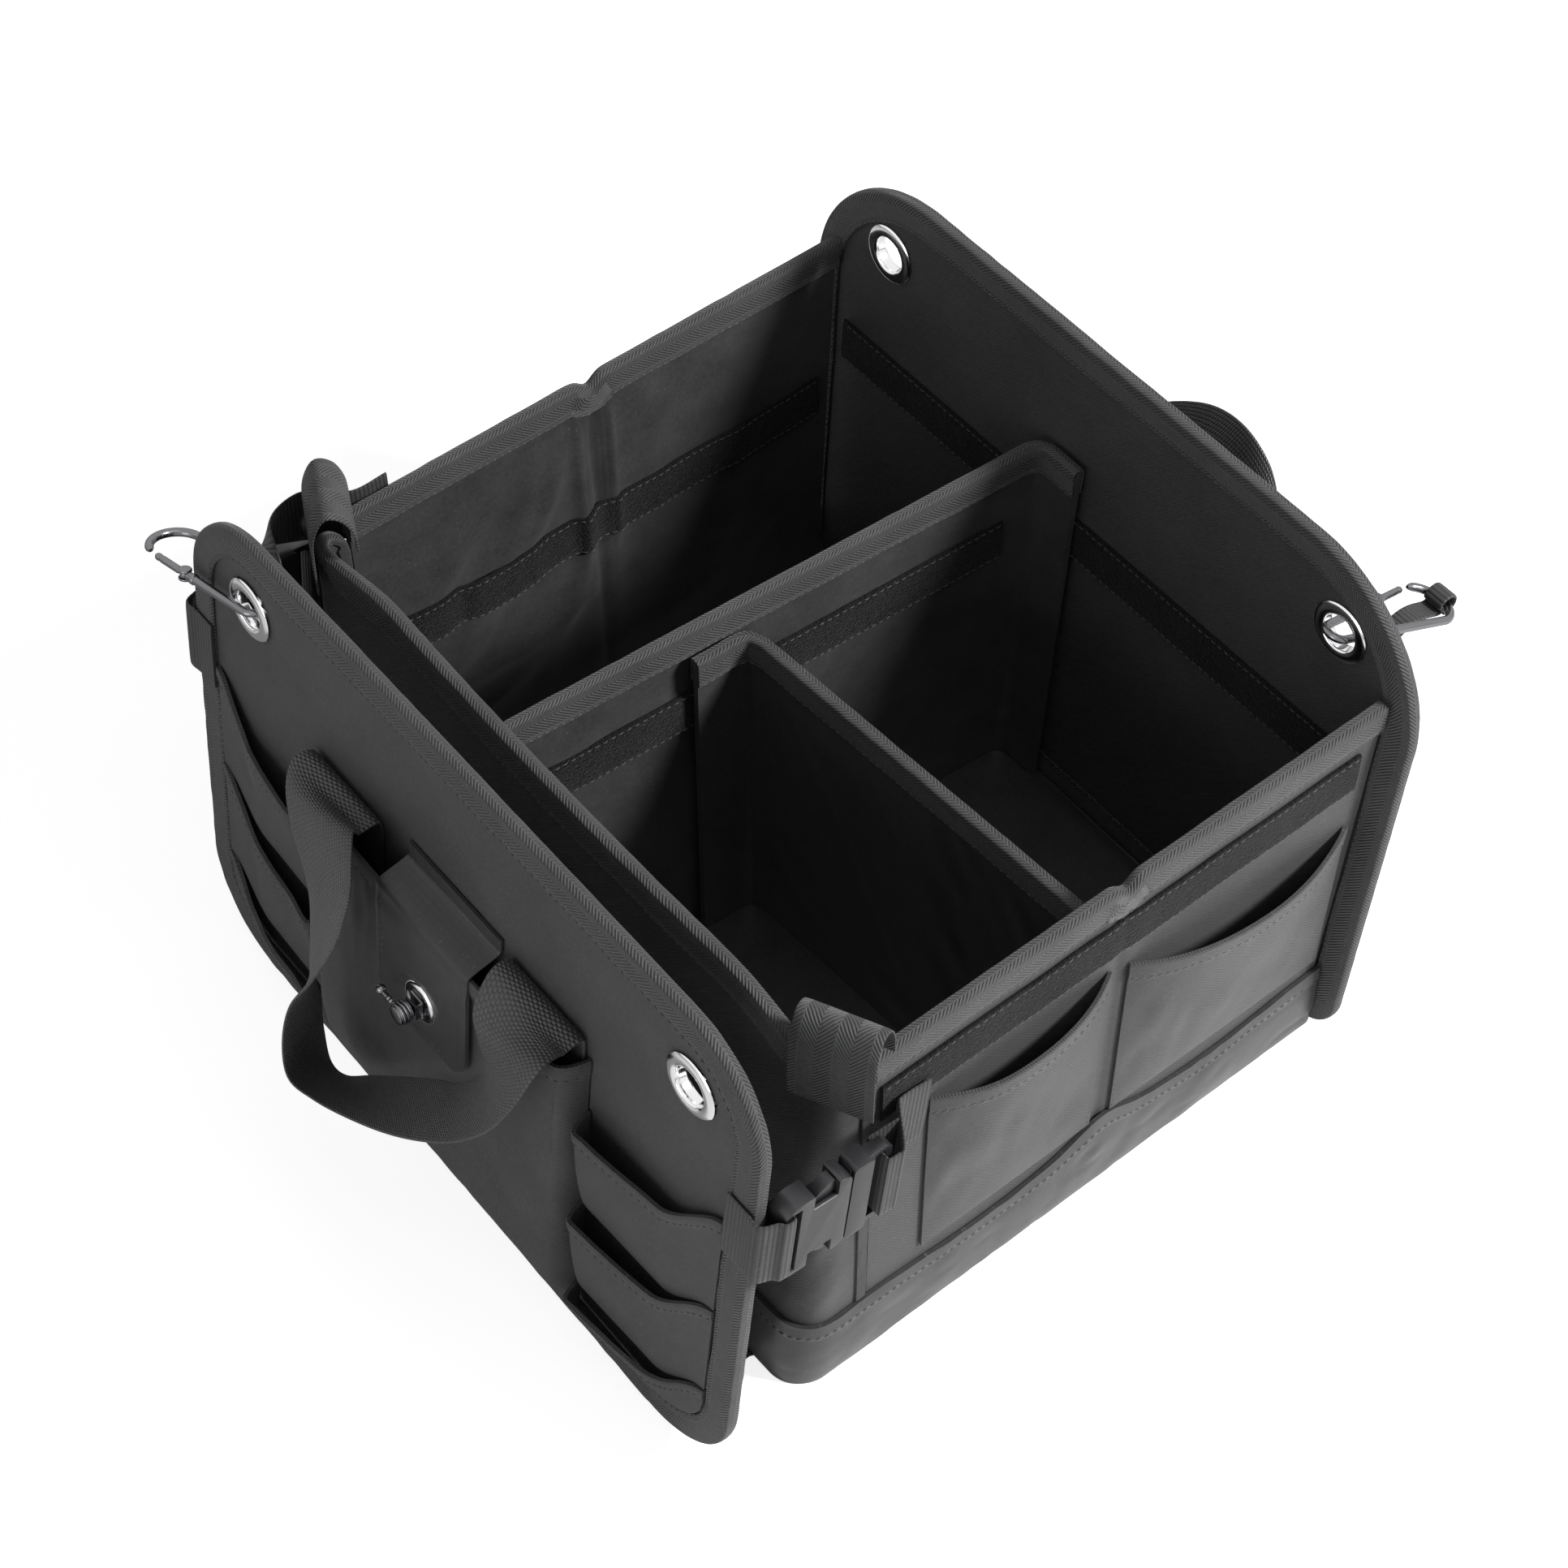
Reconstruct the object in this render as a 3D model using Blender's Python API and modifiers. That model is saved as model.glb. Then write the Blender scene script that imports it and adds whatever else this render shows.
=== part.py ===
# A collapsible car trunk organizer in black polyester, standing open.
# X runs from the left wall to the right wall, Y from the front flap to the back panel, Z is up.
# The origin is on the floor, under the middle of the box. Units are metres.
import math

import bmesh
import bpy
from mathutils import Matrix, Vector

# Clearances and cloth
GAP = 0.0003                # left between any two pieces that touch
CLOTH = 0.0012              # one layer of lined polyester
TAPE = 0.0008               # binding tape
TAPE_WIDTH = 0.014          # how far the folded tape reaches over each face
STRIP_WIDTH = 0.024         # hook and loop tape
STRIP_THICKNESS = 0.0016
BACK_STRIP_TOP = 0.178
INNER_STRIP_TOP = 0.148

# The box
BOX_WIDTH = 0.360           # over the outer faces of the side walls
BOX_LENGTH = 0.272          # from the front corners to the back panel
WALL_HEIGHT = 0.228
WALL_THICKNESS = 0.004      # board between two cloths
FOLD_GROOVE = 0.0012        # depth of the crease in a wall that folds
FOLD_WIDTH = 0.008
FOLD_NOTCH = 0.005          # dip of the top edge at the crease
BOARD_THICKNESS = 0.003
SKIRT_HEIGHT = 0.046
SKIRT_SAG = 0.005
SKIRT_RISE = 0.009

# The inner front wall
SEAM_SETBACK = 0.005        # its corner seams stand this far behind the front corners
SEAM_REACH = 0.0048         # width of the tape on those seams
CORNER_REACH = 0.0027       # and where it turns over the corners
FRONT_HEIGHT = 0.237
FRONT_FOOT = 0.034          # its foot stands this far in front of the front corners
FRONT_LEAN = 0.021          # and its top comes back by this much
FRONT_BOW = 0.004
FRONT_CORNER = 0.016        # radius of its corners seen from above
FRONT_ROUND = 0.0155        # radius of its corners seen from the front
FRONT_DROP = 0.013          # its top edge comes down at the corners

# The two big panels, the front flap and the back panel
PANEL_WIDTH = 0.388
PANEL_HEIGHT = 0.277
PANEL_THICKNESS = 0.004
BACK_TOP_RADIUS = 0.074
BACK_FOOT_RADIUS = 0.020
BACK_LEAN = -2.7            # degrees, the top leans away from the box
FLAP_RADIUS = 0.048
FLAP_FOOT = 0.0505          # in front of the front wall's foot
FLAP_LEAN = 5.9             # degrees, the top leans towards the box

# Grommets
GROMMET_HOLE = 0.0088
GROMMET_RADIUS = 0.0148
GROMMET_FLANGE = 0.0012
GROMMET_BARREL = 0.0008
GROMMET_FLAP_INSET = 0.044  # from the flap's side edges to the grommets' middles
GROMMET_BACK_INSET = 0.049  # and from the back panel's
GROMMET_DROP = 0.040        # from their top edges

# Carry handles
HANDLE_WEBBING = 0.050
WEBBING = 0.0016

# Dividers
DIVIDER_THICKNESS = 0.0035
LONG_HEIGHT = 0.214
LONG_X_FRONT = -0.048
LONG_X_BACK = -0.032
CROSS_DROP = 0.013          # how much lower the cross divider is
CROSS_STRIP_DROP = 0.015    # and the strip that it holds to
CROSS_Y_LEFT = -0.021
CROSS_Y_RIGHT = -0.009
DIVIDER_FLANGE = 0.026

# Patch pockets on the side walls
POCKET_MARGIN = 0.004        # between the rear pocket and the back corner
POCKET_FRONT_START = -0.102
POCKET_FRONT_TOP = 0.173
POCKET_REAR_TOP = 0.168
POCKET_REAR_DROP = 0.012
POCKET_BELLY = 0.011
BACK_POCKET_BELLY = 0.010
BACK_POCKET_TOPS = (0.074, 0.168)
BACK_POCKET_SEAM = 0.004     # between their feet and what is below

# Pockets on the flap
CENTRE_POCKET_WIDTH = 0.180
CENTRE_POCKET_TOP = 0.188
CENTRE_POCKET_DEPTH = 0.0135
POCKET_CROWN = 0.0015
FLAP_POCKET_FOOT = 0.0165
TONGUE_WIDTH = 0.064
TONGUE_TOP = 0.196
TONGUE_FOOT = 0.118
TONGUE_RADIUS = 0.016
TIER_TOPS = (0.155, 0.092, 0.031)
TIER_NAMES = ("upper", "middle", "lower")
TIER_BELLY = 0.0115
TIER_RISE = 0.021

# Turn lock on the tongue
LOCK_UP = 0.142
LOCK_ROSETTE = 0.0105
LOCK_ROSETTE_THICKNESS = 0.0016
LOCK_BLOCK = 0.0085
LOCK_BARREL = 0.0046
LOCK_PIN_RADIUS = 0.0011
LOCK_PIN_REACH = 0.015
LOCK_BALL = 0.0023
LOCK_KNOB_HEIGHT = 0.007

# Buckles and their straps
BUCKLE_OUT = 0.0172         # from the side wall's outer face to the middle of the buckle
BUCKLE_UP = 0.184           # up the flap
BUCKLE_WIDTH = 0.047
BUCKLE_THICKNESS = 0.0105
FEMALE_LENGTH = 0.033
MALE_LENGTH = 0.022
BUCKLE_MOUTH = 0.0395       # behind the flap's outer face
STRAP_WIDTH = 0.039
STRAP = 0.0014
SLOT = 0.0048
BAR = 0.0036
BUCKLE_WALL = 0.0032        # of the female end, round its inside
BUCKLE_INSIDE = 0.0062
CORNER_STRAP = 0.030        # width of the strap to the clipped carabiner
STRAP_END_UP = 0.2175
BACK_STRAP = 0.010
BACK_STRAP_ENDS = (0.066, 0.052, 0.044)   # places along its sewn end, down from the grommet

# Carabiners
ROD = 0.0040
CARABINER_LENGTH = 0.078    # between the middles of the rod at its two ends
CARABINER_WIDE = 0.0120     # radii of the rod's middle line
CARABINER_NARROW = 0.0052
GATE_HINGE = 0.044          # from the narrow end
GATE_LENGTH = 0.0205
GATE_ROD = 0.0034
GATE_EYE = 0.0024
HINGE_CHEEK = 0.0030
HINGE_CHEEK_HALF = 0.0026
HINGE_PIN = 0.0007
FRONT_DROOP = 12.0          # degrees, the clipped carabiner hangs down from its grommet
FRONT_TILT = 10.0           # degrees, how it is turned about its length
BACK_POKE = 0.0110          # how far the other one's end comes through its grommet
BACK_SLANT = 20.0           # degrees from square to the panel

# Corner tabs
TAB_WIDTH = 0.036
TAB_FOOT = 0.210            # height of its sewn end
TAB_SHIFT = 0.003
TAB_TOP = 0.256
TAB_THICKNESS = 0.0012
TAB_PRESS = 0.0006          # how far the tab is pressed into the round of the corner
TAB_TURN = 26.6             # degrees, how it stands across the corner

# Values that follow from the ones above
HALF_WIDTH = BOX_WIDTH / 2
HALF_LENGTH = BOX_LENGTH / 2
BINDING_REACH = 1.5 * GAP + TAPE                      # what a binding adds all round
FLOOR = CLOTH + GAP                                   # what stands in the tray starts here
WALL_INSIDE = HALF_WIDTH - WALL_THICKNESS
SIDE_FRONT = -HALF_LENGTH + SEAM_SETBACK              # front edge of the side walls
FRONT_START = SIDE_FRONT - GAP - BINDING_REACH        # the front wall's ends, clear of their tape
FRONT_SLOPE = FRONT_LEAN / FRONT_HEIGHT
SKIRT_INSIDE = HALF_WIDTH + GAP
BACK_INNER_Y = HALF_LENGTH + GAP
PANEL_LIFT = BINDING_REACH + GAP + PANEL_THICKNESS * math.sin(math.radians(FLAP_LEAN))
FLAP_FOOT_Y = -HALF_LENGTH - FRONT_FOOT - FLAP_FOOT
TIER_INNER = CENTRE_POCKET_WIDTH / 2 + 2 * CLOTH + 2 * GAP
TIER_OUTER = PANEL_WIDTH / 2 - BINDING_REACH - TAPE_WIDTH - 4 * GAP
BACK_SLOPE = -math.tan(math.radians(BACK_LEAN))       # how fast the back panel leans away
GROMMET_FLAP_X = PANEL_WIDTH / 2 - GROMMET_FLAP_INSET
GROMMET_BACK_X = PANEL_WIDTH / 2 - GROMMET_BACK_INSET
GROMMET_UP = PANEL_HEIGHT - GROMMET_DROP
CROSS_HEIGHT = LONG_HEIGHT - CROSS_DROP
CROSS_STRIP_TOP = LONG_HEIGHT - CROSS_STRIP_DROP
OUTER_STRIP_TOP = WALL_HEIGHT - TAPE_WIDTH - BINDING_REACH - FOLD_NOTCH - 2 * GAP


def clear_scene():
    for obj in list(bpy.data.objects):
        bpy.data.objects.remove(obj, do_unlink=True)


def new_collection(name):
    collection = bpy.data.collections.new(name)
    bpy.context.scene.collection.children.link(collection)
    return collection


clear_scene()
PARTS = new_collection("car_trunk_organizer")
CUTTERS = new_collection("cutters")


def material(name, colour, roughness, metallic=0.0):
    mat = bpy.data.materials.new(name)
    mat.use_nodes = True
    shader = mat.node_tree.nodes["Principled BSDF"]
    shader.inputs["Base Color"].default_value = (*colour, 1.0)
    shader.inputs["Roughness"].default_value = roughness
    shader.inputs["Metallic"].default_value = metallic
    return mat


WOVEN = material("woven_polyester", (0.030, 0.030, 0.032), 0.80)
COATED = material("coated_polyester", (0.036, 0.036, 0.038), 0.55)
HERRINGBONE = material("herringbone_tape", (0.026, 0.026, 0.028), 0.70)
LOOP_TAPE = material("hook_and_loop", (0.012, 0.012, 0.013), 0.95)
WEB = material("webbing", (0.022, 0.022, 0.024), 0.75)
BOARD = material("base_board", (0.028, 0.028, 0.030), 0.80)
CHROME = material("chrome", (0.80, 0.80, 0.80), 0.15, 1.0)
GUNMETAL = material("gunmetal", (0.16, 0.16, 0.17), 0.25, 1.0)
PLASTIC = material("buckle_plastic", (0.020, 0.020, 0.022), 0.40)


def add_part(name, mesh, mat, frame=None, smooth=False):
    obj = bpy.data.objects.new(name, mesh)
    mesh.materials.clear()
    mesh.materials.append(mat)
    if smooth:
        mesh.shade_smooth()
        mesh.set_sharp_from_angle(angle=math.radians(40))
    PARTS.objects.link(obj)
    if frame is not None:
        obj.parent = frame
    return obj


def frame_at(name, origin, x_axis, y_axis):
    # An empty whose local X and Y are the given directions.
    z_axis = x_axis.cross(y_axis)
    turn = Matrix((x_axis, y_axis, z_axis)).transposed().to_4x4()
    empty = bpy.data.objects.new(name, None)
    empty.matrix_world = Matrix.Translation(origin) @ turn
    empty.empty_display_size = 0.02
    PARTS.objects.link(empty)
    return empty


def panel_frame(name, origin, outward, lean_degrees):
    # Local X runs across the panel, Y up it, and Z out of its outer face.
    lean = math.radians(lean_degrees)
    up = Vector((0, 0, 1))
    y_axis = (up * math.cos(lean) - outward * math.sin(lean)).normalized()
    return frame_at(name, origin, up.cross(outward).normalized(), y_axis)


def mesh_from_bmesh(name, bm):
    mesh = bpy.data.meshes.new(name)
    bm.to_mesh(mesh)
    bm.free()
    return mesh


def outline_mesh(name, loops, thickness, start=0.0):
    # A flat outline, with holes where there are more loops, given a thickness along +Z from start.
    curve = bpy.data.curves.new(name, "CURVE")
    curve.dimensions = "2D"
    curve.fill_mode = "BOTH"
    curve.extrude = thickness / 2
    for loop in loops:
        spline = curve.splines.new("POLY")
        spline.points.add(len(loop) - 1)
        spline.use_cyclic_u = True
        for point, place in zip(spline.points, loop):
            point.co = (place[0], place[1], 0.0, 1.0)
    guide = bpy.data.objects.new(name, curve)
    PARTS.objects.link(guide)
    mesh = solid_from_curve(guide)
    mesh.transform(Matrix.Translation((0, 0, start + thickness / 2)))
    return mesh


def solid_from_curve(guide):
    # The evaluated curve as a welded mesh; the curve itself is removed.
    bpy.context.view_layer.update()
    graph = bpy.context.evaluated_depsgraph_get()
    mesh = bpy.data.meshes.new_from_object(guide.evaluated_get(graph))
    mesh.transform(guide.matrix_world)
    curve = guide.data
    bpy.data.objects.remove(guide, do_unlink=True)
    bpy.data.curves.remove(curve)
    bm = bmesh.new()
    bm.from_mesh(mesh)
    bmesh.ops.remove_doubles(bm, verts=bm.verts, dist=0.00001)
    bmesh.ops.recalc_face_normals(bm, faces=bm.faces)
    bm.to_mesh(mesh)
    bm.free()
    return mesh


def rod_mesh(name, points, radius, resolution=2):
    # A round rod along the points.
    curve = bpy.data.curves.new(name, "CURVE")
    curve.dimensions = "3D"
    curve.bevel_depth = radius
    curve.bevel_resolution = resolution
    curve.use_fill_caps = True
    spline = curve.splines.new("POLY")
    spline.points.add(len(points) - 1)
    for point, place in zip(spline.points, points):
        point.co = (*place, 1.0)
    guide = bpy.data.objects.new(name, curve)
    PARTS.objects.link(guide)
    return solid_from_curve(guide)


def box_mesh(name, low, high):
    bm = bmesh.new()
    size = Vector(high) - Vector(low)
    middle = (Vector(high) + Vector(low)) / 2
    place = Matrix.Translation(middle) @ Matrix.Diagonal((*size, 1.0))
    bmesh.ops.create_cube(bm, size=1.0, matrix=place)
    return mesh_from_bmesh(name, bm)


def cylinder_mesh(name, radius, start, end, sides=20):
    bm = bmesh.new()
    axis = Vector(end) - Vector(start)
    turn = axis.to_track_quat("Z", "Y").to_matrix().to_4x4()
    place = Matrix.Translation((Vector(start) + Vector(end)) / 2) @ turn
    bmesh.ops.create_cone(bm, cap_ends=True, segments=sides, radius1=radius, radius2=radius,
                          depth=axis.length, matrix=place)
    return mesh_from_bmesh(name, bm)


def boolean(target, mesh, operation):
    # Cut or join with a helper mesh given in the target's own coordinates.
    helper = bpy.data.objects.new(target.name + "_" + operation.lower(), mesh)
    CUTTERS.objects.link(helper)
    helper.parent = target.parent
    helper.hide_render = True
    helper.display_type = "WIRE"
    step = target.modifiers.new(operation.lower(), "BOOLEAN")
    step.operation = operation
    step.object = helper
    return step


def solidify(obj, thickness, offset=1.0):
    step = obj.modifiers.new("thickness", "SOLIDIFY")
    step.thickness = thickness
    step.offset = offset
    step.use_even_offset = True
    step.use_rim = True
    return step


def sheet(name, rows, thickness, mat, frame=None, cyclic=False, offset=1.0, facing=None):
    # An open surface through rows of points, given a thickness on the side it faces.
    bm = bmesh.new()
    grid = [[bm.verts.new(point) for point in row] for row in rows]
    count = len(grid) if cyclic else len(grid) - 1
    for i in range(count):
        here, there = grid[i], grid[(i + 1) % len(grid)]
        for j in range(len(here) - 1):
            bm.faces.new((here[j], here[j + 1], there[j + 1], there[j]))
    bm.normal_update()
    bm.faces.ensure_lookup_table()
    if facing is not None and bm.faces[len(bm.faces) // 2].normal.dot(facing) < 0:
        bmesh.ops.reverse_faces(bm, faces=bm.faces)
    obj = add_part(name, mesh_from_bmesh(name, bm), mat, frame, smooth=True)
    solidify(obj, thickness, offset)
    return obj


def arc(centre, radius, start, end, steps):
    # Points on an arc, angles in degrees.
    points = []
    for i in range(steps + 1):
        angle = math.radians(start + (end - start) * i / steps)
        points.append((centre[0] + radius * math.cos(angle), centre[1] + radius * math.sin(angle)))
    return points


def rounded_outline(left, right, foot, top, foot_radius, top_radius, steps=6):
    # Counter-clockwise, starting at the lower right corner.
    points = arc((right - foot_radius, foot + foot_radius), foot_radius, -90, 0, steps)
    points += arc((right - top_radius, top - top_radius), top_radius, 0, 90, steps)
    points += arc((left + top_radius, top - top_radius), top_radius, 90, 180, steps)
    points += arc((left + foot_radius, foot + foot_radius), foot_radius, 180, 270, steps)
    return points


def circle(centre, radius, steps=20):
    return arc(centre, radius, 0, 360 - 360 / steps, steps - 1)


def smooth_step(value):
    t = min(max(value, 0.0), 1.0)
    return t * t * (3 - 2 * t)


def channel_profile(half_gap, reach):
    # The folded tape in section: (across the wall, out of the edge).
    return ((-half_gap, -reach), (-half_gap, GAP / 2), (-half_gap * 0.6, GAP * 1.5),
            (half_gap * 0.6, GAP * 1.5), (half_gap, GAP / 2), (half_gap, -reach))


def edge_binding(name, stations, wall, frame=None, cyclic=False, reaches=None):
    # Tape folded over an edge. A station is (point on the edge, way out of the edge, wall normal).
    rows = []
    for i, (point, out, normal) in enumerate(stations):
        profile = channel_profile(wall / 2 + GAP, reaches[i] if reaches else TAPE_WIDTH)
        rows.append([point + normal * across + out * along for across, along in profile])
    point, out, normal = stations[0]
    way = stations[1][0] - point
    if out.cross(way).dot(normal) > 0:
        rows = [list(reversed(row)) for row in rows]
    sheet(name, rows, TAPE, HERRINGBONE, frame, cyclic)


def edge_stations(points, normals, drop=0.0):
    # Stations along an edge given with the surface's normals, moved in from its face by drop.
    stations = []
    last = len(points) - 1
    for i, (point, normal) in enumerate(zip(points, normals)):
        along = (points[min(i + 1, last)] - points[max(i - 1, 0)]).normalized()
        stations.append((point - normal * drop, along.cross(normal).normalized(), normal))
    return stations


def outline_stations(points, middle):
    # Stations round a closed flat outline that runs counter-clockwise.
    stations = []
    normal = Vector((0, 0, 1))
    count = len(points)
    for i in range(count):
        before = Vector((*points[i - 1], 0))
        here = Vector((*points[i], 0))
        after = Vector((*points[(i + 1) % count], 0))
        along = ((here - before).normalized() + (after - here).normalized()).normalized()
        out = Vector((along.y, -along.x, 0))
        stations.append((here + normal * middle, out, normal))
    return stations


# Bottom of the box: the tray of coated cloth, and the folding board in it
def front_face(x, z):
    # Y of the front wall's outer face between its rounded corners.
    span = HALF_WIDTH - FRONT_CORNER
    bow = FRONT_BOW * math.cos(math.pi * min(abs(x) / span, 1.0) / 2)
    return -HALF_LENGTH - FRONT_FOOT + FRONT_SLOPE * z - bow


def front_path(z, outset=0.0):
    # Plan of the front wall's outer face at a height, from its right end round to its left end.
    side = HALF_WIDTH + outset
    front = -HALF_LENGTH - FRONT_FOOT + FRONT_SLOPE * z - outset
    radius = min(FRONT_CORNER, FRONT_START - front - SEAM_REACH - 5 * GAP)
    right = [(side, FRONT_START)]
    right += arc((side - radius, front + radius), radius, 0, -90, 7)
    span = HALF_WIDTH - FRONT_CORNER
    middle = []
    for i in range(1, 8):
        x = (side - radius) * (1 - i / 4)
        middle.append((x, front_face(x, z) - outset))
    return right + middle + [(-x, y) for x, y in reversed(right)]


def front_top(x):
    # Height of the front wall's top edge, lower towards its corners.
    return FRONT_HEIGHT - FRONT_DROP * smooth_step((abs(x) - 0.110) / (HALF_WIDTH - 0.110))


def skirt_height(share):
    # Height of the skirt's hem along a side wall: it sags in each half and rises at the crease.
    sag = math.sin(math.pi * share * 2) ** 2
    rise = math.exp(-((share - 0.5) / 0.07) ** 2)
    return SKIRT_HEIGHT - SKIRT_SAG * sag + SKIRT_RISE * rise


def make_tray():
    bm = bmesh.new()
    side_steps = 12
    start, end = HALF_LENGTH, FRONT_START
    right = [(SKIRT_INSIDE, start + (end - start) * i / side_steps) for i in range(side_steps)]
    side_heights = [skirt_height(i / side_steps) for i in range(side_steps)]
    front_foot, front_hem = front_path(0.0, GAP), front_path(SKIRT_HEIGHT, GAP)
    foot = right + front_foot + [(-x, y) for x, y in reversed(right)]
    hem = right + front_hem + [(-x, y) for x, y in reversed(right)]
    heights = side_heights + [SKIRT_HEIGHT] * len(front_foot) + list(reversed(side_heights))
    lower = [bm.verts.new((x, y, CLOTH)) for x, y in foot]
    upper = [bm.verts.new((x, y, z)) for (x, y), z in zip(hem, heights)]
    bm.faces.new(lower)
    for i in range(len(lower) - 1):
        bm.faces.new((lower[i], lower[i + 1], upper[i + 1], upper[i]))
    bmesh.ops.recalc_face_normals(bm, faces=bm.faces)
    bm.faces.ensure_lookup_table()
    if bm.faces[0].normal.z > 0:
        bmesh.ops.reverse_faces(bm, faces=bm.faces)
    tray = add_part("bottom_tray", mesh_from_bmesh("bottom_tray", bm), COATED)
    solidify(tray, CLOTH)
    # Its floor runs on under the slot to the flap's foot.
    half = HALF_WIDTH - FRONT_CORNER - 0.010
    back = FRONT_START - FRONT_FOOT / 2
    front = FLAP_FOOT_Y + PANEL_THICKNESS + BINDING_REACH + GAP * 3
    boolean(tray, box_mesh("tray_web", (-half, front, 0.0), (half, back, CLOTH)), "UNION")


def make_base_board():
    # The board folds up along X, so it is grooved across its middle on both faces.
    half = WALL_INSIDE - GAP
    back, front = HALF_LENGTH - GAP, FRONT_START - 0.012
    low, high = FLOOR, FLOOR + BOARD_THICKNESS
    groove, dip = FOLD_WIDTH / 4, BOARD_THICKNESS * 0.35
    section = [(front, low), (-groove, low), (0, low + dip), (groove, low), (back, low),
               (back, high), (groove, high), (0, high - dip), (-groove, high), (front, high)]
    mesh = outline_mesh("base_board", [section], 2 * half, -half)
    # The section was drawn as (Y, Z) and stood along X.
    mesh.transform(Matrix(((0, 0, 1, 0), (1, 0, 0, 0), (0, 1, 0, 0), (0, 0, 0, 1))))
    add_part("base_board", mesh, BOARD)


# Side walls. Each has a frame whose local Y is up and local Z points out of the box.
def wall_x(side, y):
    # Where a world Y lies along a side wall's local X.
    return y * side


def strip(name, frame, left, right, top, start):
    # A straight run of hook and loop tape on a face.
    low = (min(left, right), top - STRIP_WIDTH, start)
    high = (max(left, right), top, start + STRIP_THICKNESS)
    add_part(name, box_mesh(name, low, high), LOOP_TAPE, frame)


def make_side_wall(name, side, frame):
    top = WALL_HEIGHT - BINDING_REACH
    notch = FOLD_WIDTH / 2
    line = [(SIDE_FRONT, top), (-notch * 2.4, top), (-notch, top - FOLD_NOTCH * 0.4),
            (0, top - FOLD_NOTCH), (notch, top - FOLD_NOTCH * 0.4), (notch * 2.4, top),
            (HALF_LENGTH + top * BACK_SLOPE, top)]
    outline = [(SIDE_FRONT, FLOOR)] + line + [(HALF_LENGTH + FLOOR * BACK_SLOPE, FLOOR)]
    placed = [(wall_x(side, y), z) for y, z in outline]
    wall = add_part(name, outline_mesh(name, [placed], WALL_THICKNESS, -WALL_THICKNESS), WOVEN, frame)
    for face, depth in ((0.0, FOLD_GROOVE), (-WALL_THICKNESS, -FOLD_GROOVE)):
        section = [(-notch, face), (0, face - depth), (notch, face), (notch, face + depth),
                   (-notch, face + depth)]
        cutter = outline_mesh(name + "_groove", [section], WALL_HEIGHT * 1.2, -0.01)
        cutter.transform(Matrix(((1, 0, 0, 0), (0, 0, 1, 0), (0, 1, 0, 0), (0, 0, 0, 1))))
        cutter.flip_normals()
        boolean(wall, cutter, "DIFFERENCE")
    ends = line[:-1] + [(HALF_LENGTH + (WALL_HEIGHT - TAPE_WIDTH) * BACK_SLOPE - GAP, top)]
    points = [Vector((wall_x(side, y), z, 0)) for y, z in ends]
    stations = edge_stations(points, [Vector((0, 0, -side))] * len(points), WALL_THICKNESS / 2 * -side)
    edge_binding("binding_" + name, stations, WALL_THICKNESS, frame)


def make_side_pocket(name, frame, side, y_start, y_end, top_at, belly):
    # A patch between the skirt's hem and the strip, sewn down at its foot and sides.
    foot = SKIRT_HEIGHT + SKIRT_RISE + GAP
    columns, rows = 10, 5
    grid = []
    for i in range(columns + 1):
        share = i / columns
        x = wall_x(side, y_start + (y_end - y_start) * share)
        across = max(0.0, 1 - abs(2 * share - 1) ** 2.4)
        line = []
        for j in range(rows + 1):
            up = j / rows
            height = foot + (top_at(share) - foot) * up
            line.append(Vector((x, height, GAP + belly * across * up ** 0.8)))
        grid.append(line)
    sheet(name, grid, CLOTH, WOVEN, frame, facing=Vector((0, 0, 1)))


def front_pocket_top(share):
    return POCKET_FRONT_TOP - 0.004 * math.sin(math.pi * share)


def rear_pocket_top(share):
    return POCKET_REAR_TOP - POCKET_REAR_DROP * share - 0.005 * math.sin(math.pi * share)


def make_side(name, side):
    origin = Vector((side * HALF_WIDTH, 0, 0))
    frame = panel_frame("wall_frame_" + name, origin, Vector((side, 0, 0)), 0.0)
    make_side_wall("wall_" + name, side, frame)
    inner = -WALL_THICKNESS - GAP - STRIP_THICKNESS
    front, back = wall_x(side, SIDE_FRONT + 0.003), wall_x(side, HALF_LENGTH - 0.004)
    strip("loop_strip_" + name + "_outer", frame, front, back, OUTER_STRIP_TOP, GAP)
    strip("loop_strip_" + name + "_inner", frame, front, back, INNER_STRIP_TOP, inner)
    crease = FOLD_WIDTH / 2 + 0.002
    make_side_pocket("pocket_" + name + "_front", frame, side, POCKET_FRONT_START, -crease,
                     front_pocket_top, POCKET_BELLY)
    make_side_pocket("pocket_" + name + "_rear", frame, side, crease, HALF_LENGTH - POCKET_MARGIN,
                     rear_pocket_top, POCKET_BELLY * 1.2)


# Inner front wall, a stiff sheet whose soft ends turn back to the side walls
def front_wall_edge(index, z_low):
    # Top of the wall at one point of its plan: the drop, and the rounded corner at each end.
    plan = front_path(FRONT_HEIGHT)
    run = 0.0
    runs = [0.0]
    for a, b in zip(plan, plan[1:]):
        run += math.dist(a, b)
        runs.append(run)
    from_end = min(runs[index], run - runs[index])
    top = front_top(plan[index][0]) - BINDING_REACH
    if from_end < FRONT_ROUND:
        top -= FRONT_ROUND - math.sqrt(FRONT_ROUND ** 2 - (FRONT_ROUND - from_end) ** 2)
    return max(top, z_low)


def path_normal(plan, index):
    # Outward normal of a plan that runs clockwise seen from above.
    before = Vector(plan[max(index - 1, 0)])
    after = Vector(plan[min(index + 1, len(plan) - 1)])
    along = (after - before).normalized()
    if index == 0:
        return Vector((1, 0, 0))
    if index == len(plan) - 1:
        return Vector((-1, 0, 0))
    return Vector((-along.y, along.x, 0))


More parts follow.
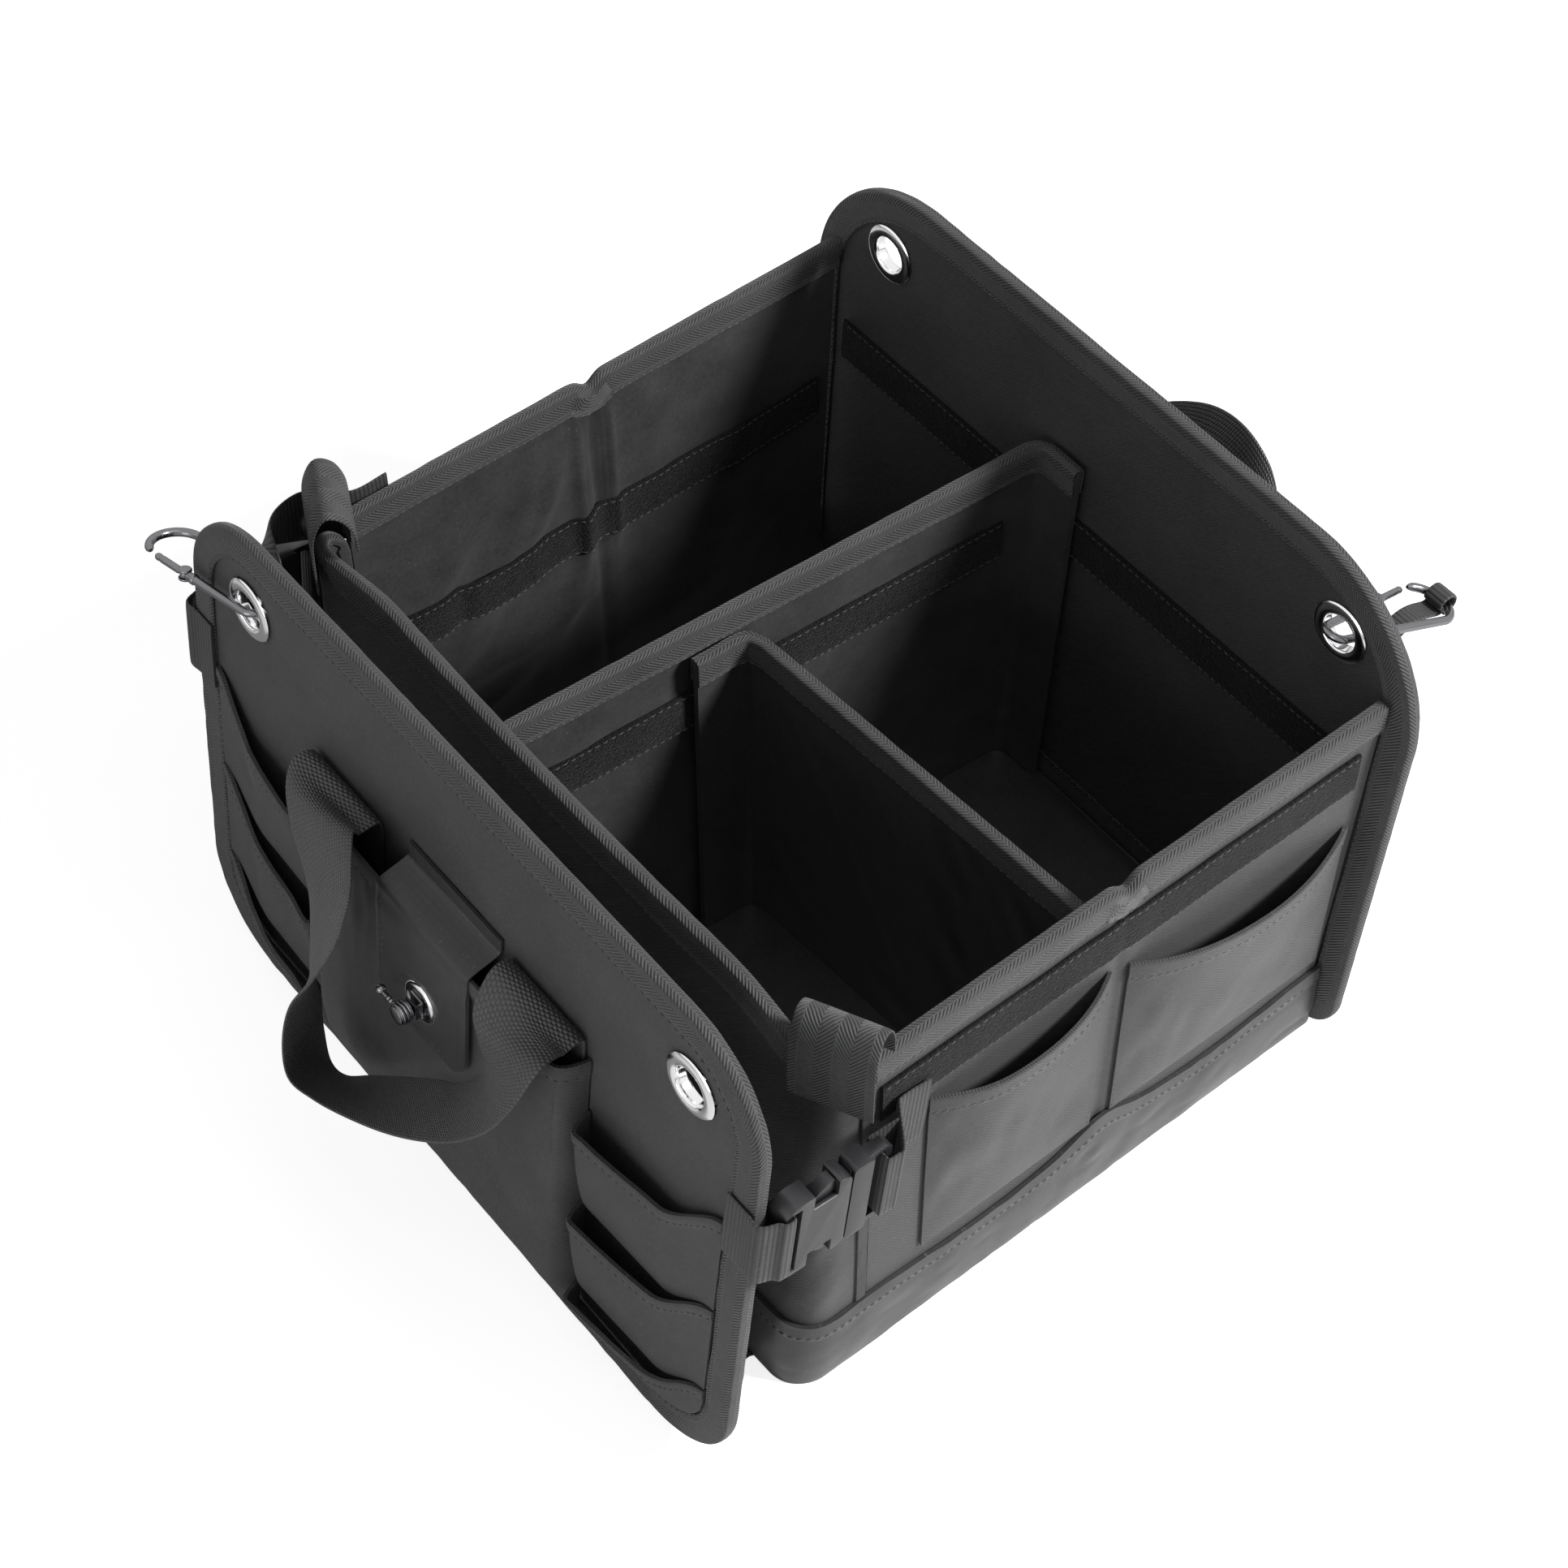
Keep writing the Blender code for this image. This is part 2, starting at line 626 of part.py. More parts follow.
def make_front_wall():
    rows = 8
    count = len(front_path(0.0))
    foot = FLOOR + WALL_THICKNESS * FRONT_SLOPE + GAP
    grid = []
    points, normals = [], []
    for i in range(count):
        top = front_wall_edge(i, foot)
        line = []
        for j in range(rows + 1):
            z = foot + (top - foot) * j / rows
            line.append(Vector((*front_path(z)[i], z)))
        grid.append(line)
        points.append(line[-1])
        flat = path_normal(front_path(top), i)
        normals.append((line[-1] - line[-2]).cross(Vector((flat.y, -flat.x, 0))).normalized())
    sheet("front_wall", grid, WALL_THICKNESS, WOVEN, offset=-1.0, facing=Vector((0, -1, 0)))
    # One tape: up the right seam, over the top and down the left seam.
    tape_foot = SKIRT_HEIGHT + SKIRT_RISE * 0.1 + GAP
    rise = [Vector((points[0].x, points[0].y, tape_foot + (points[0].z - tape_foot) * k))
            for k in (0.0, 0.5, 0.96)]
    fall = [Vector((-point.x, point.y, point.z)) for point in reversed(rise)]
    reaches = [SEAM_REACH] * 4
    for point in points[1:-1]:
        grown = smooth_step((HALF_WIDTH - 0.012 - abs(point.x)) / 0.012)
        reaches.append(CORNER_REACH + (TAPE_WIDTH - CORNER_REACH) * grown)
    reaches += [SEAM_REACH] * 4
    stations = edge_stations(rise + points + fall, [normals[0]] * 3 + normals + [normals[-1]] * 3,
                             WALL_THICKNESS / 2)
    edge_binding("binding_front_wall", stations, WALL_THICKNESS, reaches=reaches)


# Front flap and back panel
def grommet_profile():
    # Closed section of a crimped grommet: (radius, height), running down its outer side.
    half = PANEL_THICKNESS / 2 + GAP
    crown = half + GROMMET_FLANGE
    barrel = GROMMET_HOLE + GROMMET_BARREL
    return ((GROMMET_RADIUS, half), (barrel, half), (barrel, -half), (GROMMET_RADIUS, -half),
            (GROMMET_RADIUS - 0.0012, -crown), (GROMMET_HOLE + 0.0010, -crown),
            (GROMMET_HOLE, -half + 0.0006), (GROMMET_HOLE, half - 0.0006),
            (GROMMET_HOLE + 0.0012, crown), (GROMMET_RADIUS - 0.0026, crown),
            (GROMMET_RADIUS - 0.0006, half + GROMMET_FLANGE * 0.6))


def make_grommet(name, frame, x, up):
    steps = 20
    bm = bmesh.new()
    rings = []
    for i in range(steps):
        turn = Matrix.Rotation(2 * math.pi * i / steps, 3, "Z")
        rings.append([bm.verts.new(turn @ Vector((r, 0, h))) for r, h in grommet_profile()])
    for i in range(steps):
        here, there = rings[i], rings[(i + 1) % steps]
        for j in range(len(here)):
            k = (j + 1) % len(here)
            bm.faces.new((here[j], there[j], there[k], here[k]))
    bmesh.ops.recalc_face_normals(bm, faces=bm.faces)
    obj = add_part(name, mesh_from_bmesh(name, bm), CHROME, frame, smooth=True)
    obj.location = (x, up, -PANEL_THICKNESS / 2)
    return obj


def make_panel(name, frame, foot_radius, top_radius, grommet_x):
    half = PANEL_WIDTH / 2 - BINDING_REACH
    top = PANEL_HEIGHT - BINDING_REACH
    outline = rounded_outline(-half, half, 0.0, top, foot_radius, top_radius)
    hole = GROMMET_HOLE + GROMMET_BARREL + GAP
    holes = [list(reversed(circle((side * grommet_x, GROMMET_UP), hole))) for side in (-1, 1)]
    mesh = outline_mesh(name, [outline] + holes, PANEL_THICKNESS, -PANEL_THICKNESS)
    add_part(name, mesh, WOVEN, frame)
    stations = outline_stations(outline, -PANEL_THICKNESS / 2)
    edge_binding("binding_" + name, stations, PANEL_THICKNESS, frame, cyclic=True)


def make_centre_pocket(frame):
    # A box pocket: steep sides, a flat front and a foot that rolls under.
    half = CENTRE_POCKET_WIDTH / 2
    stops = (-1, -0.985, -0.95, -0.7, -0.35, 0, 0.35, 0.7, 0.95, 0.985, 1)
    ups = (0, 0.03, 0.1, 0.35, 0.6, 0.77, 0.83, 0.9, 1)
    grid = []
    for share in stops:
        side = 1 - abs(share) ** 40
        line = []
        for up in ups:
            roll = 1 - (1 - up) ** 22
            crown = POCKET_CROWN * math.cos(share * math.pi / 2) * up
            y = FLAP_POCKET_FOOT + (CENTRE_POCKET_TOP - FLAP_POCKET_FOOT) * up
            # Its left seam lies over the foot of the handle.
            lift = (WEBBING + 2 * GAP) * smooth_step((up - 0.77) / 0.06) * (share < -0.9)
            depth = max(lift, (CENTRE_POCKET_DEPTH + crown) * side * roll)
            line.append(Vector((share * half, y, GAP + depth)))
        grid.append(line)
    sheet("centre_pocket", grid, CLOTH, WOVEN, frame, facing=Vector((0, 0, 1)))


def tongue_depth(y):
    # The tongue rolls from the flap's face over the mouth of the centre pocket.
    cover = CENTRE_POCKET_DEPTH + POCKET_CROWN + CLOTH + GAP * 2
    rolled = smooth_step((TONGUE_TOP - y) / (TONGUE_TOP - CENTRE_POCKET_TOP - CLOTH))
    return GAP + (cover - GAP) * rolled


def make_tongue(frame):
    half = TONGUE_WIDTH / 2
    corner = TONGUE_FOOT + TONGUE_RADIUS
    roll = TONGUE_TOP - CENTRE_POCKET_TOP - CLOTH
    ups = [TONGUE_FOOT + TONGUE_RADIUS * (1 - math.sin(math.radians(a))) for a in (90, 75, 55, 30)]
    ups += [corner, LOCK_UP + 0.012, CENTRE_POCKET_TOP - 0.012]
    ups += [TONGUE_TOP - roll * share for share in (1, 0.8, 0.6, 0.4, 0.2, 0)]
    ups += [TONGUE_TOP + 0.007]
    grid = []
    for share in (-1, -0.6, -0.2, 0.2, 0.6, 1):
        line = []
        for y in ups:
            below = max(0.0, corner - y)
            inset = TONGUE_RADIUS - math.sqrt(max(0.0, TONGUE_RADIUS ** 2 - below ** 2))
            line.append(Vector((share * (half - inset), y, tongue_depth(y))))
        grid.append(line)
    sheet("pocket_tongue", grid, CLOTH, COATED, frame, facing=Vector((0, 0, 1)))


def tier_mouth(index, share):
    # Height of a tool pocket's mouth: it gathers up towards the flap's bound edge.
    return TIER_TOPS[index] + 0.003 * share + TIER_RISE * smooth_step((share - 0.62) / 0.38)


def tier_foot(index, share, x):
    # A tier starts just over the next one's mouth; the lowest follows the flap's round corner.
    if index + 1 < len(TIER_TOPS):
        return tier_mouth(index + 1, share) + 0.001
    centre = PANEL_WIDTH / 2 - FLAP_RADIUS
    inner = FLAP_RADIUS - TAPE_WIDTH - BINDING_REACH - 4 * GAP
    beyond = min(max(x - centre, 0.0), inner * 0.995)
    return max(FLAP_POCKET_FOOT, FLAP_RADIUS - math.sqrt(inner ** 2 - beyond ** 2))


def make_tool_pocket(name, frame, side, index):
    # Full beside the centre pocket, gathered to nothing at the flap's bound edge.
    grid = []
    for share in (0, 0.02, 0.06, 0.16, 0.3, 0.45, 0.6, 0.74, 0.87, 1):
        x = TIER_INNER + (TIER_OUTER - TIER_INNER) * share
        full = (1 - share ** 1.4) * (1 - (1 - min(share / 0.06, 1)) ** 2)
        mouth = tier_mouth(index, share)
        foot = tier_foot(index, share, x)
        line = []
        for up in (0, 0.08, 0.25, 0.6, 1):
            y = foot + (mouth - foot) * up
            line.append(Vector((side * x, y, GAP + TIER_BELLY * full * up ** 0.5)))
        grid.append(line)
    sheet(name, grid, CLOTH, WOVEN, frame, facing=Vector((0, 0, 1)))


def make_back_pocket(name, frame, foot, top):
    # Wide flat pockets across the back of the back panel.
    half = TIER_OUTER
    grid = []
    for i in range(13):
        share = i / 6 - 1
        line = []
        for j in range(5):
            up = j / 4
            across = 1 - abs(share) ** 6
            mouth = top - 0.004 * math.cos(share * math.pi / 2)
            depth = GAP + BACK_POCKET_BELLY * across * up ** 0.8
            line.append(Vector((share * half, foot + (mouth - foot) * up, depth)))
        grid.append(line)
    sheet(name, grid, CLOTH, WOVEN, frame, facing=Vector((0, 0, 1)))


# Carry handles. Each stop is (across, up, out of the panel), then the webbing's width direction.
FRONT_HANDLE = (
    ((-0.0765, 0.1620, 0.0012), (1.00, 0.00, 0.00)), ((-0.0765, 0.1900, 0.0012), (1.00, 0.00, 0.00)),
    ((-0.0765, 0.1965, 0.0040), (1.00, 0.00, 0.00)), ((-0.0770, 0.1950, 0.0120), (1.00, 0.00, 0.00)),
    ((-0.0697, 0.1979, 0.0200), (0.94, 0.34, -0.05)), ((-0.0578, 0.1939, 0.0270), (0.88, 0.48, -0.01)),
    ((-0.0468, 0.1870, 0.0320), (0.80, 0.59, 0.06)), ((-0.0403, 0.1790, 0.0360), (0.72, 0.68, 0.10)),
    ((-0.0409, 0.1560, 0.0390), (0.69, 0.70, 0.20)), ((-0.0469, 0.1281, 0.0415), (0.59, 0.72, 0.36)),
    ((-0.0503, 0.1081, 0.0435), (0.43, 0.71, 0.56)), ((-0.0512, 0.0821, 0.0445), (0.35, 0.69, 0.63)),
    ((-0.0472, 0.0622, 0.0445), (0.35, 0.67, 0.65)), ((-0.0333, 0.0643, 0.0435), (0.43, 0.65, 0.62)),
    ((-0.0129, 0.0790, 0.0415), (0.56, 0.54, 0.63)), ((0.0105, 0.0976, 0.0390), (0.65, 0.44, 0.63)),
    ((0.0319, 0.1163, 0.0365), (0.68, 0.40, 0.61)), ((0.0500, 0.1338, 0.0345), (0.70, 0.44, 0.57)),
    ((0.0643, 0.1544, 0.0325), (0.74, 0.47, 0.48)), ((0.0718, 0.1739, 0.0310), (0.79, 0.53, 0.33)),
    ((0.0715, 0.1897, 0.0265), (0.84, 0.54, 0.05)), ((0.0671, 0.1949, 0.0200), (0.94, 0.31, -0.12)),
    ((0.0640, 0.1990, 0.0120), (1.00, 0.00, 0.00)), ((0.0635, 0.2000, 0.0040), (1.00, 0.00, 0.00)),
    ((0.0630, 0.1940, 0.0012), (1.00, 0.00, 0.00)), ((0.0630, 0.1620, 0.0012), (1.00, 0.00, 0.00)))
BACK_HANDLE = (
    ((-0.0800, 0.150, 0.0012), (1, 0, 0)), ((-0.0800, 0.180, 0.0012), (1, 0, 0)),
    ((-0.0800, 0.1865, 0.0040), (1, 0, 0)), ((-0.0802, 0.187, 0.0120), (1, 0, 0)),
    ((-0.0800, 0.183, 0.0230), (0.9, 0.25, 0.3)), ((-0.0740, 0.185, 0.0350), (0.6, 0.45, 0.6)),
    ((-0.0560, 0.195, 0.0440), (0.3, 0.8, 0.5)), ((-0.0300, 0.202, 0.0490), (0.1, 0.9, 0.4)),
    ((0.0000, 0.196, 0.0510), (-0.1, 0.88, 0.45)), ((0.0300, 0.184, 0.0460), (-0.35, 0.8, 0.45)),
    ((0.0540, 0.175, 0.0360), (-0.7, 0.5, 0.45)), ((0.0660, 0.177, 0.0230), (-0.95, 0.2, 0.2)),
    ((0.0700, 0.185, 0.0120), (-1, 0, 0)), ((0.0700, 0.1865, 0.0040), (-1, 0, 0)),
    ((0.0700, 0.180, 0.0012), (-1, 0, 0)), ((0.0700, 0.150, 0.0012), (-1, 0, 0)))


def spline_points(points, pieces):
    # A smooth curve through the points, read at even steps of its parameter.
    fine = []
    last = len(points) - 1
    for i in range(last):
        p0, p1 = Vector(points[max(i - 1, 0)]), Vector(points[i])
        p2, p3 = Vector(points[i + 1]), Vector(points[min(i + 2, last)])
        for j in range(pieces):
            t = j / pieces
            fine.append(0.5 * (2 * p1 + (p2 - p0) * t + (2 * p0 - 5 * p1 + 4 * p2 - p3) * t * t
                               + (3 * p1 - p0 - 3 * p2 + p3) * t ** 3))
    fine.append(Vector(points[last]))
    return fine


def ribbon(name, frame, stops, width, thickness, mat, pieces=2):
    # A flat band along the stops, its width laid along each stop's own direction.
    points = spline_points([place for place, across in stops], pieces)
    ways = spline_points([across for place, across in stops], pieces)
    rows = []
    for point, way in zip(points, ways):
        half = way.normalized() * width / 2
        rows.append([point - half, point, point + half])
    sheet(name, rows, thickness, mat, frame, offset=0.0)


# Turn lock
def make_lock(frame):
    base = tongue_depth(LOCK_UP) + CLOTH + GAP
    top = base + LOCK_ROSETTE_THICKNESS
    shape = cylinder_mesh("lock_plate", LOCK_ROSETTE, (0, 0, base), (0, 0, top), 28)
    plate = add_part("lock_plate", shape, CHROME, frame, smooth=True)
    plate.location = (0, LOCK_UP, 0)
    half = LOCK_BLOCK / 2
    block_top = top + LOCK_BLOCK * 0.5
    block = box_mesh("lock_block", (-half, -half, top - 0.0004), (half, half, block_top))
    boolean(plate, block, "UNION").object.location = plate.location
    start = block_top + GAP
    end = start + LOCK_KNOB_HEIGHT
    knob_mesh = cylinder_mesh("lock_knob", LOCK_BARREL, (0, 0, start), (0, 0, end), 20)
    knob = add_part("lock_knob", knob_mesh, GUNMETAL, frame, smooth=True)
    knob.location = (0, LOCK_UP, 0)
    middle = (start + end) / 2
    pin = cylinder_mesh("lock_pin", LOCK_PIN_RADIUS, (LOCK_BARREL * 0.6, 0, middle),
                        (-LOCK_PIN_REACH, 0, middle), 12)
    bm = bmesh.new()
    bmesh.ops.create_uvsphere(bm, u_segments=12, v_segments=8, radius=LOCK_BALL,
                              matrix=Matrix.Translation((-LOCK_PIN_REACH, 0, middle)))
    for helper in (pin, mesh_from_bmesh("lock_ball", bm)):
        boolean(knob, helper, "UNION").object.location = knob.location


# Buckles, turned with the flap. Local X runs from the male end to the female end, Y is up.
def make_female(name, frame):
    half = BUCKLE_WIDTH / 2
    thick = BUCKLE_THICKNESS
    outline = rounded_outline(-half, half, 0.0, FEMALE_LENGTH, 0.004, 0.007, 4)
    turned = [(y, -x) for x, y in outline]
    bar_start = FEMALE_LENGTH - BAR - SLOT
    reach = STRAP_WIDTH / 2 + 0.001
    slot = [(bar_start, -reach), (bar_start, reach), (bar_start + SLOT, reach), (bar_start + SLOT, -reach)]
    body = add_part(name, outline_mesh(name, [turned, slot], thick, -thick / 2), PLASTIC, frame)
    cavity = half - BUCKLE_WALL
    boolean(body, box_mesh(name + "_cavity", (-0.002, -cavity, -BUCKLE_INSIDE / 2),
                           (bar_start - 0.0025, cavity, BUCKLE_INSIDE / 2)), "DIFFERENCE")
    for sign in (-1, 1):
        low, high = sorted((sign * (half - 0.0085), sign * (half + 0.004)))
        boolean(body, box_mesh(name + "_window", (0.0065, low, -thick), (0.0185, high, thick)),
                "DIFFERENCE")


def male_half_outline():
    # One half of the male end in plan, from its bar round the arm to the guide.
    half = BUCKLE_WIDTH / 2
    inner = half - BUCKLE_WALL - GAP * 1.5
    return [(-MALE_LENGTH, 0.0), (-MALE_LENGTH, half - 0.003), (-MALE_LENGTH + 0.003, half),
            (-0.003, half), (-0.0008, half - 0.002), (-0.0008, inner), (0.0065 + GAP, inner),
            (0.0072, half - 0.0006), (0.0105, half - 0.0010), (0.0165, inner - 0.0015),
            (0.0185, inner - 0.005), (0.0160, inner - 0.0062), (0.0, inner - 0.0045),
            (-0.0015, inner - 0.0060), (-0.0015, 0.0045), (0.0, 0.0032), (0.0190, 0.0024),
            (0.0200, 0.0)]


def make_male(name, frame):
    upper = male_half_outline()
    lower = [(x, -y) for x, y in reversed(upper)][1:-1]
    start = -MALE_LENGTH + BAR
    reach = STRAP_WIDTH / 2 + 0.001
    slot = [(start, -reach), (start, reach), (start + SLOT, reach), (start + SLOT, -reach)]
    arm = BUCKLE_INSIDE - 2 * GAP
    body = add_part(name, outline_mesh(name, [upper + lower, slot], arm, -arm / 2), PLASTIC, frame)
    # The part that stays outside the female end is thicker than the arms.
    slab_length = MALE_LENGTH - SLOT - BAR - 0.0035
    half = BUCKLE_WIDTH / 2
    slab = rounded_outline(-half, half, 0.0, slab_length, 0.002, 0.002, 3)
    placed = [(-0.0012 - y, x) for x, y in slab]
    depth = BUCKLE_THICKNESS - 0.0008
    boolean(body, outline_mesh(name + "_slab", [placed], depth, -depth / 2), "UNION")


def plan_strap(name, frame, plan, pieces=1):
    # A strap whose width stays along the flap, through (across, out) places at the buckle's height.
    stops = [((x, BUCKLE_UP, z), (0, 1, 0)) for x, z in plan]
    ribbon(name, frame, stops, STRAP_WIDTH, STRAP, WEB, pieces)


def make_buckle(name, side, flap):
    x_mid = side * (HALF_WIDTH + BUCKLE_OUT)
    frame = bpy.data.objects.new("buckle_frame_" + name, None)
    PARTS.objects.link(frame)
    frame.parent = flap
    turn = Matrix(((0, 0, -1), (0, 1, 0), (1, 0, 0))).to_4x4()
    frame.matrix_local = Matrix.Translation((x_mid, BUCKLE_UP, -BUCKLE_MOUTH)) @ turn
    make_female("buckle_female_" + name, frame)
    make_male("buckle_male_" + name, frame)
    clear = STRAP / 2 + GAP
    wrap = BUCKLE_THICKNESS / 2 + clear
    # The flap's strap: off the flap's outer face, round its edge and once round the female bar.
    bar = -BUCKLE_MOUTH + FEMALE_LENGTH - BAR / 2
    near, far = bar - BAR / 2 - clear, bar + BAR / 2 + clear
    face = BINDING_REACH + clear
    edge = PANEL_WIDTH / 2
    out, inside = x_mid + side * wrap, x_mid - side * wrap
    plan_strap("flap_strap_" + name, flap,
               ((side * (TIER_OUTER + 0.0012), face), (side * (edge - 0.004), face),
                (side * (edge + 0.004), face + 0.0004),
                (out - side * 0.0022, far + 0.0012), (out, far - 0.001),
                (out, near + 0.0008), (out - side * 0.0012, near), (inside + side * 0.0012, near),
                (inside, near + 0.0008), (inside, far - 0.0025)))
    # The wall's strap: off the side wall's outer face, round the male bar and back on itself.
    bar = -BUCKLE_MOUTH - MALE_LENGTH + BAR / 2
    near, far = bar + BAR / 2 + clear, bar - BAR / 2 - clear
    wall = side * (HALF_WIDTH + BINDING_REACH + STRIP_THICKNESS + clear)
    plan_strap("wall_strap_" + name, flap,
               ((inside, far - 0.010), (inside, far + 0.001), (inside, near - 0.0008),
                (inside + side * 0.0012, near), (out - side * 0.0012, near), (out, near - 0.0008),
                (out, far + 0.001), (out - side * 0.001, far - 0.003), (wall + side * 0.003, far - 0.014),
                (wall, far - 0.018), (wall, far - 0.033)))


# Carabiners. Local X runs from the wide end to the narrow end, Y to the gate's side.
def carabiner_shape():
    # Half angle between the two straight sides, and the distance between the two end centres.
    span = CARABINER_LENGTH - CARABINER_WIDE - CARABINER_NARROW
    return math.asin((CARABINER_WIDE - CARABINER_NARROW) / span), span


def side_point(distance):
    # A point on the gate's side, measured along X from the narrow end's centre.
    angle, span = carabiner_shape()
    start = Vector((span + CARABINER_NARROW * math.sin(angle), CARABINER_NARROW * math.cos(angle), 0))
    way = Vector((-math.cos(angle), math.sin(angle), 0))
    return start + way * (distance - CARABINER_NARROW) / math.cos(angle)


def make_carabiner(name, frame):
    # The frame's origin is the wide end's centre.
    angle, span = carabiner_shape()
    degrees = math.degrees(angle)
    hinge = side_point(GATE_HINGE)
    nose = side_point(GATE_HINGE + GATE_LENGTH)
    way = (nose - hinge).normalized()
    points = [hinge]
    points += [Vector((*p, 0)) for p in arc((span, 0), CARABINER_NARROW, 90 - degrees, -90 + degrees, 6)]
    points += [Vector((*p, 0)) for p in arc((0, 0), CARABINER_WIDE, 270 - degrees, 90 + degrees - 4, 14)]
    body = add_part(name + "_body", rod_mesh(name, points, ROD / 2), GUNMETAL, frame, smooth=True)
    cheek = Vector((0, 0, HINGE_CHEEK_HALF))
    boolean(body, cylinder_mesh(name + "_boss", HINGE_CHEEK, hinge - cheek, hinge + cheek, 16), "UNION")
    slot = Vector((0, 0, GATE_EYE / 2 + GAP))
    boolean(body, cylinder_mesh(name + "_slot", HINGE_CHEEK + GAP * 2, hinge - slot, hinge + slot, 20),
            "DIFFERENCE")
    pin = Vector((0, 0, HINGE_CHEEK_HALF * 0.8))
    boolean(body, cylinder_mesh(name + "_pin", HINGE_PIN, hinge - pin, hinge + pin, 10), "UNION")
    hinge_frame = bpy.data.objects.new(name + "_gate_hinge", None)
    PARTS.objects.link(hinge_frame)
    hinge_frame.parent = frame
    hinge_frame.location = hinge
    start = HINGE_CHEEK + GAP * 2
    length = GATE_LENGTH - GAP
    rod = rod_mesh(name + "_gate", [way * start, way * length], GATE_ROD / 2)
    gate = add_part(name + "_gate", rod, GUNMETAL, hinge_frame, smooth=True)
    half = Vector((0, 0, GATE_EYE / 2))
    eye = cylinder_mesh(name + "_eye", GATE_EYE, -half, half, 16)
    neck = rod_mesh(name + "_neck", [Vector((0, 0, 0)), way * (start + 0.001)], GATE_EYE / 2 * 0.96)
    hole = cylinder_mesh(name + "_hole", HINGE_PIN + GAP, -half * 2, half * 2, 10)
    for helper, operation in ((eye, "UNION"), (neck, "UNION"), (hole, "DIFFERENCE")):
        boolean(gate, helper, operation)


def carabiner_frame(name, parent, tip, way, gate_side):
    # Placed by the middle of the rod at the narrow end, in the parent panel's coordinates.
    x_axis = way.normalized()
    z_axis = x_axis.cross(gate_side).normalized()
    y_axis = z_axis.cross(x_axis)
    angle, span = carabiner_shape()
    origin = tip - x_axis * (span + CARABINER_NARROW)
    turn = Matrix((x_axis, y_axis, z_axis)).transposed().to_4x4()
    empty = bpy.data.objects.new(name + "_frame", None)
    PARTS.objects.link(empty)
    empty.parent = parent
    empty.matrix_local = Matrix.Translation(origin) @ turn
    return empty


def front_carabiner(flap):
    # Clipped through the flap's left grommet and round the flap's edge.
    droop, tilt = math.radians(FRONT_DROOP), math.radians(FRONT_TILT)
    way = Vector((math.cos(droop), math.sin(droop), 0))
    up = Vector((-math.sin(droop), math.cos(droop), 0))
    gate_side = Vector((0, 0, 1)) * math.cos(tilt) + up * math.sin(tilt)
    middle = Vector((-GROMMET_FLAP_X, GROMMET_UP, -PANEL_THICKNESS / 2))
    tip = middle + way * (CARABINER_NARROW - 0.0010)
    frame = carabiner_frame("carabiner_front", flap, tip, way, gate_side)
    make_carabiner("carabiner_front", frame)
    # The strap behind it: sewn to the side wall's front corner, turned flat, looped round the rod.
    angle, span = carabiner_shape()
    rod_way = (way * math.cos(angle) + gate_side * math.sin(angle)).normalized()
    width = (CARABINER_WIDE + CARABINER_NARROW) / 2 * 1.08
    centre = tip - way * (CARABINER_NARROW + span * 0.52) - gate_side * width
    to_side = rod_way.cross(Vector((0, 0, 1))).normalized()
    back = to_side.cross(rod_way).normalized()
    if back.z > 0:
        back = -back
    ring = ROD / 2 + 4 * GAP + STRAP / 2
    loop = []
    for degrees in (100, 45, -10, -60, -110, -160, -205):
        turn = math.radians(degrees)
        place = centre - back * math.cos(turn) * ring + to_side * math.sin(turn) * ring * 1.6
        loop.append((place, rod_way))
    edge_x = -HALF_WIDTH - GAP - STRIP_THICKNESS - STRAP / 2 - 2 * GAP
    lean = math.radians(FLAP_LEAN)

    def in_flap(x, y, z):
        back, up = y - FLAP_FOOT_Y, z - PANEL_LIFT
        along = back * math.sin(lean) + up * math.cos(lean)
        return Vector((x, along, up * math.sin(lean) - back * math.cos(lean)))

    upright = Vector((0, math.cos(lean), math.sin(lean)))
    outside = edge_x - TAB_WIDTH * 0.34
    start = [(in_flap(edge_x, SIDE_FRONT + 0.026, STRAP_END_UP), upright),
             (in_flap(edge_x, SIDE_FRONT + 0.010, STRAP_END_UP), upright),
             (in_flap(outside * 0.45 + edge_x * 0.55, SIDE_FRONT - 0.001, STRAP_END_UP + 0.001), upright),
             (in_flap(outside, SIDE_FRONT - 0.012, STRAP_END_UP + 0.002), upright),
             (in_flap(outside + 0.002, SIDE_FRONT - 0.030, STRAP_END_UP + 0.005), upright + rod_way * 0.5)]
    near = centre + back * 0.016
    start.append((near + to_side * ring * 1.2, rod_way + upright * 0.15))
    stops = [(tuple(p), tuple(w)) for p, w in start + loop]
    ribbon("strap_front_left", flap, stops, CORNER_STRAP, STRAP, WEB, 2)


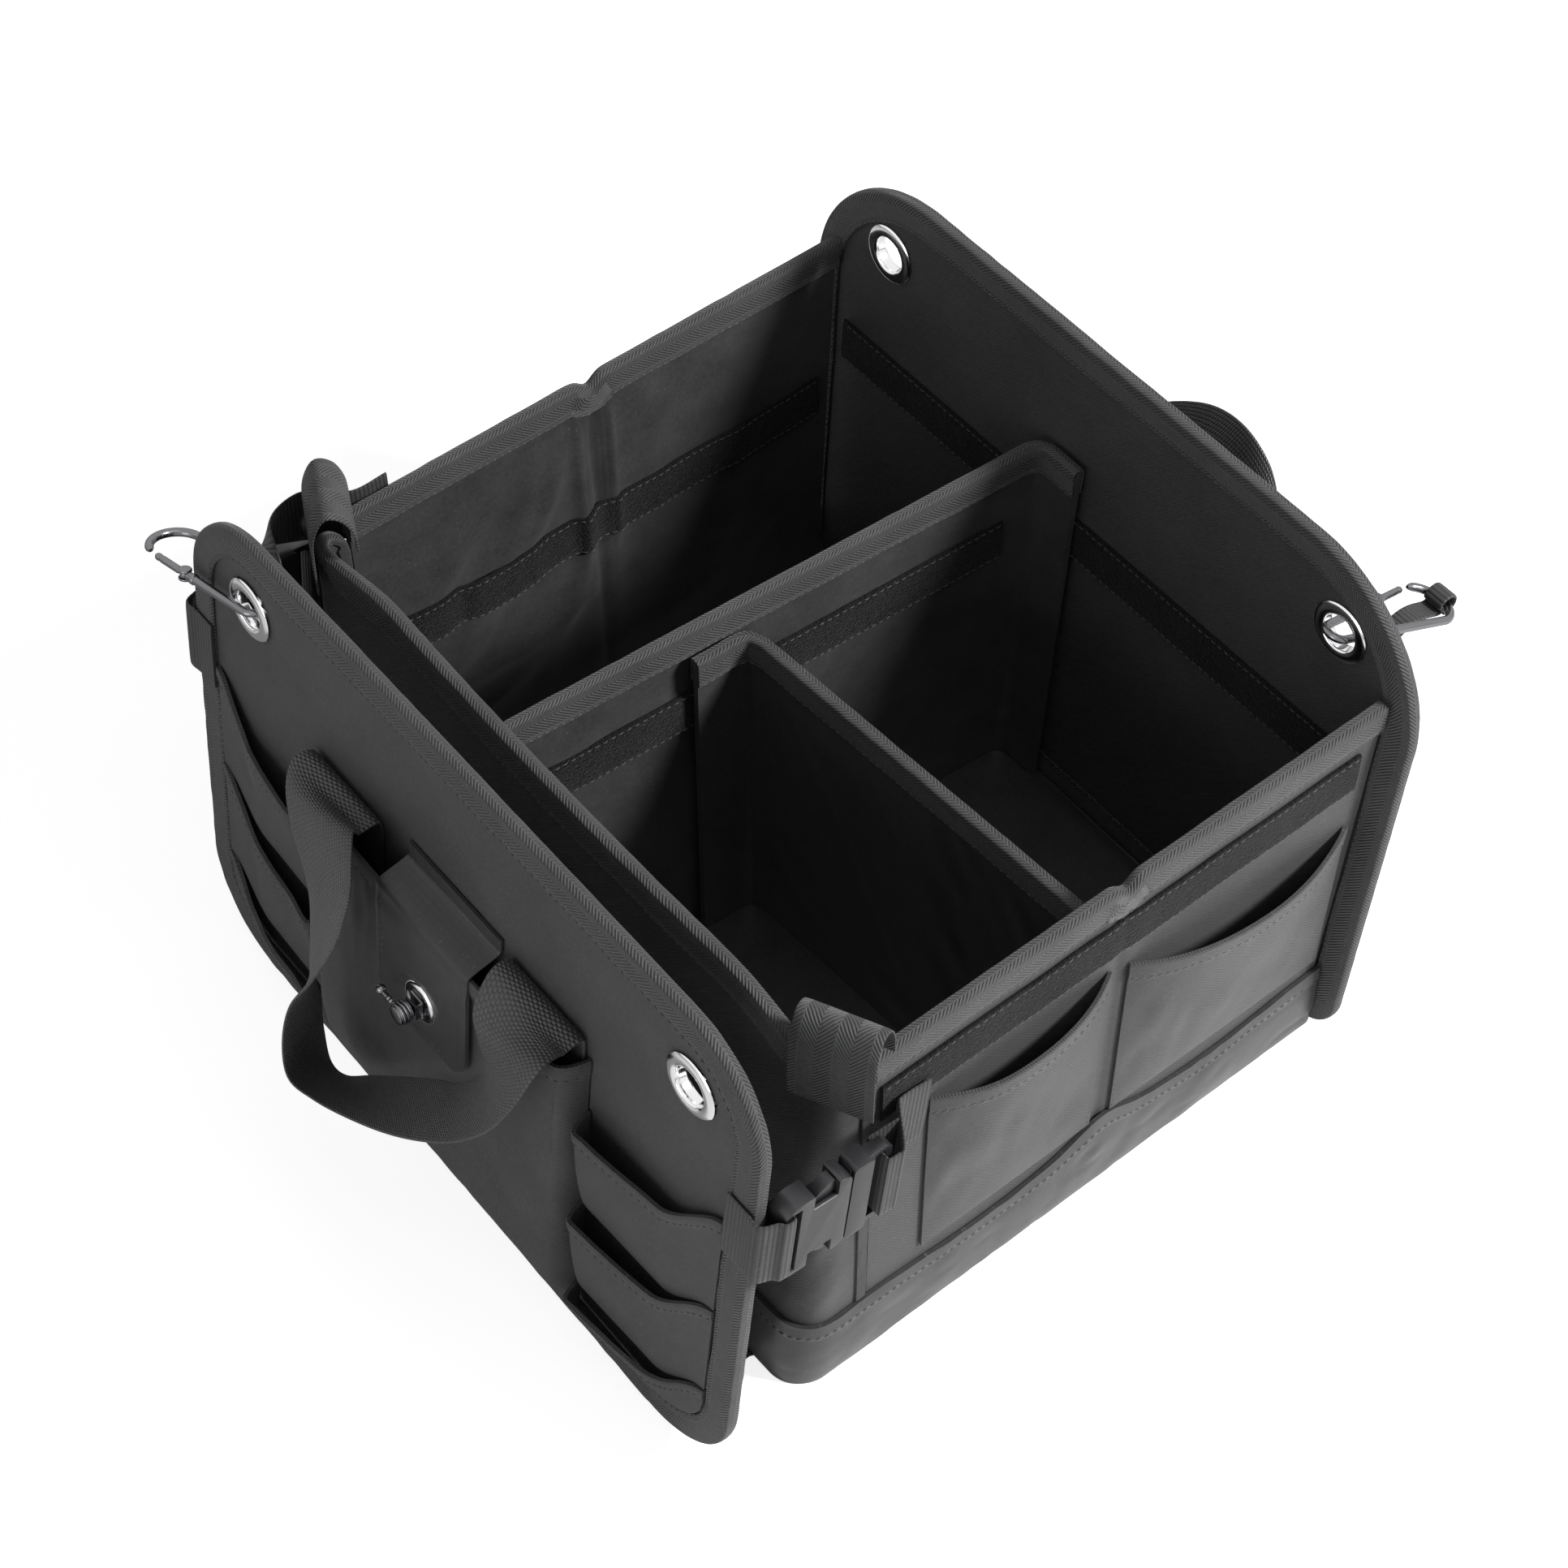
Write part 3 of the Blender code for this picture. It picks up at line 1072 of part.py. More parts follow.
def back_carabiner(back):
    # Its end comes through the back panel's right grommet from behind.
    slant = math.radians(BACK_SLANT)
    way = Vector((0, math.sin(slant), -math.cos(slant)))
    gate_side = Vector((1, 0, 0))
    middle = Vector((-GROMMET_BACK_X, GROMMET_UP, -PANEL_THICKNESS / 2))
    tip = middle + way * (BACK_POKE - ROD / 2)
    frame = carabiner_frame("carabiner_back", back, tip, way, gate_side)
    make_carabiner("carabiner_back", frame)
    # The strap that holds it: sewn to the panel's outer face, looped round the wide end.
    angle, span = carabiner_shape()
    wide = tip - way * (CARABINER_NARROW + span)
    centre = wide - way * CARABINER_WIDE
    ring = ROD / 2 + STRAP / 2 + 0.0023
    centre += way * 0.0005
    up = way.cross(gate_side).normalized()
    if up.y < 0:
        up = -up
    across = tuple(gate_side)
    face = STRAP / 2 + 3 * GAP
    below = centre - up * (ring + 0.002)
    foot, seam, rise = BACK_STRAP_ENDS
    stops = [((-GROMMET_BACK_X, GROMMET_UP - foot, face), across),
             ((-GROMMET_BACK_X, GROMMET_UP - seam, face), across),
             ((-GROMMET_BACK_X, GROMMET_UP - rise, face + 0.003), across),
             (tuple(below + way * 0.024), across)]
    for degrees in (-50, 0, 45, 90, 135, 180, 225, 262):
        turn = math.radians(degrees)
        place = centre + way * math.cos(turn) * ring + up * math.sin(turn) * ring
        stops.append((tuple(place), across))
    ribbon("strap_back_right", back, stops, BACK_STRAP, STRAP, WEB, 2)


# Tabs of herringbone tape that stand across the front corners
def make_tab(name, side):
    turn = math.radians(TAB_TURN)
    across = Vector((math.cos(turn) * side, math.sin(turn), 0))
    out = Vector((math.sin(turn) * side, -math.cos(turn), 0))
    front = -HALF_LENGTH - FRONT_FOOT + FRONT_SLOPE * TAB_FOOT
    radius = min(FRONT_CORNER, FRONT_START - front - SEAM_REACH - 5 * GAP)
    corner = Vector((side * (HALF_WIDTH - radius), front + radius, 0)) + out * radius + across * TAB_SHIFT
    clear = BINDING_REACH + GAP + TAB_THICKNESS / 2 - TAB_PRESS
    shape = ((clear, TAB_FOOT), (clear, WALL_HEIGHT - 0.004), (clear - 0.001, TAB_TOP - 0.014),
             (clear - 0.005, TAB_TOP - 0.003), (-0.008, TAB_TOP), (-0.014, TAB_TOP - 0.004),
             (-0.0175, TAB_TOP - 0.013), (-0.0180, WALL_HEIGHT + 0.005))
    stops = [(tuple(corner + out * n + Vector((0, 0, z))), tuple(across)) for n, z in shape]
    ribbon(name, None, stops, TAB_WIDTH, TAB_THICKNESS, HERRINGBONE, 2)


# Dividers: boards between two cloths, with flanges that hold by hook and loop
def wall_from_plan(name, plan, top, slopes):
    # A standing sheet over a plan; slopes move its points in Y with height at each end.
    rows = 6
    grid, points, normals = [], [], []
    floor = FLOOR + BOARD_THICKNESS + GAP
    for i, (x, y) in enumerate(plan):
        line = []
        for j in range(rows + 1):
            z = floor + (top - floor) * j / rows
            line.append(Vector((x, y + slopes[i] * (z - top), z)))
        grid.append(line)
        points.append(line[-1])
        flat = path_normal_open(plan, i)
        normals.append((line[-1] - line[-2]).cross(Vector((flat.y, -flat.x, 0))).normalized())
    sheet(name, grid, DIVIDER_THICKNESS, WOVEN, offset=0.0)
    edge_binding("binding_" + name, edge_stations(points, normals), DIVIDER_THICKNESS + GAP)


def path_normal_open(plan, index):
    before = Vector(plan[max(index - 1, 0)])
    after = Vector(plan[min(index + 1, len(plan) - 1)])
    along = (after - before).normalized()
    return Vector((-along.y, along.x, 0))


def back_face(z):
    # Y of the back panel's inner face, over its binding.
    return BACK_INNER_Y + z * BACK_SLOPE


def make_dividers():
    half = DIVIDER_THICKNESS / 2
    proud = BINDING_REACH + GAP
    top = LONG_HEIGHT
    front_y = front_face(LONG_X_FRONT, top) + WALL_THICKNESS + proud + half
    back_y = back_face(top) + GAP - STRIP_THICKNESS - proud - half
    bend = 0.0085
    run = (LONG_X_BACK - LONG_X_FRONT) / BOX_LENGTH
    x_front = LONG_X_FRONT + run * (front_y + HALF_LENGTH)
    x_back = LONG_X_FRONT + run * (back_y + HALF_LENGTH)
    plan = [(x_front + DIVIDER_FLANGE, front_y)]
    plan += list(reversed(arc((x_front + bend, front_y + bend), bend, 180, 270, 3)))
    for share in (0.25, 0.5, 0.75):
        plan.append((x_front + (x_back - x_front) * share, front_y + (back_y - front_y) * share))
    plan += arc((x_back + bend, back_y - bend), bend, 180, 90, 3)
    plan.append((x_back + DIVIDER_FLANGE, back_y))
    shares = [min(max((y - front_y) / (back_y - front_y), 0.0), 1.0) for x, y in plan]
    slopes = [FRONT_SLOPE * (1 - share) + BACK_SLOPE * share for share in shares]
    wall_from_plan("long_divider", plan, top, slopes)
    # The strip along its right face, which the cross divider's flange holds to.
    yaw = math.atan(run)
    way = Vector((math.sin(yaw), math.cos(yaw), 0))
    face = Vector((math.cos(yaw), -math.sin(yaw), 0))
    middle_y = (front_y + back_y) / 2
    middle = Vector((LONG_X_FRONT + run * (middle_y + HALF_LENGTH), middle_y, 0))
    frame = frame_at("long_divider_face", middle + face * half, way, Vector((0, 0, 1)))
    reach = (back_y - front_y) / 2 - bend - 0.012
    strip("loop_strip_long_divider", frame, -reach, reach, CROSS_STRIP_TOP, 3 * GAP)

    # The cross divider leaves that face in a bend and ends in a flange on the right wall.
    start = LONG_X_FRONT + run * (CROSS_Y_LEFT - 0.028 + HALF_LENGTH)
    offset = (half + 3 * GAP + STRIP_THICKNESS + proud + half) / math.cos(yaw)
    x_left = start + offset
    x_right = WALL_INSIDE - GAP - STRIP_THICKNESS - proud - half
    cross = [(x_left, CROSS_Y_LEFT - 0.030), (x_left + run * 0.012, CROSS_Y_LEFT - 0.018),
             (x_left + 0.0024, CROSS_Y_LEFT - 0.010), (x_left + 0.0070, CROSS_Y_LEFT - 0.0035),
             (x_left + 0.0140, CROSS_Y_LEFT)]
    for share in (0.33, 0.66):
        cross.append((x_left + 0.014 + (x_right - bend - x_left - 0.014) * share,
                      CROSS_Y_LEFT + (CROSS_Y_RIGHT - CROSS_Y_LEFT) * share))
    cross += arc((x_right - bend, CROSS_Y_RIGHT - bend), bend, 90, 0, 3)
    cross.append((x_right, CROSS_Y_RIGHT - DIVIDER_FLANGE))
    wall_from_plan("cross_divider", cross, CROSS_HEIGHT, [0.0] * len(cross))


def build():
    make_tray()
    make_base_board()
    for name, side in (("left", -1), ("right", 1)):
        make_side(name, side)
        make_tab("corner_tab_" + name, side)
    make_front_wall()
    flap = panel_frame("flap_frame", Vector((0, FLAP_FOOT_Y, PANEL_LIFT)), Vector((0, -1, 0)), FLAP_LEAN)
    make_panel("front_flap", flap, FLAP_RADIUS, FLAP_RADIUS, GROMMET_FLAP_X)
    back_y = BACK_INNER_Y + PANEL_THICKNESS + BINDING_REACH
    back = panel_frame("back_frame", Vector((0, back_y, PANEL_LIFT)), Vector((0, 1, 0)), BACK_LEAN)
    make_panel("back_panel", back, BACK_FOOT_RADIUS, BACK_TOP_RADIUS, GROMMET_BACK_X)
    strip("loop_strip_back", back, -WALL_INSIDE + 0.004, WALL_INSIDE - 0.004, BACK_STRIP_TOP,
          -PANEL_THICKNESS - GAP - STRIP_THICKNESS)
    for side, word in ((-1, "left"), (1, "right")):
        make_grommet("grommet_flap_" + word, flap, side * GROMMET_FLAP_X, GROMMET_UP)
        make_grommet("grommet_back_" + word, back, -side * GROMMET_BACK_X, GROMMET_UP)
        for index, tier in enumerate(TIER_NAMES):
            make_tool_pocket("tool_pocket_" + word + "_" + tier, flap, side, index)
    make_centre_pocket(flap)
    make_tongue(flap)
    make_lock(flap)
    ribbon("handle_front", flap, FRONT_HANDLE, HANDLE_WEBBING, WEBBING, WEB)
    ribbon("handle_back", back, BACK_HANDLE, HANDLE_WEBBING, WEBBING, WEB)
    lower, upper = BACK_POCKET_TOPS
    make_back_pocket("back_pocket_lower", back, FLAP_POCKET_FOOT + BACK_POCKET_SEAM, lower)
    make_back_pocket("back_pocket_upper", back, lower + BACK_POCKET_SEAM, upper)
    for name, side in (("left", -1), ("right", 1)):
        make_buckle(name, side, flap)
    front_carabiner(flap)
    back_carabiner(back)
    make_dividers()


build()
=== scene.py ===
# The looks of a black polyester car trunk organizer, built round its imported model.
# Metres; X from the left wall to the right wall, Y from the front flap to the back panel, Z up.
import math

import bmesh
import bpy
import numpy as np
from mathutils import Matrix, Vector


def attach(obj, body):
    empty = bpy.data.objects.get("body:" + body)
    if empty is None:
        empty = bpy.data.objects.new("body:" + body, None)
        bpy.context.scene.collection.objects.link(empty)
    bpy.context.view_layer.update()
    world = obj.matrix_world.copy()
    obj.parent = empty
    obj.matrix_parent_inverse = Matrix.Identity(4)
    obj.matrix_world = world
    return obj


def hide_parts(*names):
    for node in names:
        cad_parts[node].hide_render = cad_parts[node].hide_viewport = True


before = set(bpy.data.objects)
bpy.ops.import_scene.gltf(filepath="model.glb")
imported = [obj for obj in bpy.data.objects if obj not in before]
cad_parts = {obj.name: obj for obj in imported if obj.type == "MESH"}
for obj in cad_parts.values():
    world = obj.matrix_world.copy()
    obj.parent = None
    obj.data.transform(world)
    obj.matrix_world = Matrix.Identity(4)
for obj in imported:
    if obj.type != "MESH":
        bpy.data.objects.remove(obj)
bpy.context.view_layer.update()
tau = 2 * math.pi
bothSides = (("left", -1), ("right", 1))


# Small numpy helpers
def vec(*values):
    return np.array(values, float)


def unit(v):
    # Each vector divided by its length.
    return v / np.maximum(np.linalg.norm(v, axis=-1, keepdims=True), 1e-12)


def smooth(t):
    # 3t^2 - 2t^3 between 0 and 1.
    t = np.clip(t, 0, 1)
    return t * t * (3 - 2 * t)


def mesh2(u, v):
    # Every pair of the two rows of values, as two grids.
    return np.meshgrid(u, v, indexing="ij")


def hills(u, v, size, seed):
    # Smooth random hills from -1 to 1: random heights on a lattice of that size, blended by smooth steps.
    lattice = np.random.default_rng(seed).uniform(-1, 1, (97, 97))
    x, y = np.mod(u / size + 40.3, 96), np.mod(v / size + 40.7, 96)
    i, j = x.astype(int), y.astype(int)
    s, t = smooth(x - i), smooth(y - j)
    low = lattice[i, j] * (1 - s) + lattice[i + 1, j] * s
    high = lattice[i, j + 1] * (1 - s) + lattice[i + 1, j + 1] * s
    return low * (1 - t) + high * t


def creases(u, v, points, seed=0):
    # Sum of soft folds. Each is (u, v, heading in degrees, length, width, height): a ridge along its heading.
    total = np.zeros(np.broadcast(u, v).shape)
    for cu, cv, heading, length, width, height in points:
        a = math.radians(heading)
        along = (u - cu) * math.cos(a) + (v - cv) * math.sin(a)
        across = -(u - cu) * math.sin(a) + (v - cv) * math.cos(a)
        across = across + 0.12 * length * np.sin(along / length * 2 + seed)
        total += height * np.exp(-(along / length) ** 2) * np.exp(-(across / width) ** 2)
    return total


def lengthsAlong(points):
    # Running length of a line of points.
    step = np.linalg.norm(np.diff(points, axis=0), axis=1)
    return np.concatenate([[0], np.cumsum(step)])


def evenly(points, step):
    # The same line with points at even distances, joined straight.
    run = lengthsAlong(points)
    count = max(int(round(run[-1] / step)), 2)
    at = np.linspace(0, run[-1], count + 1)
    return np.stack([np.interp(at, run, points[:, k]) for k in range(points.shape[1])], 1)


def curveThrough(points, step):
    # A smooth curve through the points: cubic pieces whose slope at a point is half the chord past it.
    p = np.vstack([2 * points[:1] - points[1:2], points, 2 * points[-1:] - points[-2:-1]])
    t = np.linspace(0, 1, 24, endpoint=False)[:, None, None]
    p0, p1, p2, p3 = p[:-3], p[1:-2], p[2:-1], p[3:]
    q = 0.5 * (2 * p1 + (p2 - p0) * t + (2 * p0 - 5 * p1 + 4 * p2 - p3) * t ** 2
               + (3 * p1 - p0 - 3 * p2 + p3) * t ** 3)
    fine = np.vstack([q.transpose(1, 0, 2).reshape(-1, points.shape[1]), points[-1:]])
    return evenly(fine, step)


def gridNormals(grid, ring=False):
    # Cross product of the two directions of a grid of points.
    if ring:
        di = np.roll(grid, -1, 0) - np.roll(grid, 1, 0)
    else:
        di = np.gradient(grid, axis=0)
    return unit(np.cross(di, np.gradient(grid, axis=1)))


def edgeOut(points, normals):
    # The way out at a sheet's upper edge: square to the edge and to the sheet, and upwards.
    outs = unit(np.cross(unit(np.gradient(points, axis=0)), normals))
    return outs * np.sign(outs[:, 2:])


def facingOut(normal, grid, backwards):
    # The normals of an upright wall, turned away from a middle that lies that far towards the front.
    away = grid * (1, 1, 0) + (0, backwards, 0)
    return normal * np.sign((normal * away).sum(2).mean())


# Meshes and pieces
def shellMesh(name, outer, inner, uv, keep=None, ring=False):
    # A closed shell: two grids of points with walls round the border of the cells that are kept.
    n, m = outer.shape[:2]
    rows = n if ring else n - 1
    keep = np.ones((rows, m - 1), bool) if keep is None else keep
    edge = np.pad(keep, ((1, 1), (1, 1)))
    if ring:
        edge[0, 1:-1], edge[-1, 1:-1] = keep[-1], keep[0]
    i, j = np.nonzero(keep)
    i2 = (i + 1) % n
    a, b, c, d = i * m + j, i2 * m + j, i2 * m + j + 1, i * m + j + 1
    size = n * m
    faces = [np.stack([a, b, c, d], 1), np.stack([d, c, b, a], 1) + size]
    corner = {"a": (a, i, j), "b": (b, i + 1, j), "c": (c, i + 1, j + 1), "d": (d, i, j + 1)}
    places = [np.stack([np.stack([i, i + 1, i + 1, i], 1), np.stack([j, j, j + 1, j + 1], 1)], 2)]
    places.append(places[0][:, ::-1])
    open_ = {"ab": ~edge[1:-1, :-2][i, j], "bc": ~edge[2:, 1:-1][i, j],
             "cd": ~edge[1:-1, 2:][i, j], "da": ~edge[:-2, 1:-1][i, j]}
    for pair, mask in open_.items():
        (p, pi, pj), (q, qi, qj) = corner[pair[0]], corner[pair[1]]
        p, q, pi, pj, qi, qj = (x[mask] for x in (p, q, pi, pj, qi, qj))
        faces.append(np.stack([q, p, p + size, q + size], 1))
        places.append(np.stack([np.stack([qi, pi, pi, qi], 1), np.stack([qj, pj, pj, qj], 1)], 2))
    faces, places = np.vstack(faces), np.vstack(places)
    points = np.vstack([outer.reshape(-1, 3), inner.reshape(-1, 3)])
    way = np.cross(points[b] - points[a], points[d] - points[a])
    if ((outer - inner).reshape(-1, 3)[a] * way).sum() < 0:
        faces, places = faces[:, ::-1], places[:, ::-1]
    if ring:
        uv = np.concatenate([uv, uv[-1:] + (uv[-1:] - uv[-2:-1])])
    used, index = np.unique(faces, return_inverse=True)
    mesh = bpy.data.meshes.new(name)
    mesh.from_pydata(points[used].tolist(), [], index.reshape(-1, 4).tolist())
    layer = mesh.uv_layers.new(name="cloth")
    layer.data.foreach_set("uv", uv[places[..., 0], places[..., 1]].astype(np.float32).ravel())
    mesh.shade_smooth()
    mesh.set_sharp_from_angle(angle=math.radians(50))
    return mesh


def piece(name, mesh, material, replaces=(), body="organizer"):
    # A finished piece that rides on its body and stands for its solids.
    item = bpy.data.objects.new(name, mesh)
    bpy.context.scene.collection.objects.link(item)
    mesh.materials.clear()
    mesh.materials.append(material)
    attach(item, body)
    if replaces:
        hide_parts(*replaces)
    return item


stitchLook = {"length": 0.0030, "gap": 0.0011, "radius": 0.00028}


def stitches(name, runs):
    # Thread along each run of (points, normals): short rounded bars whose ends dip into the cloth.
    length, gap, radius = stitchLook["length"], stitchLook["gap"], stitchLook["radius"]
    rings, sides = 4, 4
    ringAt = np.linspace(0, 1, rings)
    turn = np.arange(sides) * tau / sides
    lift = np.sin(np.pi * ringAt) ** 0.5
    parts = []
    for points, normals in runs:
        run = lengthsAlong(points)
        starts = np.arange(gap, run[-1] - length, length + gap)
        if len(starts) == 0:
            continue
        at = starts[:, None] + ringAt[None] * length
        spot = np.stack([np.interp(at, run, points[:, k]) for k in range(3)], -1)
        out = unit(np.stack([np.interp(at, run, normals[:, k]) for k in range(3)], -1))
        along = unit(np.gradient(spot, axis=1))
        side = np.cross(along, out)
        centre = spot + out * (radius * (1.5 * lift - 0.7))[None, :, None]
        round_ = (0.35 + 0.65 * lift)[None, :, None, None] * radius
        ring = (side[:, :, None] * np.cos(turn)[:, None] + out[:, :, None] * np.sin(turn)[:, None]) * round_
        parts.append((centre[:, :, None] + ring).reshape(len(starts), -1, 3))
    points = np.vstack(parts)
    i, j = (x.ravel() for x in mesh2(np.arange(rings - 1), np.arange(sides)))
    k = (j + 1) % sides
    quads = np.stack([i * sides + j, i * sides + k, (i + 1) * sides + k, (i + 1) * sides + j], 1)
    first = (np.arange(len(points)) * rings * sides)[:, None, None]
    quads = (quads[None] + first).reshape(-1, 4)
    caps = np.stack([np.arange(sides)[::-1], np.arange(sides) + (rings - 1) * sides])
    caps = (caps[None] + first).reshape(-1, sides)
    mesh = bpy.data.meshes.new(name)
    mesh.from_pydata(points.reshape(-1, 3).tolist(), [], quads[:, ::-1].tolist() + caps[:, ::-1].tolist())
    mesh.uv_layers.new(name="cloth")
    mesh.shade_smooth()
    piece(name, mesh, thread)


def tapeOver(edge, points, outs, normals, wall, reach, seed, ring=False):
    # Tape folded over an edge: a U carried along the edge, flat legs and a rounded back. Gives its two seams.
    n = len(points)
    run = lengthsAlong(points)
    reach = np.broadcast_to(reach, n) * 1.0
    reach = reach + np.minimum(reach * 0.05, 0.0006) * hills(run, run * 0, 0.021, seed)
    leg = np.array([1, 0.94, 0.8, 0.6, 0.4, 0.2, 0.06])
    bend = np.radians([90, 62, 36, 12, -12, -36, -62, -90])
    flat = np.ones(len(leg))
    half = wall / 2 + tape["gap"]

    def profile(extra):
        across = np.concatenate([flat, np.sin(bend), -flat]) * (half + extra)
        top = np.cos(bend) * (tape["gap"] + extra)
        down = -reach[:, None] * leg[None]
        along = np.concatenate([down, np.broadcast_to(top, (n, len(bend))), down[:, ::-1]], 1)
        puff = 1 + 0.5 * np.sin(np.pi * np.clip(-along / reach[:, None], 0, 1)) * (extra > 0)
        wave = tape["pucker"] * hills(run[:, None], across[None] * 3 + along * 2, 0.007, seed + 3) * (extra > 0)
        across = across[None] * puff ** 0.16 + wave * np.sign(across)[None]
        return (points[:, None] + normals[:, None] * across[..., None] + outs[:, None] * along[..., None])

    outer, inner = profile(tape["thickness"]), profile(0.0)
    v = lengthsAlong(outer[n // 2])
    uv = np.stack(mesh2(run, v - v[-1] / 2), 2)
    name = "binding_" + edge
    piece(name, shellMesh(name, outer, inner, uv, None, ring), herringbone, [name])
    return [(outer[:, k], unit(outer[:, k] - inner[:, k])) for k in (1, -2)]


# Shader groups. A group gives out colours, masks and heights; the shaders stay in the materials.
def newGroup(name, inputs, outputs):
    group = bpy.data.node_groups.new(name, "ShaderNodeTree")
    for label, kind, value in inputs:
        socket = group.interface.new_socket(label, in_out="INPUT", socket_type="NodeSocket" + kind)
        if value is not None:
            socket.default_value = value
    for label, kind in outputs:
        group.interface.new_socket(label, in_out="OUTPUT", socket_type="NodeSocket" + kind)
    return group, group.nodes.new("NodeGroupInput").outputs, group.nodes.new("NodeGroupOutput").inputs


def calc(tree, operation, *values):
    # One Math node; a value is a number or a socket.
    node = tree.nodes.new("ShaderNodeMath")
    node.operation = operation
    for socket, value in zip(node.inputs, values):
        if isinstance(value, (int, float)):
            socket.default_value = value
        else:
            tree.links.new(value, socket)
    return node.outputs[0]


def noise(tree, vector, scale, detail=2.0):
    # Smooth noise from 0 to 1; a larger scale is a finer noise.
    node = tree.nodes.new("ShaderNodeTexNoise")
    node.inputs["Scale"].default_value = scale
    node.inputs["Detail"].default_value = detail
    tree.links.new(vector, node.inputs["Vector"])
    return node.outputs["Fac"]


def blendColour(tree, share, dark, light):
    # Dark where the share is 0, light where it is 1.
    node = tree.nodes.new("ShaderNodeMix")
    node.data_type = "RGBA"
    tree.links.new(share, node.inputs["Factor"])
    tree.links.new(dark, node.inputs["A"])
    tree.links.new(light, node.inputs["B"])
    return node.outputs["Result"]


def wave(tree, value, pitch):
    # 0 to 1 and back once in each pitch.
    turns = calc(tree, "DIVIDE", value, pitch)
    return calc(tree, "MULTIPLY_ADD", calc(tree, "SINE", calc(tree, "MULTIPLY", turns, tau)), 0.5, 0.5)


def split(tree, vector):
    # The first two coordinates of a vector.
    node = tree.nodes.new("ShaderNodeSeparateXYZ")
    tree.links.new(vector, node.inputs[0])
    return node.outputs["X"], node.outputs["Y"]


lintSize = 0.0011


def weaveShadeAndLint(tree, ins, outs, height):
    # Colour from the height of the weave, painted lighter on the raised threads and darker in the hollows between
    # them (painted highlight and painted shade), with slow blotches and a few specks of lint.
    slow = noise(tree, ins["Cloth"], 26.0, 3.0)
    fine = noise(tree, ins["Cloth"], 420.0, 2.0)
    # Painted highlight and shade: the weave's height, times Contrast, carries the colour from Dark to Light.
    share = calc(tree, "MULTIPLY", height, ins["Contrast"])
    share = calc(tree, "ADD", share, calc(tree, "MULTIPLY", calc(tree, "SUBTRACT", slow, 0.5), 0.9))
    share = calc(tree, "ADD", share, calc(tree, "MULTIPLY", calc(tree, "SUBTRACT", fine, 0.5), 0.7))
    share = calc(tree, "MINIMUM", calc(tree, "MAXIMUM", share, 0.0), 1.0)
    base = blendColour(tree, share, ins["Dark"], ins["Light"])
    speck = noise(tree, ins["Cloth"], 1 / lintSize, 0.0)
    speck = calc(tree, "MULTIPLY", calc(tree, "GREATER_THAN", speck, 0.80), ins["Lint"])
    white = tree.nodes.new("ShaderNodeRGB")
    white.outputs[0].default_value = (0.25, 0.25, 0.25, 1)
    tree.links.new(blendColour(tree, speck, base, white.outputs[0]), outs["Colour"])
    tree.links.new(height, outs["Height"])


# Dark is the painted shade in the weave's hollows and Light the painted highlight on its threads; Contrast sets how
# strongly the height is painted.
clothInputs = [("Cloth", "Vector", None), ("Pitch", "Float", 0.0012), ("Dark", "Color", (0.02, 0.02, 0.021, 1)),
               ("Light", "Color", (0.045, 0.045, 0.047, 1)), ("Contrast", "Float", 0.5), ("Lint", "Float", 0.3)]
clothOutputs = [("Colour", "Color"), ("Height", "Float")]


def twillGroup():
    # Diagonal ridges, broken by the threads that cross them.
    tree, ins, outs = newGroup("twillWeave", clothInputs, clothOutputs)
    u, v = split(tree, ins["Cloth"])
    ridge = wave(tree, calc(tree, "ADD", u, v), ins["Pitch"])
    threads = wave(tree, calc(tree, "SUBTRACT", u, calc(tree, "MULTIPLY", v, 0.4)),
                   calc(tree, "MULTIPLY", ins["Pitch"], 0.52))
    height = calc(tree, "ADD", calc(tree, "MULTIPLY", ridge, 0.72), calc(tree, "MULTIPLY", threads, 0.28))
    weaveShadeAndLint(tree, ins, outs, height)
    return tree


def chevronGroup():
    # Ridges that turn back at every column, as in herringbone tape.
    tree, ins, outs = newGroup("herringboneWeave", clothInputs + [("Column", "Float", 0.0072)], clothOutputs)
    u, v = split(tree, ins["Cloth"])
    zigzag = calc(tree, "PINGPONG", calc(tree, "ADD", v, 0.0001), ins["Column"])
    ridge = wave(tree, calc(tree, "ADD", u, calc(tree, "MULTIPLY", zigzag, 1.15)), ins["Pitch"])
    spine = calc(tree, "PINGPONG", calc(tree, "ADD", v, 0.0001), ins["Column"])
    middle = calc(tree, "SUBTRACT", 1.0, calc(tree, "MINIMUM", calc(tree, "DIVIDE", spine, 0.0006), 1.0))
    height = calc(tree, "MAXIMUM", ridge, calc(tree, "MULTIPLY", middle, 0.8))
    weaveShadeAndLint(tree, ins, outs, height)
    return tree


def webbingGroup():
    # Rows of long beads, each row half a bead further on; the bead tops are painted light as a glint and the gaps
    # painted dark (painted highlight and painted shade).
    tree, ins, outs = newGroup("webbingWeave", clothInputs + [("Row", "Float", 0.0021)], clothOutputs)
    u, v = split(tree, ins["Cloth"])
    rows = calc(tree, "DIVIDE", v, ins["Row"])
    odd = calc(tree, "MULTIPLY", calc(tree, "FLOOR", rows), 0.5)
    beads = calc(tree, "FRACT", calc(tree, "ADD", calc(tree, "DIVIDE", u, ins["Pitch"]), odd))
    across = calc(tree, "SINE", calc(tree, "MULTIPLY", calc(tree, "FRACT", rows), math.pi))
    along = calc(tree, "SINE", calc(tree, "MULTIPLY", beads, math.pi))
    height = calc(tree, "MULTIPLY", calc(tree, "POWER", across, 0.6), calc(tree, "POWER", along, 0.8))
    weaveShadeAndLint(tree, ins, outs, height)
    return tree


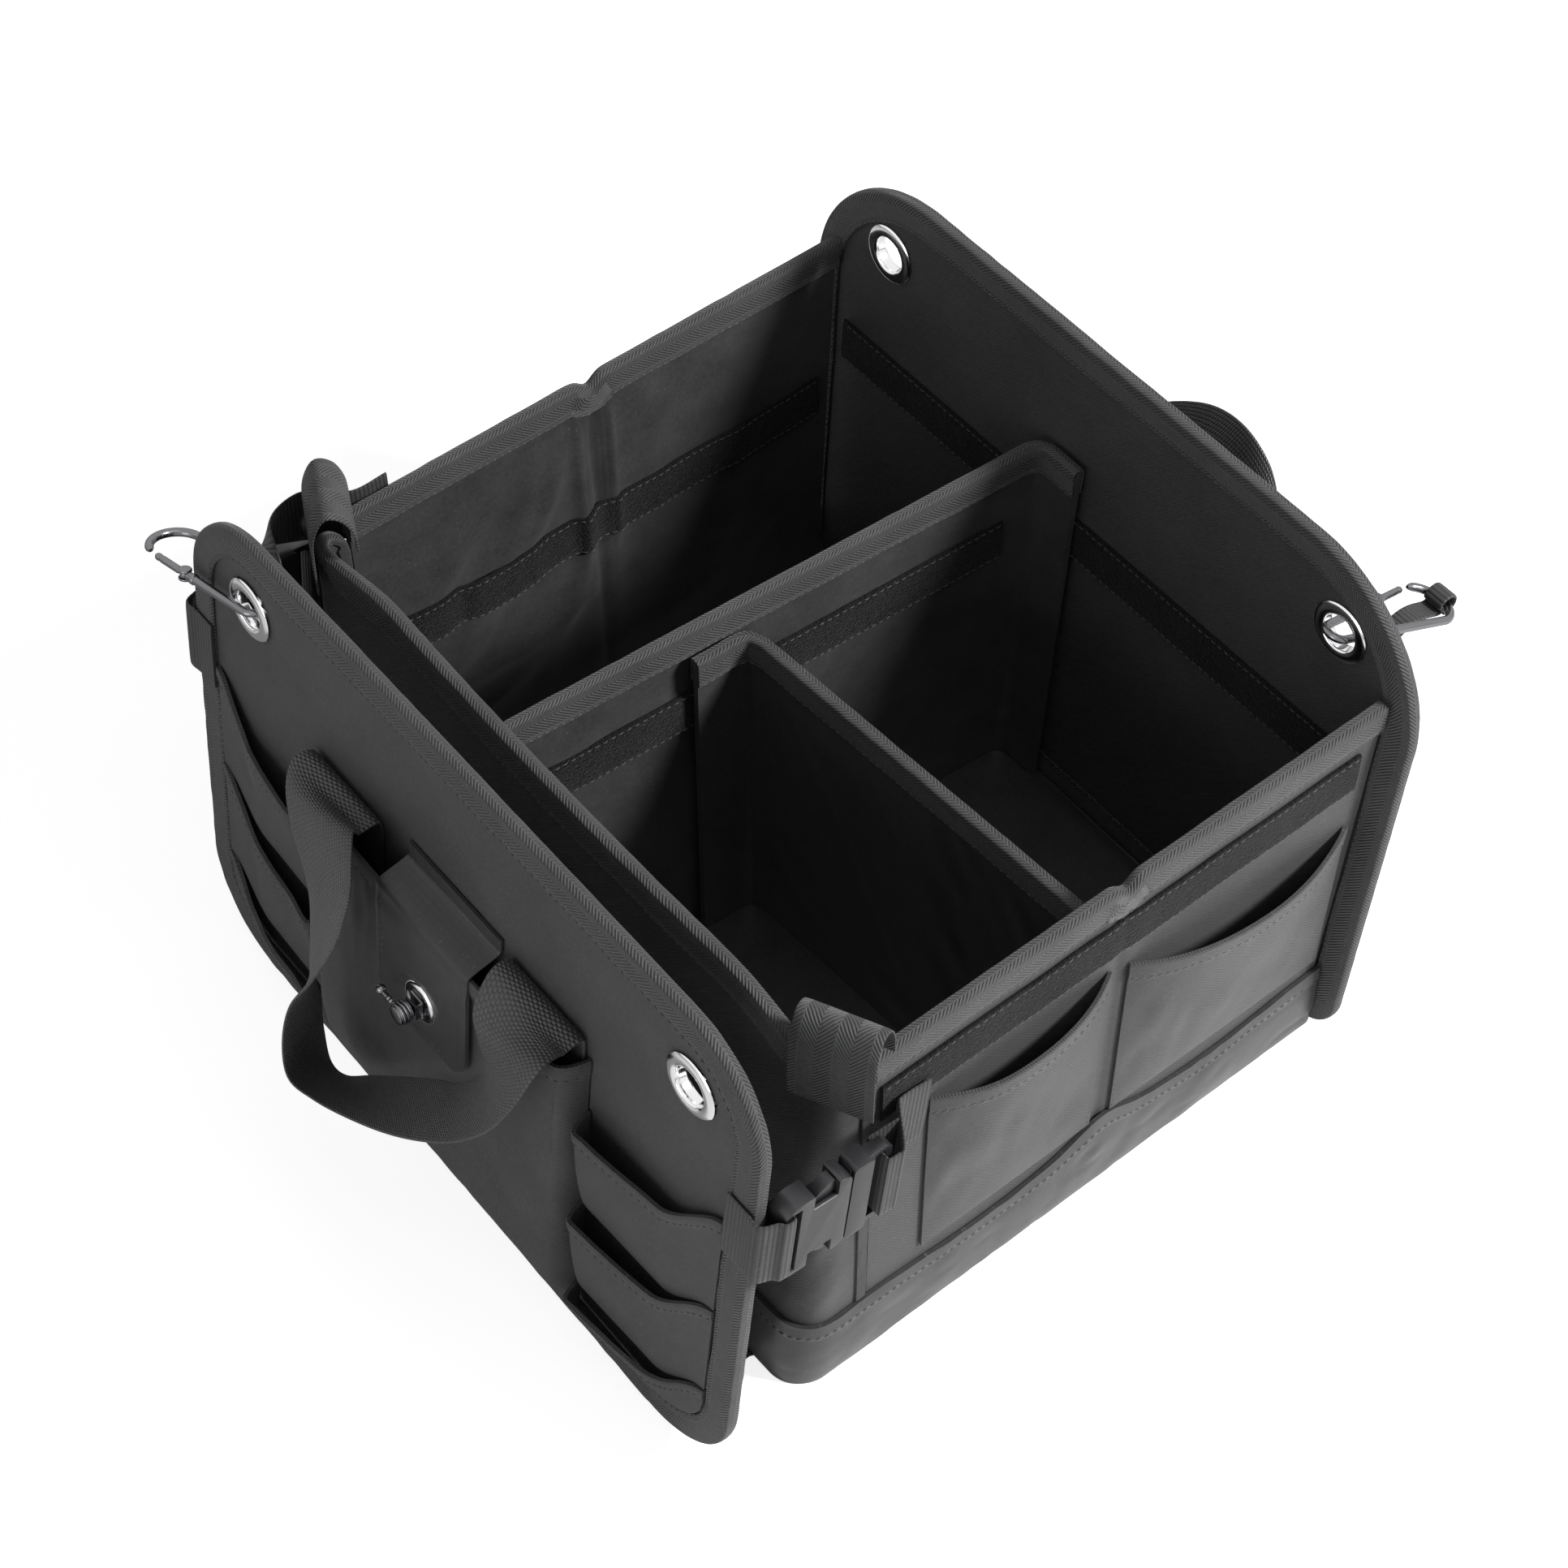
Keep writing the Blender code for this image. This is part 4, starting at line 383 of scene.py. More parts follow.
def ribGroup():
    # Round ribs straight across the strap, with fine threads in them.
    tree, ins, outs = newGroup("grosgrainWeave", clothInputs, clothOutputs)
    u, v = split(tree, ins["Cloth"])
    rib = calc(tree, "ABSOLUTE", calc(tree, "SINE", calc(tree, "MULTIPLY", calc(tree, "DIVIDE", u, ins["Pitch"]),
                                                       math.pi)))
    thread = wave(tree, v, calc(tree, "MULTIPLY", ins["Pitch"], 0.36))
    height = calc(tree, "ADD", calc(tree, "MULTIPLY", rib, 0.85), calc(tree, "MULTIPLY", thread, 0.15))
    weaveShadeAndLint(tree, ins, outs, height)
    return tree


def plainGroup():
    # Fine threads over and under each other, almost hidden by a coating.
    tree, ins, outs = newGroup("coatedWeave", clothInputs, clothOutputs)
    u, v = split(tree, ins["Cloth"])
    threads = calc(tree, "MULTIPLY", wave(tree, u, ins["Pitch"]), wave(tree, v, ins["Pitch"]))
    soft = noise(tree, ins["Cloth"], 70.0, 2.0)
    height = calc(tree, "ADD", calc(tree, "MULTIPLY", threads, 0.35), calc(tree, "MULTIPLY", soft, 0.65))
    weaveShadeAndLint(tree, ins, outs, height)
    return tree


def pileGroup():
    # Tangled loops: cells of two sizes with noise between them.
    tree, ins, outs = newGroup("loopPile", clothInputs, clothOutputs)
    cells = tree.nodes.new("ShaderNodeTexVoronoi")
    cells.inputs["Scale"].default_value = 900.0
    tree.links.new(ins["Cloth"], cells.inputs["Vector"])
    tuft = calc(tree, "SUBTRACT", 1.0, cells.outputs["Distance"])
    height = calc(tree, "ADD", calc(tree, "MULTIPLY", tuft, 0.6),
                  calc(tree, "MULTIPLY", noise(tree, ins["Cloth"], 1500.0, 4.0), 0.6))
    weaveShadeAndLint(tree, ins, outs, height)
    return tree


def scuffGroup():
    # Fine grain and slow marks for metal and plastic: a roughness and a height.
    tree, ins, outs = newGroup("handledSurface", [("Place", "Vector", None), ("Smooth", "Float", 0.15),
                                                  ("Rough", "Float", 0.3), ("Grain", "Float", 3000.0)],
                               [("Roughness", "Float"), ("Height", "Float")])
    marks = noise(tree, ins["Place"], 180.0, 5.0)
    grain = tree.nodes.new("ShaderNodeTexNoise")
    tree.links.new(ins["Place"], grain.inputs["Vector"])
    tree.links.new(ins["Grain"], grain.inputs["Scale"])
    spread = calc(tree, "SUBTRACT", ins["Rough"], ins["Smooth"])
    tree.links.new(calc(tree, "MULTIPLY_ADD", marks, spread, ins["Smooth"]), outs["Roughness"])
    tree.links.new(grain.outputs["Fac"], outs["Height"])
    return tree


groups = {"twill": twillGroup(), "chevron": chevronGroup(), "webbing": webbingGroup(), "rib": ribGroup(),
          "coated": plainGroup(), "pile": pileGroup(), "scuff": scuffGroup()}


def fabric(name, kind, look):
    # A cloth finish: the weave group on the piece's own cloth map, with sheen on top.
    material = bpy.data.materials.new(name)
    material.use_nodes = True
    tree = material.node_tree
    shader = tree.nodes["Principled BSDF"]
    weave = tree.nodes.new("ShaderNodeGroup")
    weave.node_tree = groups[kind]
    cut = tree.nodes.new("ShaderNodeUVMap")
    cut.uv_map = "cloth"
    turn = tree.nodes.new("ShaderNodeMapping")
    turn.inputs["Rotation"].default_value = (0, 0, math.radians(look.get("turn", 0)))
    tree.links.new(cut.outputs[0], turn.inputs["Vector"])
    tree.links.new(turn.outputs[0], weave.inputs["Cloth"])
    for label in ("Pitch", "Contrast", "Lint", "Column", "Row"):
        if label.lower() in look:
            weave.inputs[label].default_value = look[label.lower()]
    weave.inputs["Dark"].default_value = (*look["dark"], 1)
    weave.inputs["Light"].default_value = (*look["light"], 1)
    tree.links.new(weave.outputs["Colour"], shader.inputs["Base Color"])
    bump = tree.nodes.new("ShaderNodeBump")
    bump.inputs["Distance"].default_value = look["relief"]
    bump.inputs["Strength"].default_value = look.get("strength", 0.8)
    tree.links.new(weave.outputs["Height"], bump.inputs["Height"])
    tree.links.new(bump.outputs["Normal"], shader.inputs["Normal"])
    shader.inputs["Roughness"].default_value = look["roughness"]
    shader.inputs["Specular IOR Level"].default_value = look.get("shine", 0.4)
    shader.inputs["Sheen Weight"].default_value = look.get("sheen", 0.2)
    shader.inputs["Sheen Roughness"].default_value = 0.45
    return material


def hard(name, look):
    # A metal or moulded finish on the piece's own coordinates.
    material = bpy.data.materials.new(name)
    material.use_nodes = True
    tree = material.node_tree
    shader = tree.nodes["Principled BSDF"]
    scuff = tree.nodes.new("ShaderNodeGroup")
    scuff.node_tree = groups["scuff"]
    place = tree.nodes.new("ShaderNodeTexCoord")
    tree.links.new(place.outputs["Object"], scuff.inputs["Place"])
    for label in ("Smooth", "Rough", "Grain"):
        scuff.inputs[label].default_value = look[label.lower()]
    bump = tree.nodes.new("ShaderNodeBump")
    bump.inputs["Distance"].default_value = look["relief"]
    tree.links.new(scuff.outputs["Height"], bump.inputs["Height"])
    tree.links.new(bump.outputs["Normal"], shader.inputs["Normal"])
    tree.links.new(scuff.outputs["Roughness"], shader.inputs["Roughness"])
    shader.inputs["Base Color"].default_value = (*look["colour"], 1)
    shader.inputs["Metallic"].default_value = look["metal"]
    shader.inputs["Specular IOR Level"].default_value = look.get("shine", 0.5)
    return material


# dark and light are the painted shade in each weave's hollows and the painted highlight on its threads; contrast is
# how strongly its height is painted.
wovenLook = {"pitch": 0.0013, "dark": (0.011, 0.011, 0.012), "light": (0.060, 0.060, 0.062), "contrast": 1.05,
             "lint": 0.30, "relief": 0.00020, "roughness": 0.60, "shine": 0.45, "sheen": 0.14}
woven = fabric("wovenPolyester", "twill", wovenLook)
lining = fabric("liningPolyester", "coated", {**wovenLook, "pitch": 0.0007, "relief": 0.00010, "roughness": 0.34,
                                             "shine": 0.6, "dark": (0.026, 0.026, 0.027),
                                             "light": (0.068, 0.068, 0.070)})
coated = fabric("coatedPolyester", "coated", {**wovenLook, "pitch": 0.0008, "relief": 0.00012, "roughness": 0.40,
                                             "dark": (0.024, 0.024, 0.025), "light": (0.050, 0.050, 0.052)})
herringbone = fabric("herringboneTape", "chevron", {**wovenLook, "pitch": 0.0020, "relief": 0.00040,
                                                   "dark": (0.009, 0.009, 0.010), "light": (0.074, 0.074, 0.076),
                                                   "contrast": 1.15, "roughness": 0.66})
# Painted glint on every bead and painted shade between them: a near-black dark and a strong contrast.
webbing = fabric("handleWebbing", "webbing", {**wovenLook, "pitch": 0.0019, "row": 0.0021, "relief": 0.0005,
                                             "dark": (0.003, 0.003, 0.003), "light": (0.070, 0.070, 0.072),
                                             "contrast": 1.4, "roughness": 0.46, "shine": 0.6})
ribbed = fabric("strapWebbing", "rib", {**wovenLook, "pitch": 0.0021, "relief": 0.0004,
                                       "dark": (0.010, 0.010, 0.010), "light": (0.050, 0.050, 0.052),
                                       "contrast": 0.8})
pile = fabric("loopTape", "pile", {**wovenLook, "relief": 0.0009, "strength": 1.0, "roughness": 0.9, "shine": 0.15,
                                  "dark": (0.001, 0.001, 0.001), "light": (0.022, 0.022, 0.023),
                                  "contrast": 0.55, "sheen": 0.08})
# Painted highlight: the black thread is given a lighter grey than the cloth, standing for the light it catches along
# the seams.
thread = fabric("sewingThread", "rib", {**wovenLook, "pitch": 0.0006, "relief": 0.00004, "sheen": 0.3,
                                       "dark": (0.030, 0.030, 0.031), "light": (0.090, 0.090, 0.092)})
chrome = hard("brightPlating", {"colour": (0.86, 0.86, 0.87), "metal": 1.0, "smooth": 0.08, "rough": 0.20,
                                "grain": 2500.0, "relief": 0.000004})
gunmetal = hard("darkPlating", {"colour": (0.20, 0.20, 0.21), "metal": 1.0, "smooth": 0.16, "rough": 0.34,
                                "grain": 2500.0, "relief": 0.000006})
plastic = hard("mouldedPlastic", {"colour": (0.022, 0.022, 0.024), "metal": 0.0, "smooth": 0.28, "rough": 0.42,
                                  "grain": 2600.0, "relief": 0.00002, "shine": 0.5})
print("materials made")


# Where the two big panels stand: X across, Y up the panel and Z out of its outer face
class Panel:
    def __init__(self, origin, x, y, z):
        self.origin, self.x, self.y, self.z = vec(*origin), vec(*x), vec(*y), vec(*z)

    def at(self, x, y, z):
        # Panel coordinates to the row frame.
        x, y, z = np.broadcast_arrays(x, y, z)
        return self.origin + x[..., None] * self.x + y[..., None] * self.y + z[..., None] * self.z

    def local(self, points):
        # The row frame to panel coordinates.
        away = points - self.origin
        return np.stack([away @ self.x, away @ self.y, away @ self.z], -1)


flapPanel = Panel((0, -0.2205, 0.001961), (1, 0, 0), (0, 0.102793, 0.994703), (0, -0.994703, 0.102793))
backPanel = Panel((0, 0.14155, 0.001961), (-1, 0, 0), (0, 0.047107, 0.99889), (0, 0.99889, -0.047107))

# Tape that binds the edges
tape = {"thickness": 0.0008, "gap": 0.0003, "width": 0.014, "pucker": 0.00018}


def roundedLine(left, right, foot, top, footRadius, topRadius, step):
    # A closed outline with round corners, counter-clockwise, and the way out at each point.
    corners = [(right - footRadius, foot + footRadius, footRadius, -90),
               (right - topRadius, top - topRadius, topRadius, 0),
               (left + topRadius, top - topRadius, topRadius, 90),
               (left + footRadius, foot + footRadius, footRadius, 180)]
    points, outs = [], []
    for cx, cy, radius, start in corners:
        a = np.radians(np.linspace(start, start + 90, max(int(radius * math.pi / 2 / step), 6)))
        way = np.stack([np.cos(a), np.sin(a)], 1)
        points.append(vec(cx, cy) + radius * way)
        outs.append(way)
    points, outs = np.vstack(points + [points[0][:1]]), np.vstack(outs + [outs[0][:1]])
    run = lengthsAlong(points)
    at = np.linspace(0, run[-1], int(run[-1] / step), endpoint=False)
    line = np.stack([np.interp(at, run, points[:, k]) for k in (0, 1)], 1)
    return line, unit(np.stack([np.interp(at, run, outs[:, k]) for k in (0, 1)], 1))


def insideBy(x, y, half, foot, top, footRadius, topRadius):
    # How far a point lies inside such an outline.
    radius = np.where(y > (foot + top) / 2, topRadius, footRadius)
    qx = np.abs(x) - (half - radius)
    qy = np.abs(y - (foot + top) / 2) - ((top - foot) / 2 - radius)
    return radius - np.hypot(np.maximum(qx, 0), np.maximum(qy, 0)) - np.minimum(np.maximum(qx, qy), 0)


panelLook = {"width": 0.388, "height": 0.277, "thickness": 0.004, "step": 0.0036, "grommetUp": 0.237}
flapLook = {**panelLook, "footRadius": 0.048, "topRadius": 0.048, "grommetX": 0.150}
backLook = {**panelLook, "footRadius": 0.020, "topRadius": 0.074, "grommetX": 0.145}
seams = {"flap": [], "back": [], "box": [], "dividers": [], "pockets": []}


def makePanel(name, panel, look, seed, seamSet):
    # Boarded cloth: a flat shell with soft hollows, cut to the outline and holed for its grommets.
    edge = tape["gap"] * 1.5 + tape["thickness"]
    half, top = look["width"] / 2 - edge, look["height"] - edge
    x, y = mesh2(np.arange(-half + 0.001, half, look["step"]), np.arange(0.001, top, look["step"]))
    fromHole = [np.hypot(x - s * look["grommetX"], y - look["grommetUp"]) for s in (-1, 1)]
    inside = insideBy(x, y, half, 0, top, look["footRadius"], look["topRadius"]) > 0.0008
    inside &= np.minimum(*fromHole) > 0.0112
    keep = inside[:-1, :-1] & inside[1:, :-1] & inside[1:, 1:] & inside[:-1, 1:]
    hollow = 0.0007 * (0.5 + 0.5 * hills(x, y, 0.075, seed))
    ring = sum(np.exp(-((far - 0.016) / 0.004) ** 2) for far in fromHole)
    outer = panel.at(x, y, -hollow - 0.0004 * ring)
    inner = panel.at(x, y, hollow * 0.6 - look["thickness"] + 0.0003 * ring)
    uv = np.stack([x, y], 2)
    piece(name, shellMesh(name, outer, inner, uv, keep), woven, [name])
    line, outs = roundedLine(-half, half, 0.0, top, look["footRadius"], look["topRadius"], 0.0034)
    flat = np.zeros(len(line))
    points = panel.at(line[:, 0], line[:, 1], flat - look["thickness"] / 2)
    ways = outs[:, :1] * panel.x + outs[:, 1:] * panel.y
    normals = np.broadcast_to(panel.z, points.shape)
    seamSet.extend(tapeOver(name, points, ways, normals, look["thickness"], tape["width"], seed, ring=True))


makePanel("front_flap", flapPanel, flapLook, 11, seams["flap"])
makePanel("back_panel", backPanel, backLook, 12, seams["back"])
print("panels made")


# Grommets: a crimped ring turned about its own axis
grommetLook = {"hole": 0.0088, "radius": 0.0148, "flange": 0.0012, "sides": 64}


def turned(profile, sides, centre, x, y, z):
    # A closed profile of (radius, height) carried round the axis z.
    a = np.arange(sides) * tau / sides
    way = np.cos(a)[:, None, None] * x + np.sin(a)[:, None, None] * y
    return centre + way * profile[None, :, :1] + z * profile[None, :, 1:]


def closedTube(name, grid, smoothAngle):
    # A grid of points that closes on itself in both directions.
    n, m = grid.shape[:2]
    i, j = (k.ravel() for k in mesh2(np.arange(n), np.arange(m)))
    i2, j2 = (i + 1) % n, (j + 1) % m
    faces = np.stack([i * m + j, i2 * m + j, i2 * m + j2, i * m + j2], 1)
    mesh = bpy.data.meshes.new(name)
    mesh.from_pydata(grid.reshape(-1, 3).tolist(), [], faces.tolist())
    return finished(mesh, smoothAngle)


def finished(mesh, smoothAngle=50):
    # Smooth shading with sharp corners kept, and a cloth map so that every piece has one.
    if signedVolume(mesh) < 0:
        mesh.flip_normals()
    if not mesh.uv_layers:
        mesh.uv_layers.new(name="cloth")
    mesh.shade_smooth()
    mesh.set_sharp_from_angle(angle=math.radians(smoothAngle))
    return mesh


def signedVolume(mesh):
    # Sum over the triangles of a . (b x c) / 6: below zero where the faces look inwards.
    mesh.calc_loop_triangles()
    co = np.empty(len(mesh.vertices) * 3, np.float32)
    mesh.vertices.foreach_get("co", co)
    index = np.empty(len(mesh.loop_triangles) * 3, np.int32)
    mesh.loop_triangles.foreach_get("vertices", index)
    p = co.reshape(-1, 3).astype(float)[index.reshape(-1, 3)]
    return np.einsum("ij,ij->i", p[:, 0], np.cross(p[:, 1], p[:, 2])).sum() / 6


def makeGrommet(name, panel, x, y):
    # Rolled flange on both faces, given as shares of its width and height.
    look = grommetLook
    half = panelLook["thickness"] / 2 + tape["gap"]
    share = np.array([(0, -0.3), (0.03, 0.35), (0.12, 0.78), (0.26, 0.97), (0.42, 1.0), (0.62, 0.93), (0.80, 0.74),
                      (0.93, 0.42), (1.0, 0.08)])
    front = np.stack([look["hole"] + share[:, 0] * (look["radius"] - look["hole"]),
                      half + share[:, 1] * look["flange"]], 1)
    under = np.array([(look["radius"] - 0.0006, half), (look["hole"] + 0.0008, half), (look["hole"] + 0.0008, -half),
                      (look["radius"] - 0.0006, -half)])
    line = np.vstack([front, under, (front * (1, -1))[::-1]])
    centre = panel.at(np.float64(x), np.float64(y), np.float64(-panelLook["thickness"] / 2))
    grid = turned(line, look["sides"], centre, panel.x, panel.y, panel.z)
    piece(name, closedTube(name, grid, 60), chrome, [name])


for word, side in bothSides:
    makeGrommet("grommet_flap_" + word, flapPanel, side * flapLook["grommetX"], flapLook["grommetUp"])
    makeGrommet("grommet_back_" + word, backPanel, -side * backLook["grommetX"], backLook["grommetUp"])
print("grommets made")


# The box: its walls, tray and board
boxLook = {"halfWidth": 0.180, "halfLength": 0.136, "height": 0.228, "thickness": 0.004, "front": -0.131,
           "backSlope": math.tan(math.radians(2.7)), "notch": 0.005, "floor": 0.0015}
edgeReach = tape["gap"] * 1.5 + tape["thickness"]


def wallTop(y):
    # Height of a side wall's edge: level, with a dip at the crease it folds on.
    dip = np.exp(-(y / 0.0048) ** 2)
    return boxLook["height"] - edgeReach - boxLook["notch"] * dip


foldLook = {"half": 0.0068, "foot": 0.118}


def creaseDepth(y):
    # The groove down the middle of a side wall, and a swelling beside it.
    return 0.0012 * np.exp(-(y / 0.0030) ** 2) - 0.0004 * np.exp(-((np.abs(y) - 0.009) / 0.004) ** 2)


wallFolds = {
    -1: [(-0.060, 0.150, 62, 0.060, 0.007, 0.0035), (-0.035, 0.170, 68, 0.055, 0.006, 0.0030),
         (-0.090, 0.160, 58, 0.045, 0.008, 0.0030), (-0.016, 0.120, 80, 0.060, 0.006, 0.0022),
         (-0.075, 0.060, 20, 0.050, 0.009, 0.0030), (-0.050, 0.085, 12, 0.050, 0.007, 0.0022),
         (-0.100, 0.090, 35, 0.040, 0.008, 0.0026), (0.030, 0.180, 100, 0.040, 0.008, 0.0014),
         (0.070, 0.090, 75, 0.050, 0.010, 0.0016), (0.050, 0.050, 15, 0.050, 0.009, 0.0014)],
    1: [(-0.060, 0.120, 75, 0.060, 0.010, 0.0012), (0.060, 0.110, 100, 0.060, 0.010, 0.0012),
        (0.020, 0.070, 30, 0.050, 0.010, 0.0012)]}


def liningSwell(side, y, z):
    # How far the loose lining stands in from the board, nothing at the seams.
    swell = np.clip(creases(y, z, wallFolds[side], 1.3), 0, None) + 0.0006 * (1 + hills(y, z, 0.030, 20 + side))
    rim = smooth((wallTop(y) - 0.012 - z) / 0.02) * smooth((z - 0.008) / 0.02)
    ends = smooth((y + 0.122) / 0.02) * smooth((0.130 - y) / 0.02)
    pleat = 0.0022 * np.exp(-((y + 0.0100) / 0.0030) ** 2) + 0.0015 * np.exp(-((y - 0.0095) / 0.0026) ** 2)
    pleat = pleat * (1 + 0.3 * hills(y * 4, z, 0.012, 33)) * smooth((z - 0.10) / 0.03)
    pleat += 0.0005 * hills(y * 9, z * 0.35, 0.012, 35) * np.exp(-(y / 0.007) ** 4) * smooth((z - 0.10) / 0.03)
    return (swell * ends * (1 - 0.9 * np.exp(-(y / 0.004) ** 2)) + pleat) * rim


def lineInside(mesh, side):
    # Satin on the faces that look into the box, and a duller, darker gusset along the fold between the two boards;
    # its darker colour also paints the shade of the groove there.
    middles, ways = np.empty(len(mesh.polygons) * 3), np.empty(len(mesh.polygons) * 3)
    mesh.polygons.foreach_get("center", middles)
    mesh.polygons.foreach_get("normal", ways)
    middles, inward = middles.reshape(-1, 3), ways.reshape(-1, 3)[:, 0] * side < -0.3
    # Partly painted shade: the gusset faces get the darker coated cloth, which also stands for the groove's shadow.
    shadedGusset = inward & (np.abs(middles[:, 1]) < foldLook["half"]) & (middles[:, 2] > foldLook["foot"])
    mesh.materials.append(lining)
    mesh.materials.append(coated)
    mesh.polygons.foreach_set("material_index", (inward * 1 + shadedGusset * 1).astype(np.int32))


def makeSideWall(name, side):
    # Outer cloth over the board and the looser lining inside; rows follow the height at each place.
    back = boxLook["halfLength"]
    columns = [np.arange(boxLook["front"], back, 0.003), np.arange(-0.012, 0.012, 0.001)]
    y0 = np.unique(np.round(np.concatenate(columns), 5))
    y, share = mesh2(y0, np.linspace(0, 1, 68))
    z = boxLook["floor"] + (wallTop(y) - boxLook["floor"]) * share
    y = np.where(y > 0.10, y + (y - 0.10) / (back - 0.10) * z * boxLook["backSlope"], y)
    x = side * boxLook["halfWidth"]
    outX = x - side * (creaseDepth(y) + 0.0002 * (1 + hills(y, z, 0.05, 5)))
    inX = x - side * (boxLook["thickness"] - creaseDepth(y) + liningSwell(side, y, z))
    outer, inner = np.stack([outX, y, z], 2), np.stack([inX, y, z], 2)
    mesh = shellMesh(name, outer, inner, np.stack([y, z], 2))
    piece(name, mesh, woven, [name])
    lineInside(mesh, side)
    line = np.concatenate([np.arange(boxLook["front"], back + 0.0085, 0.0015)])
    points = np.stack([line * 0 + x - side * boxLook["thickness"] / 2, line, wallTop(line)], 1)
    normals = np.broadcast_to(vec(side, 0, 0), points.shape)
    seams["box"].extend(tapeOver(name, points, edgeOut(points, normals), normals, boxLook["thickness"], tape["width"],
                                 30 + side))


stripLook = {"width": 0.024, "thickness": 0.0016, "outerTop": 0.2063, "innerTop": 0.148, "backTop": 0.178,
             "crossTop": 0.177}


def makeStrip(place, middle, up, normal, seed):
    # Loop tape along a line: flat, with a ragged pile that is deeper in the middle than at its selvedges.
    name, width = "loop_strip_" + place, stripLook["width"]
    across = np.concatenate([[-1, -0.985, -0.95], np.linspace(-0.88, 0.88, 9), [0.95, 0.985, 1]])
    run = lengthsAlong(middle)
    u, s = mesh2(run, across)
    ragged = 1 + 0.012 * hills(u, s * 0, 0.004, seed) * (np.abs(s) > 0.9)
    base = middle[:, None] + up[:, None] * (s * ragged * width / 2)[..., None]
    high = stripLook["thickness"] * (0.55 + 0.45 * np.sqrt(np.clip(1 - np.abs(s) ** 8, 0, 1)))
    high = high + 0.0001 * hills(u, s * width / 2, 0.003, seed + 1)
    outer = base + normal[:, None] * high[..., None]
    uv = np.stack([u, s * width / 2], 2)
    piece(name, shellMesh(name, outer, base, uv), pile, [name])
    return [(outer[:, k] + normal * 0.0001, normal) for k in (3, -4)]


def makeWallStrips(name, side):
    # One strip outside and one inside, each bending with the groove of the wall.
    gap = tape["gap"]
    y = np.arange(boxLook["front"] + 0.003, boxLook["halfLength"] - 0.004, 0.0015)
    up = np.broadcast_to(vec(0, 0, 1), (len(y), 3))
    out = np.broadcast_to(vec(side, 0, 0), (len(y), 3))
    z = y * 0 + stripLook["outerTop"] - stripLook["width"] / 2 + 0.0004 * hills(y, y * 0, 0.02, 9)
    dip = creaseDepth(y)
    middle = np.stack([side * (boxLook["halfWidth"] + gap - dip * 0.4), y, z], 1)
    seams["box"].extend(makeStrip(name + "_outer", middle, up, out, 41 + side))
    z = y * 0 + stripLook["innerTop"] - stripLook["width"] / 2 - 0.0008 + 0.0008 * hills(y, y * 0, 0.03, 12 + side)
    swell = np.max([liningSwell(side, y, z + k) for k in np.linspace(-0.011, 0.011, 9)], 0)
    x = side * (boxLook["halfWidth"] - boxLook["thickness"] - gap - np.maximum(swell, 0) - 0.0002 + dip * 0.4)
    middle = np.stack([x, y, z], 1)
    seams["box"].extend(makeStrip(name + "_inner", middle, up, -out, 51 + side))


for word, side in bothSides:
    makeSideWall("wall_" + word, side)
    makeWallStrips(word, side)
print("side walls made")

frontLook = {"foot": 0.034, "lean": 0.021, "height": 0.237, "bow": 0.004, "corner": 0.016, "round": 0.0155,
             "drop": 0.013, "thickness": 0.004, "seamReach": 0.0048, "cornerReach": 0.0027}
frontStart = boxLook["front"] - tape["gap"] - edgeReach
trayLook = {"cloth": 0.0012, "height": 0.046, "sag": 0.005, "rise": 0.009}


def frontPlan(z, outset=0.0):
    # Plan of the front wall at each height: straight side, round corner, bowed front, and back again.
    z = np.asarray(z, float)[..., None]
    side = boxLook["halfWidth"] + outset
    front = -boxLook["halfLength"] - frontLook["foot"] + frontLook["lean"] / frontLook["height"] * z - outset
    radius = np.minimum(frontLook["corner"], frontStart - front - frontLook["seamReach"] - 5 * tape["gap"])
    straight = np.linspace(0, 1, 9)[:-1]
    sx, sy = side + 0 * z * straight, frontStart + (front + radius - frontStart) * straight
    turn = np.radians(np.linspace(0, -90, 19))
    cx, cy = side - radius + radius * np.cos(turn), front + radius + radius * np.sin(turn)
    middle = np.linspace(1, -1, 113)[1:-1]
    mx = (side - radius) * middle
    span = boxLook["halfWidth"] - frontLook["corner"]
    my = front - frontLook["bow"] * np.cos(np.pi / 2 * np.minimum(np.abs(mx) / span, 1.0))
    x = np.concatenate([sx, cx, mx, -cx[..., ::-1], -sx[..., ::-1]], -1)
    y = np.concatenate([sy, cy, my, cy[..., ::-1], sy[..., ::-1]], -1)
    return x, y


def frontTop(x):
    # Height of the front wall: level in the middle, eased down towards both ends.
    share = smooth((np.abs(x) - 0.110) / (boxLook["halfWidth"] - 0.110))
    return frontLook["height"] - frontLook["drop"] * share


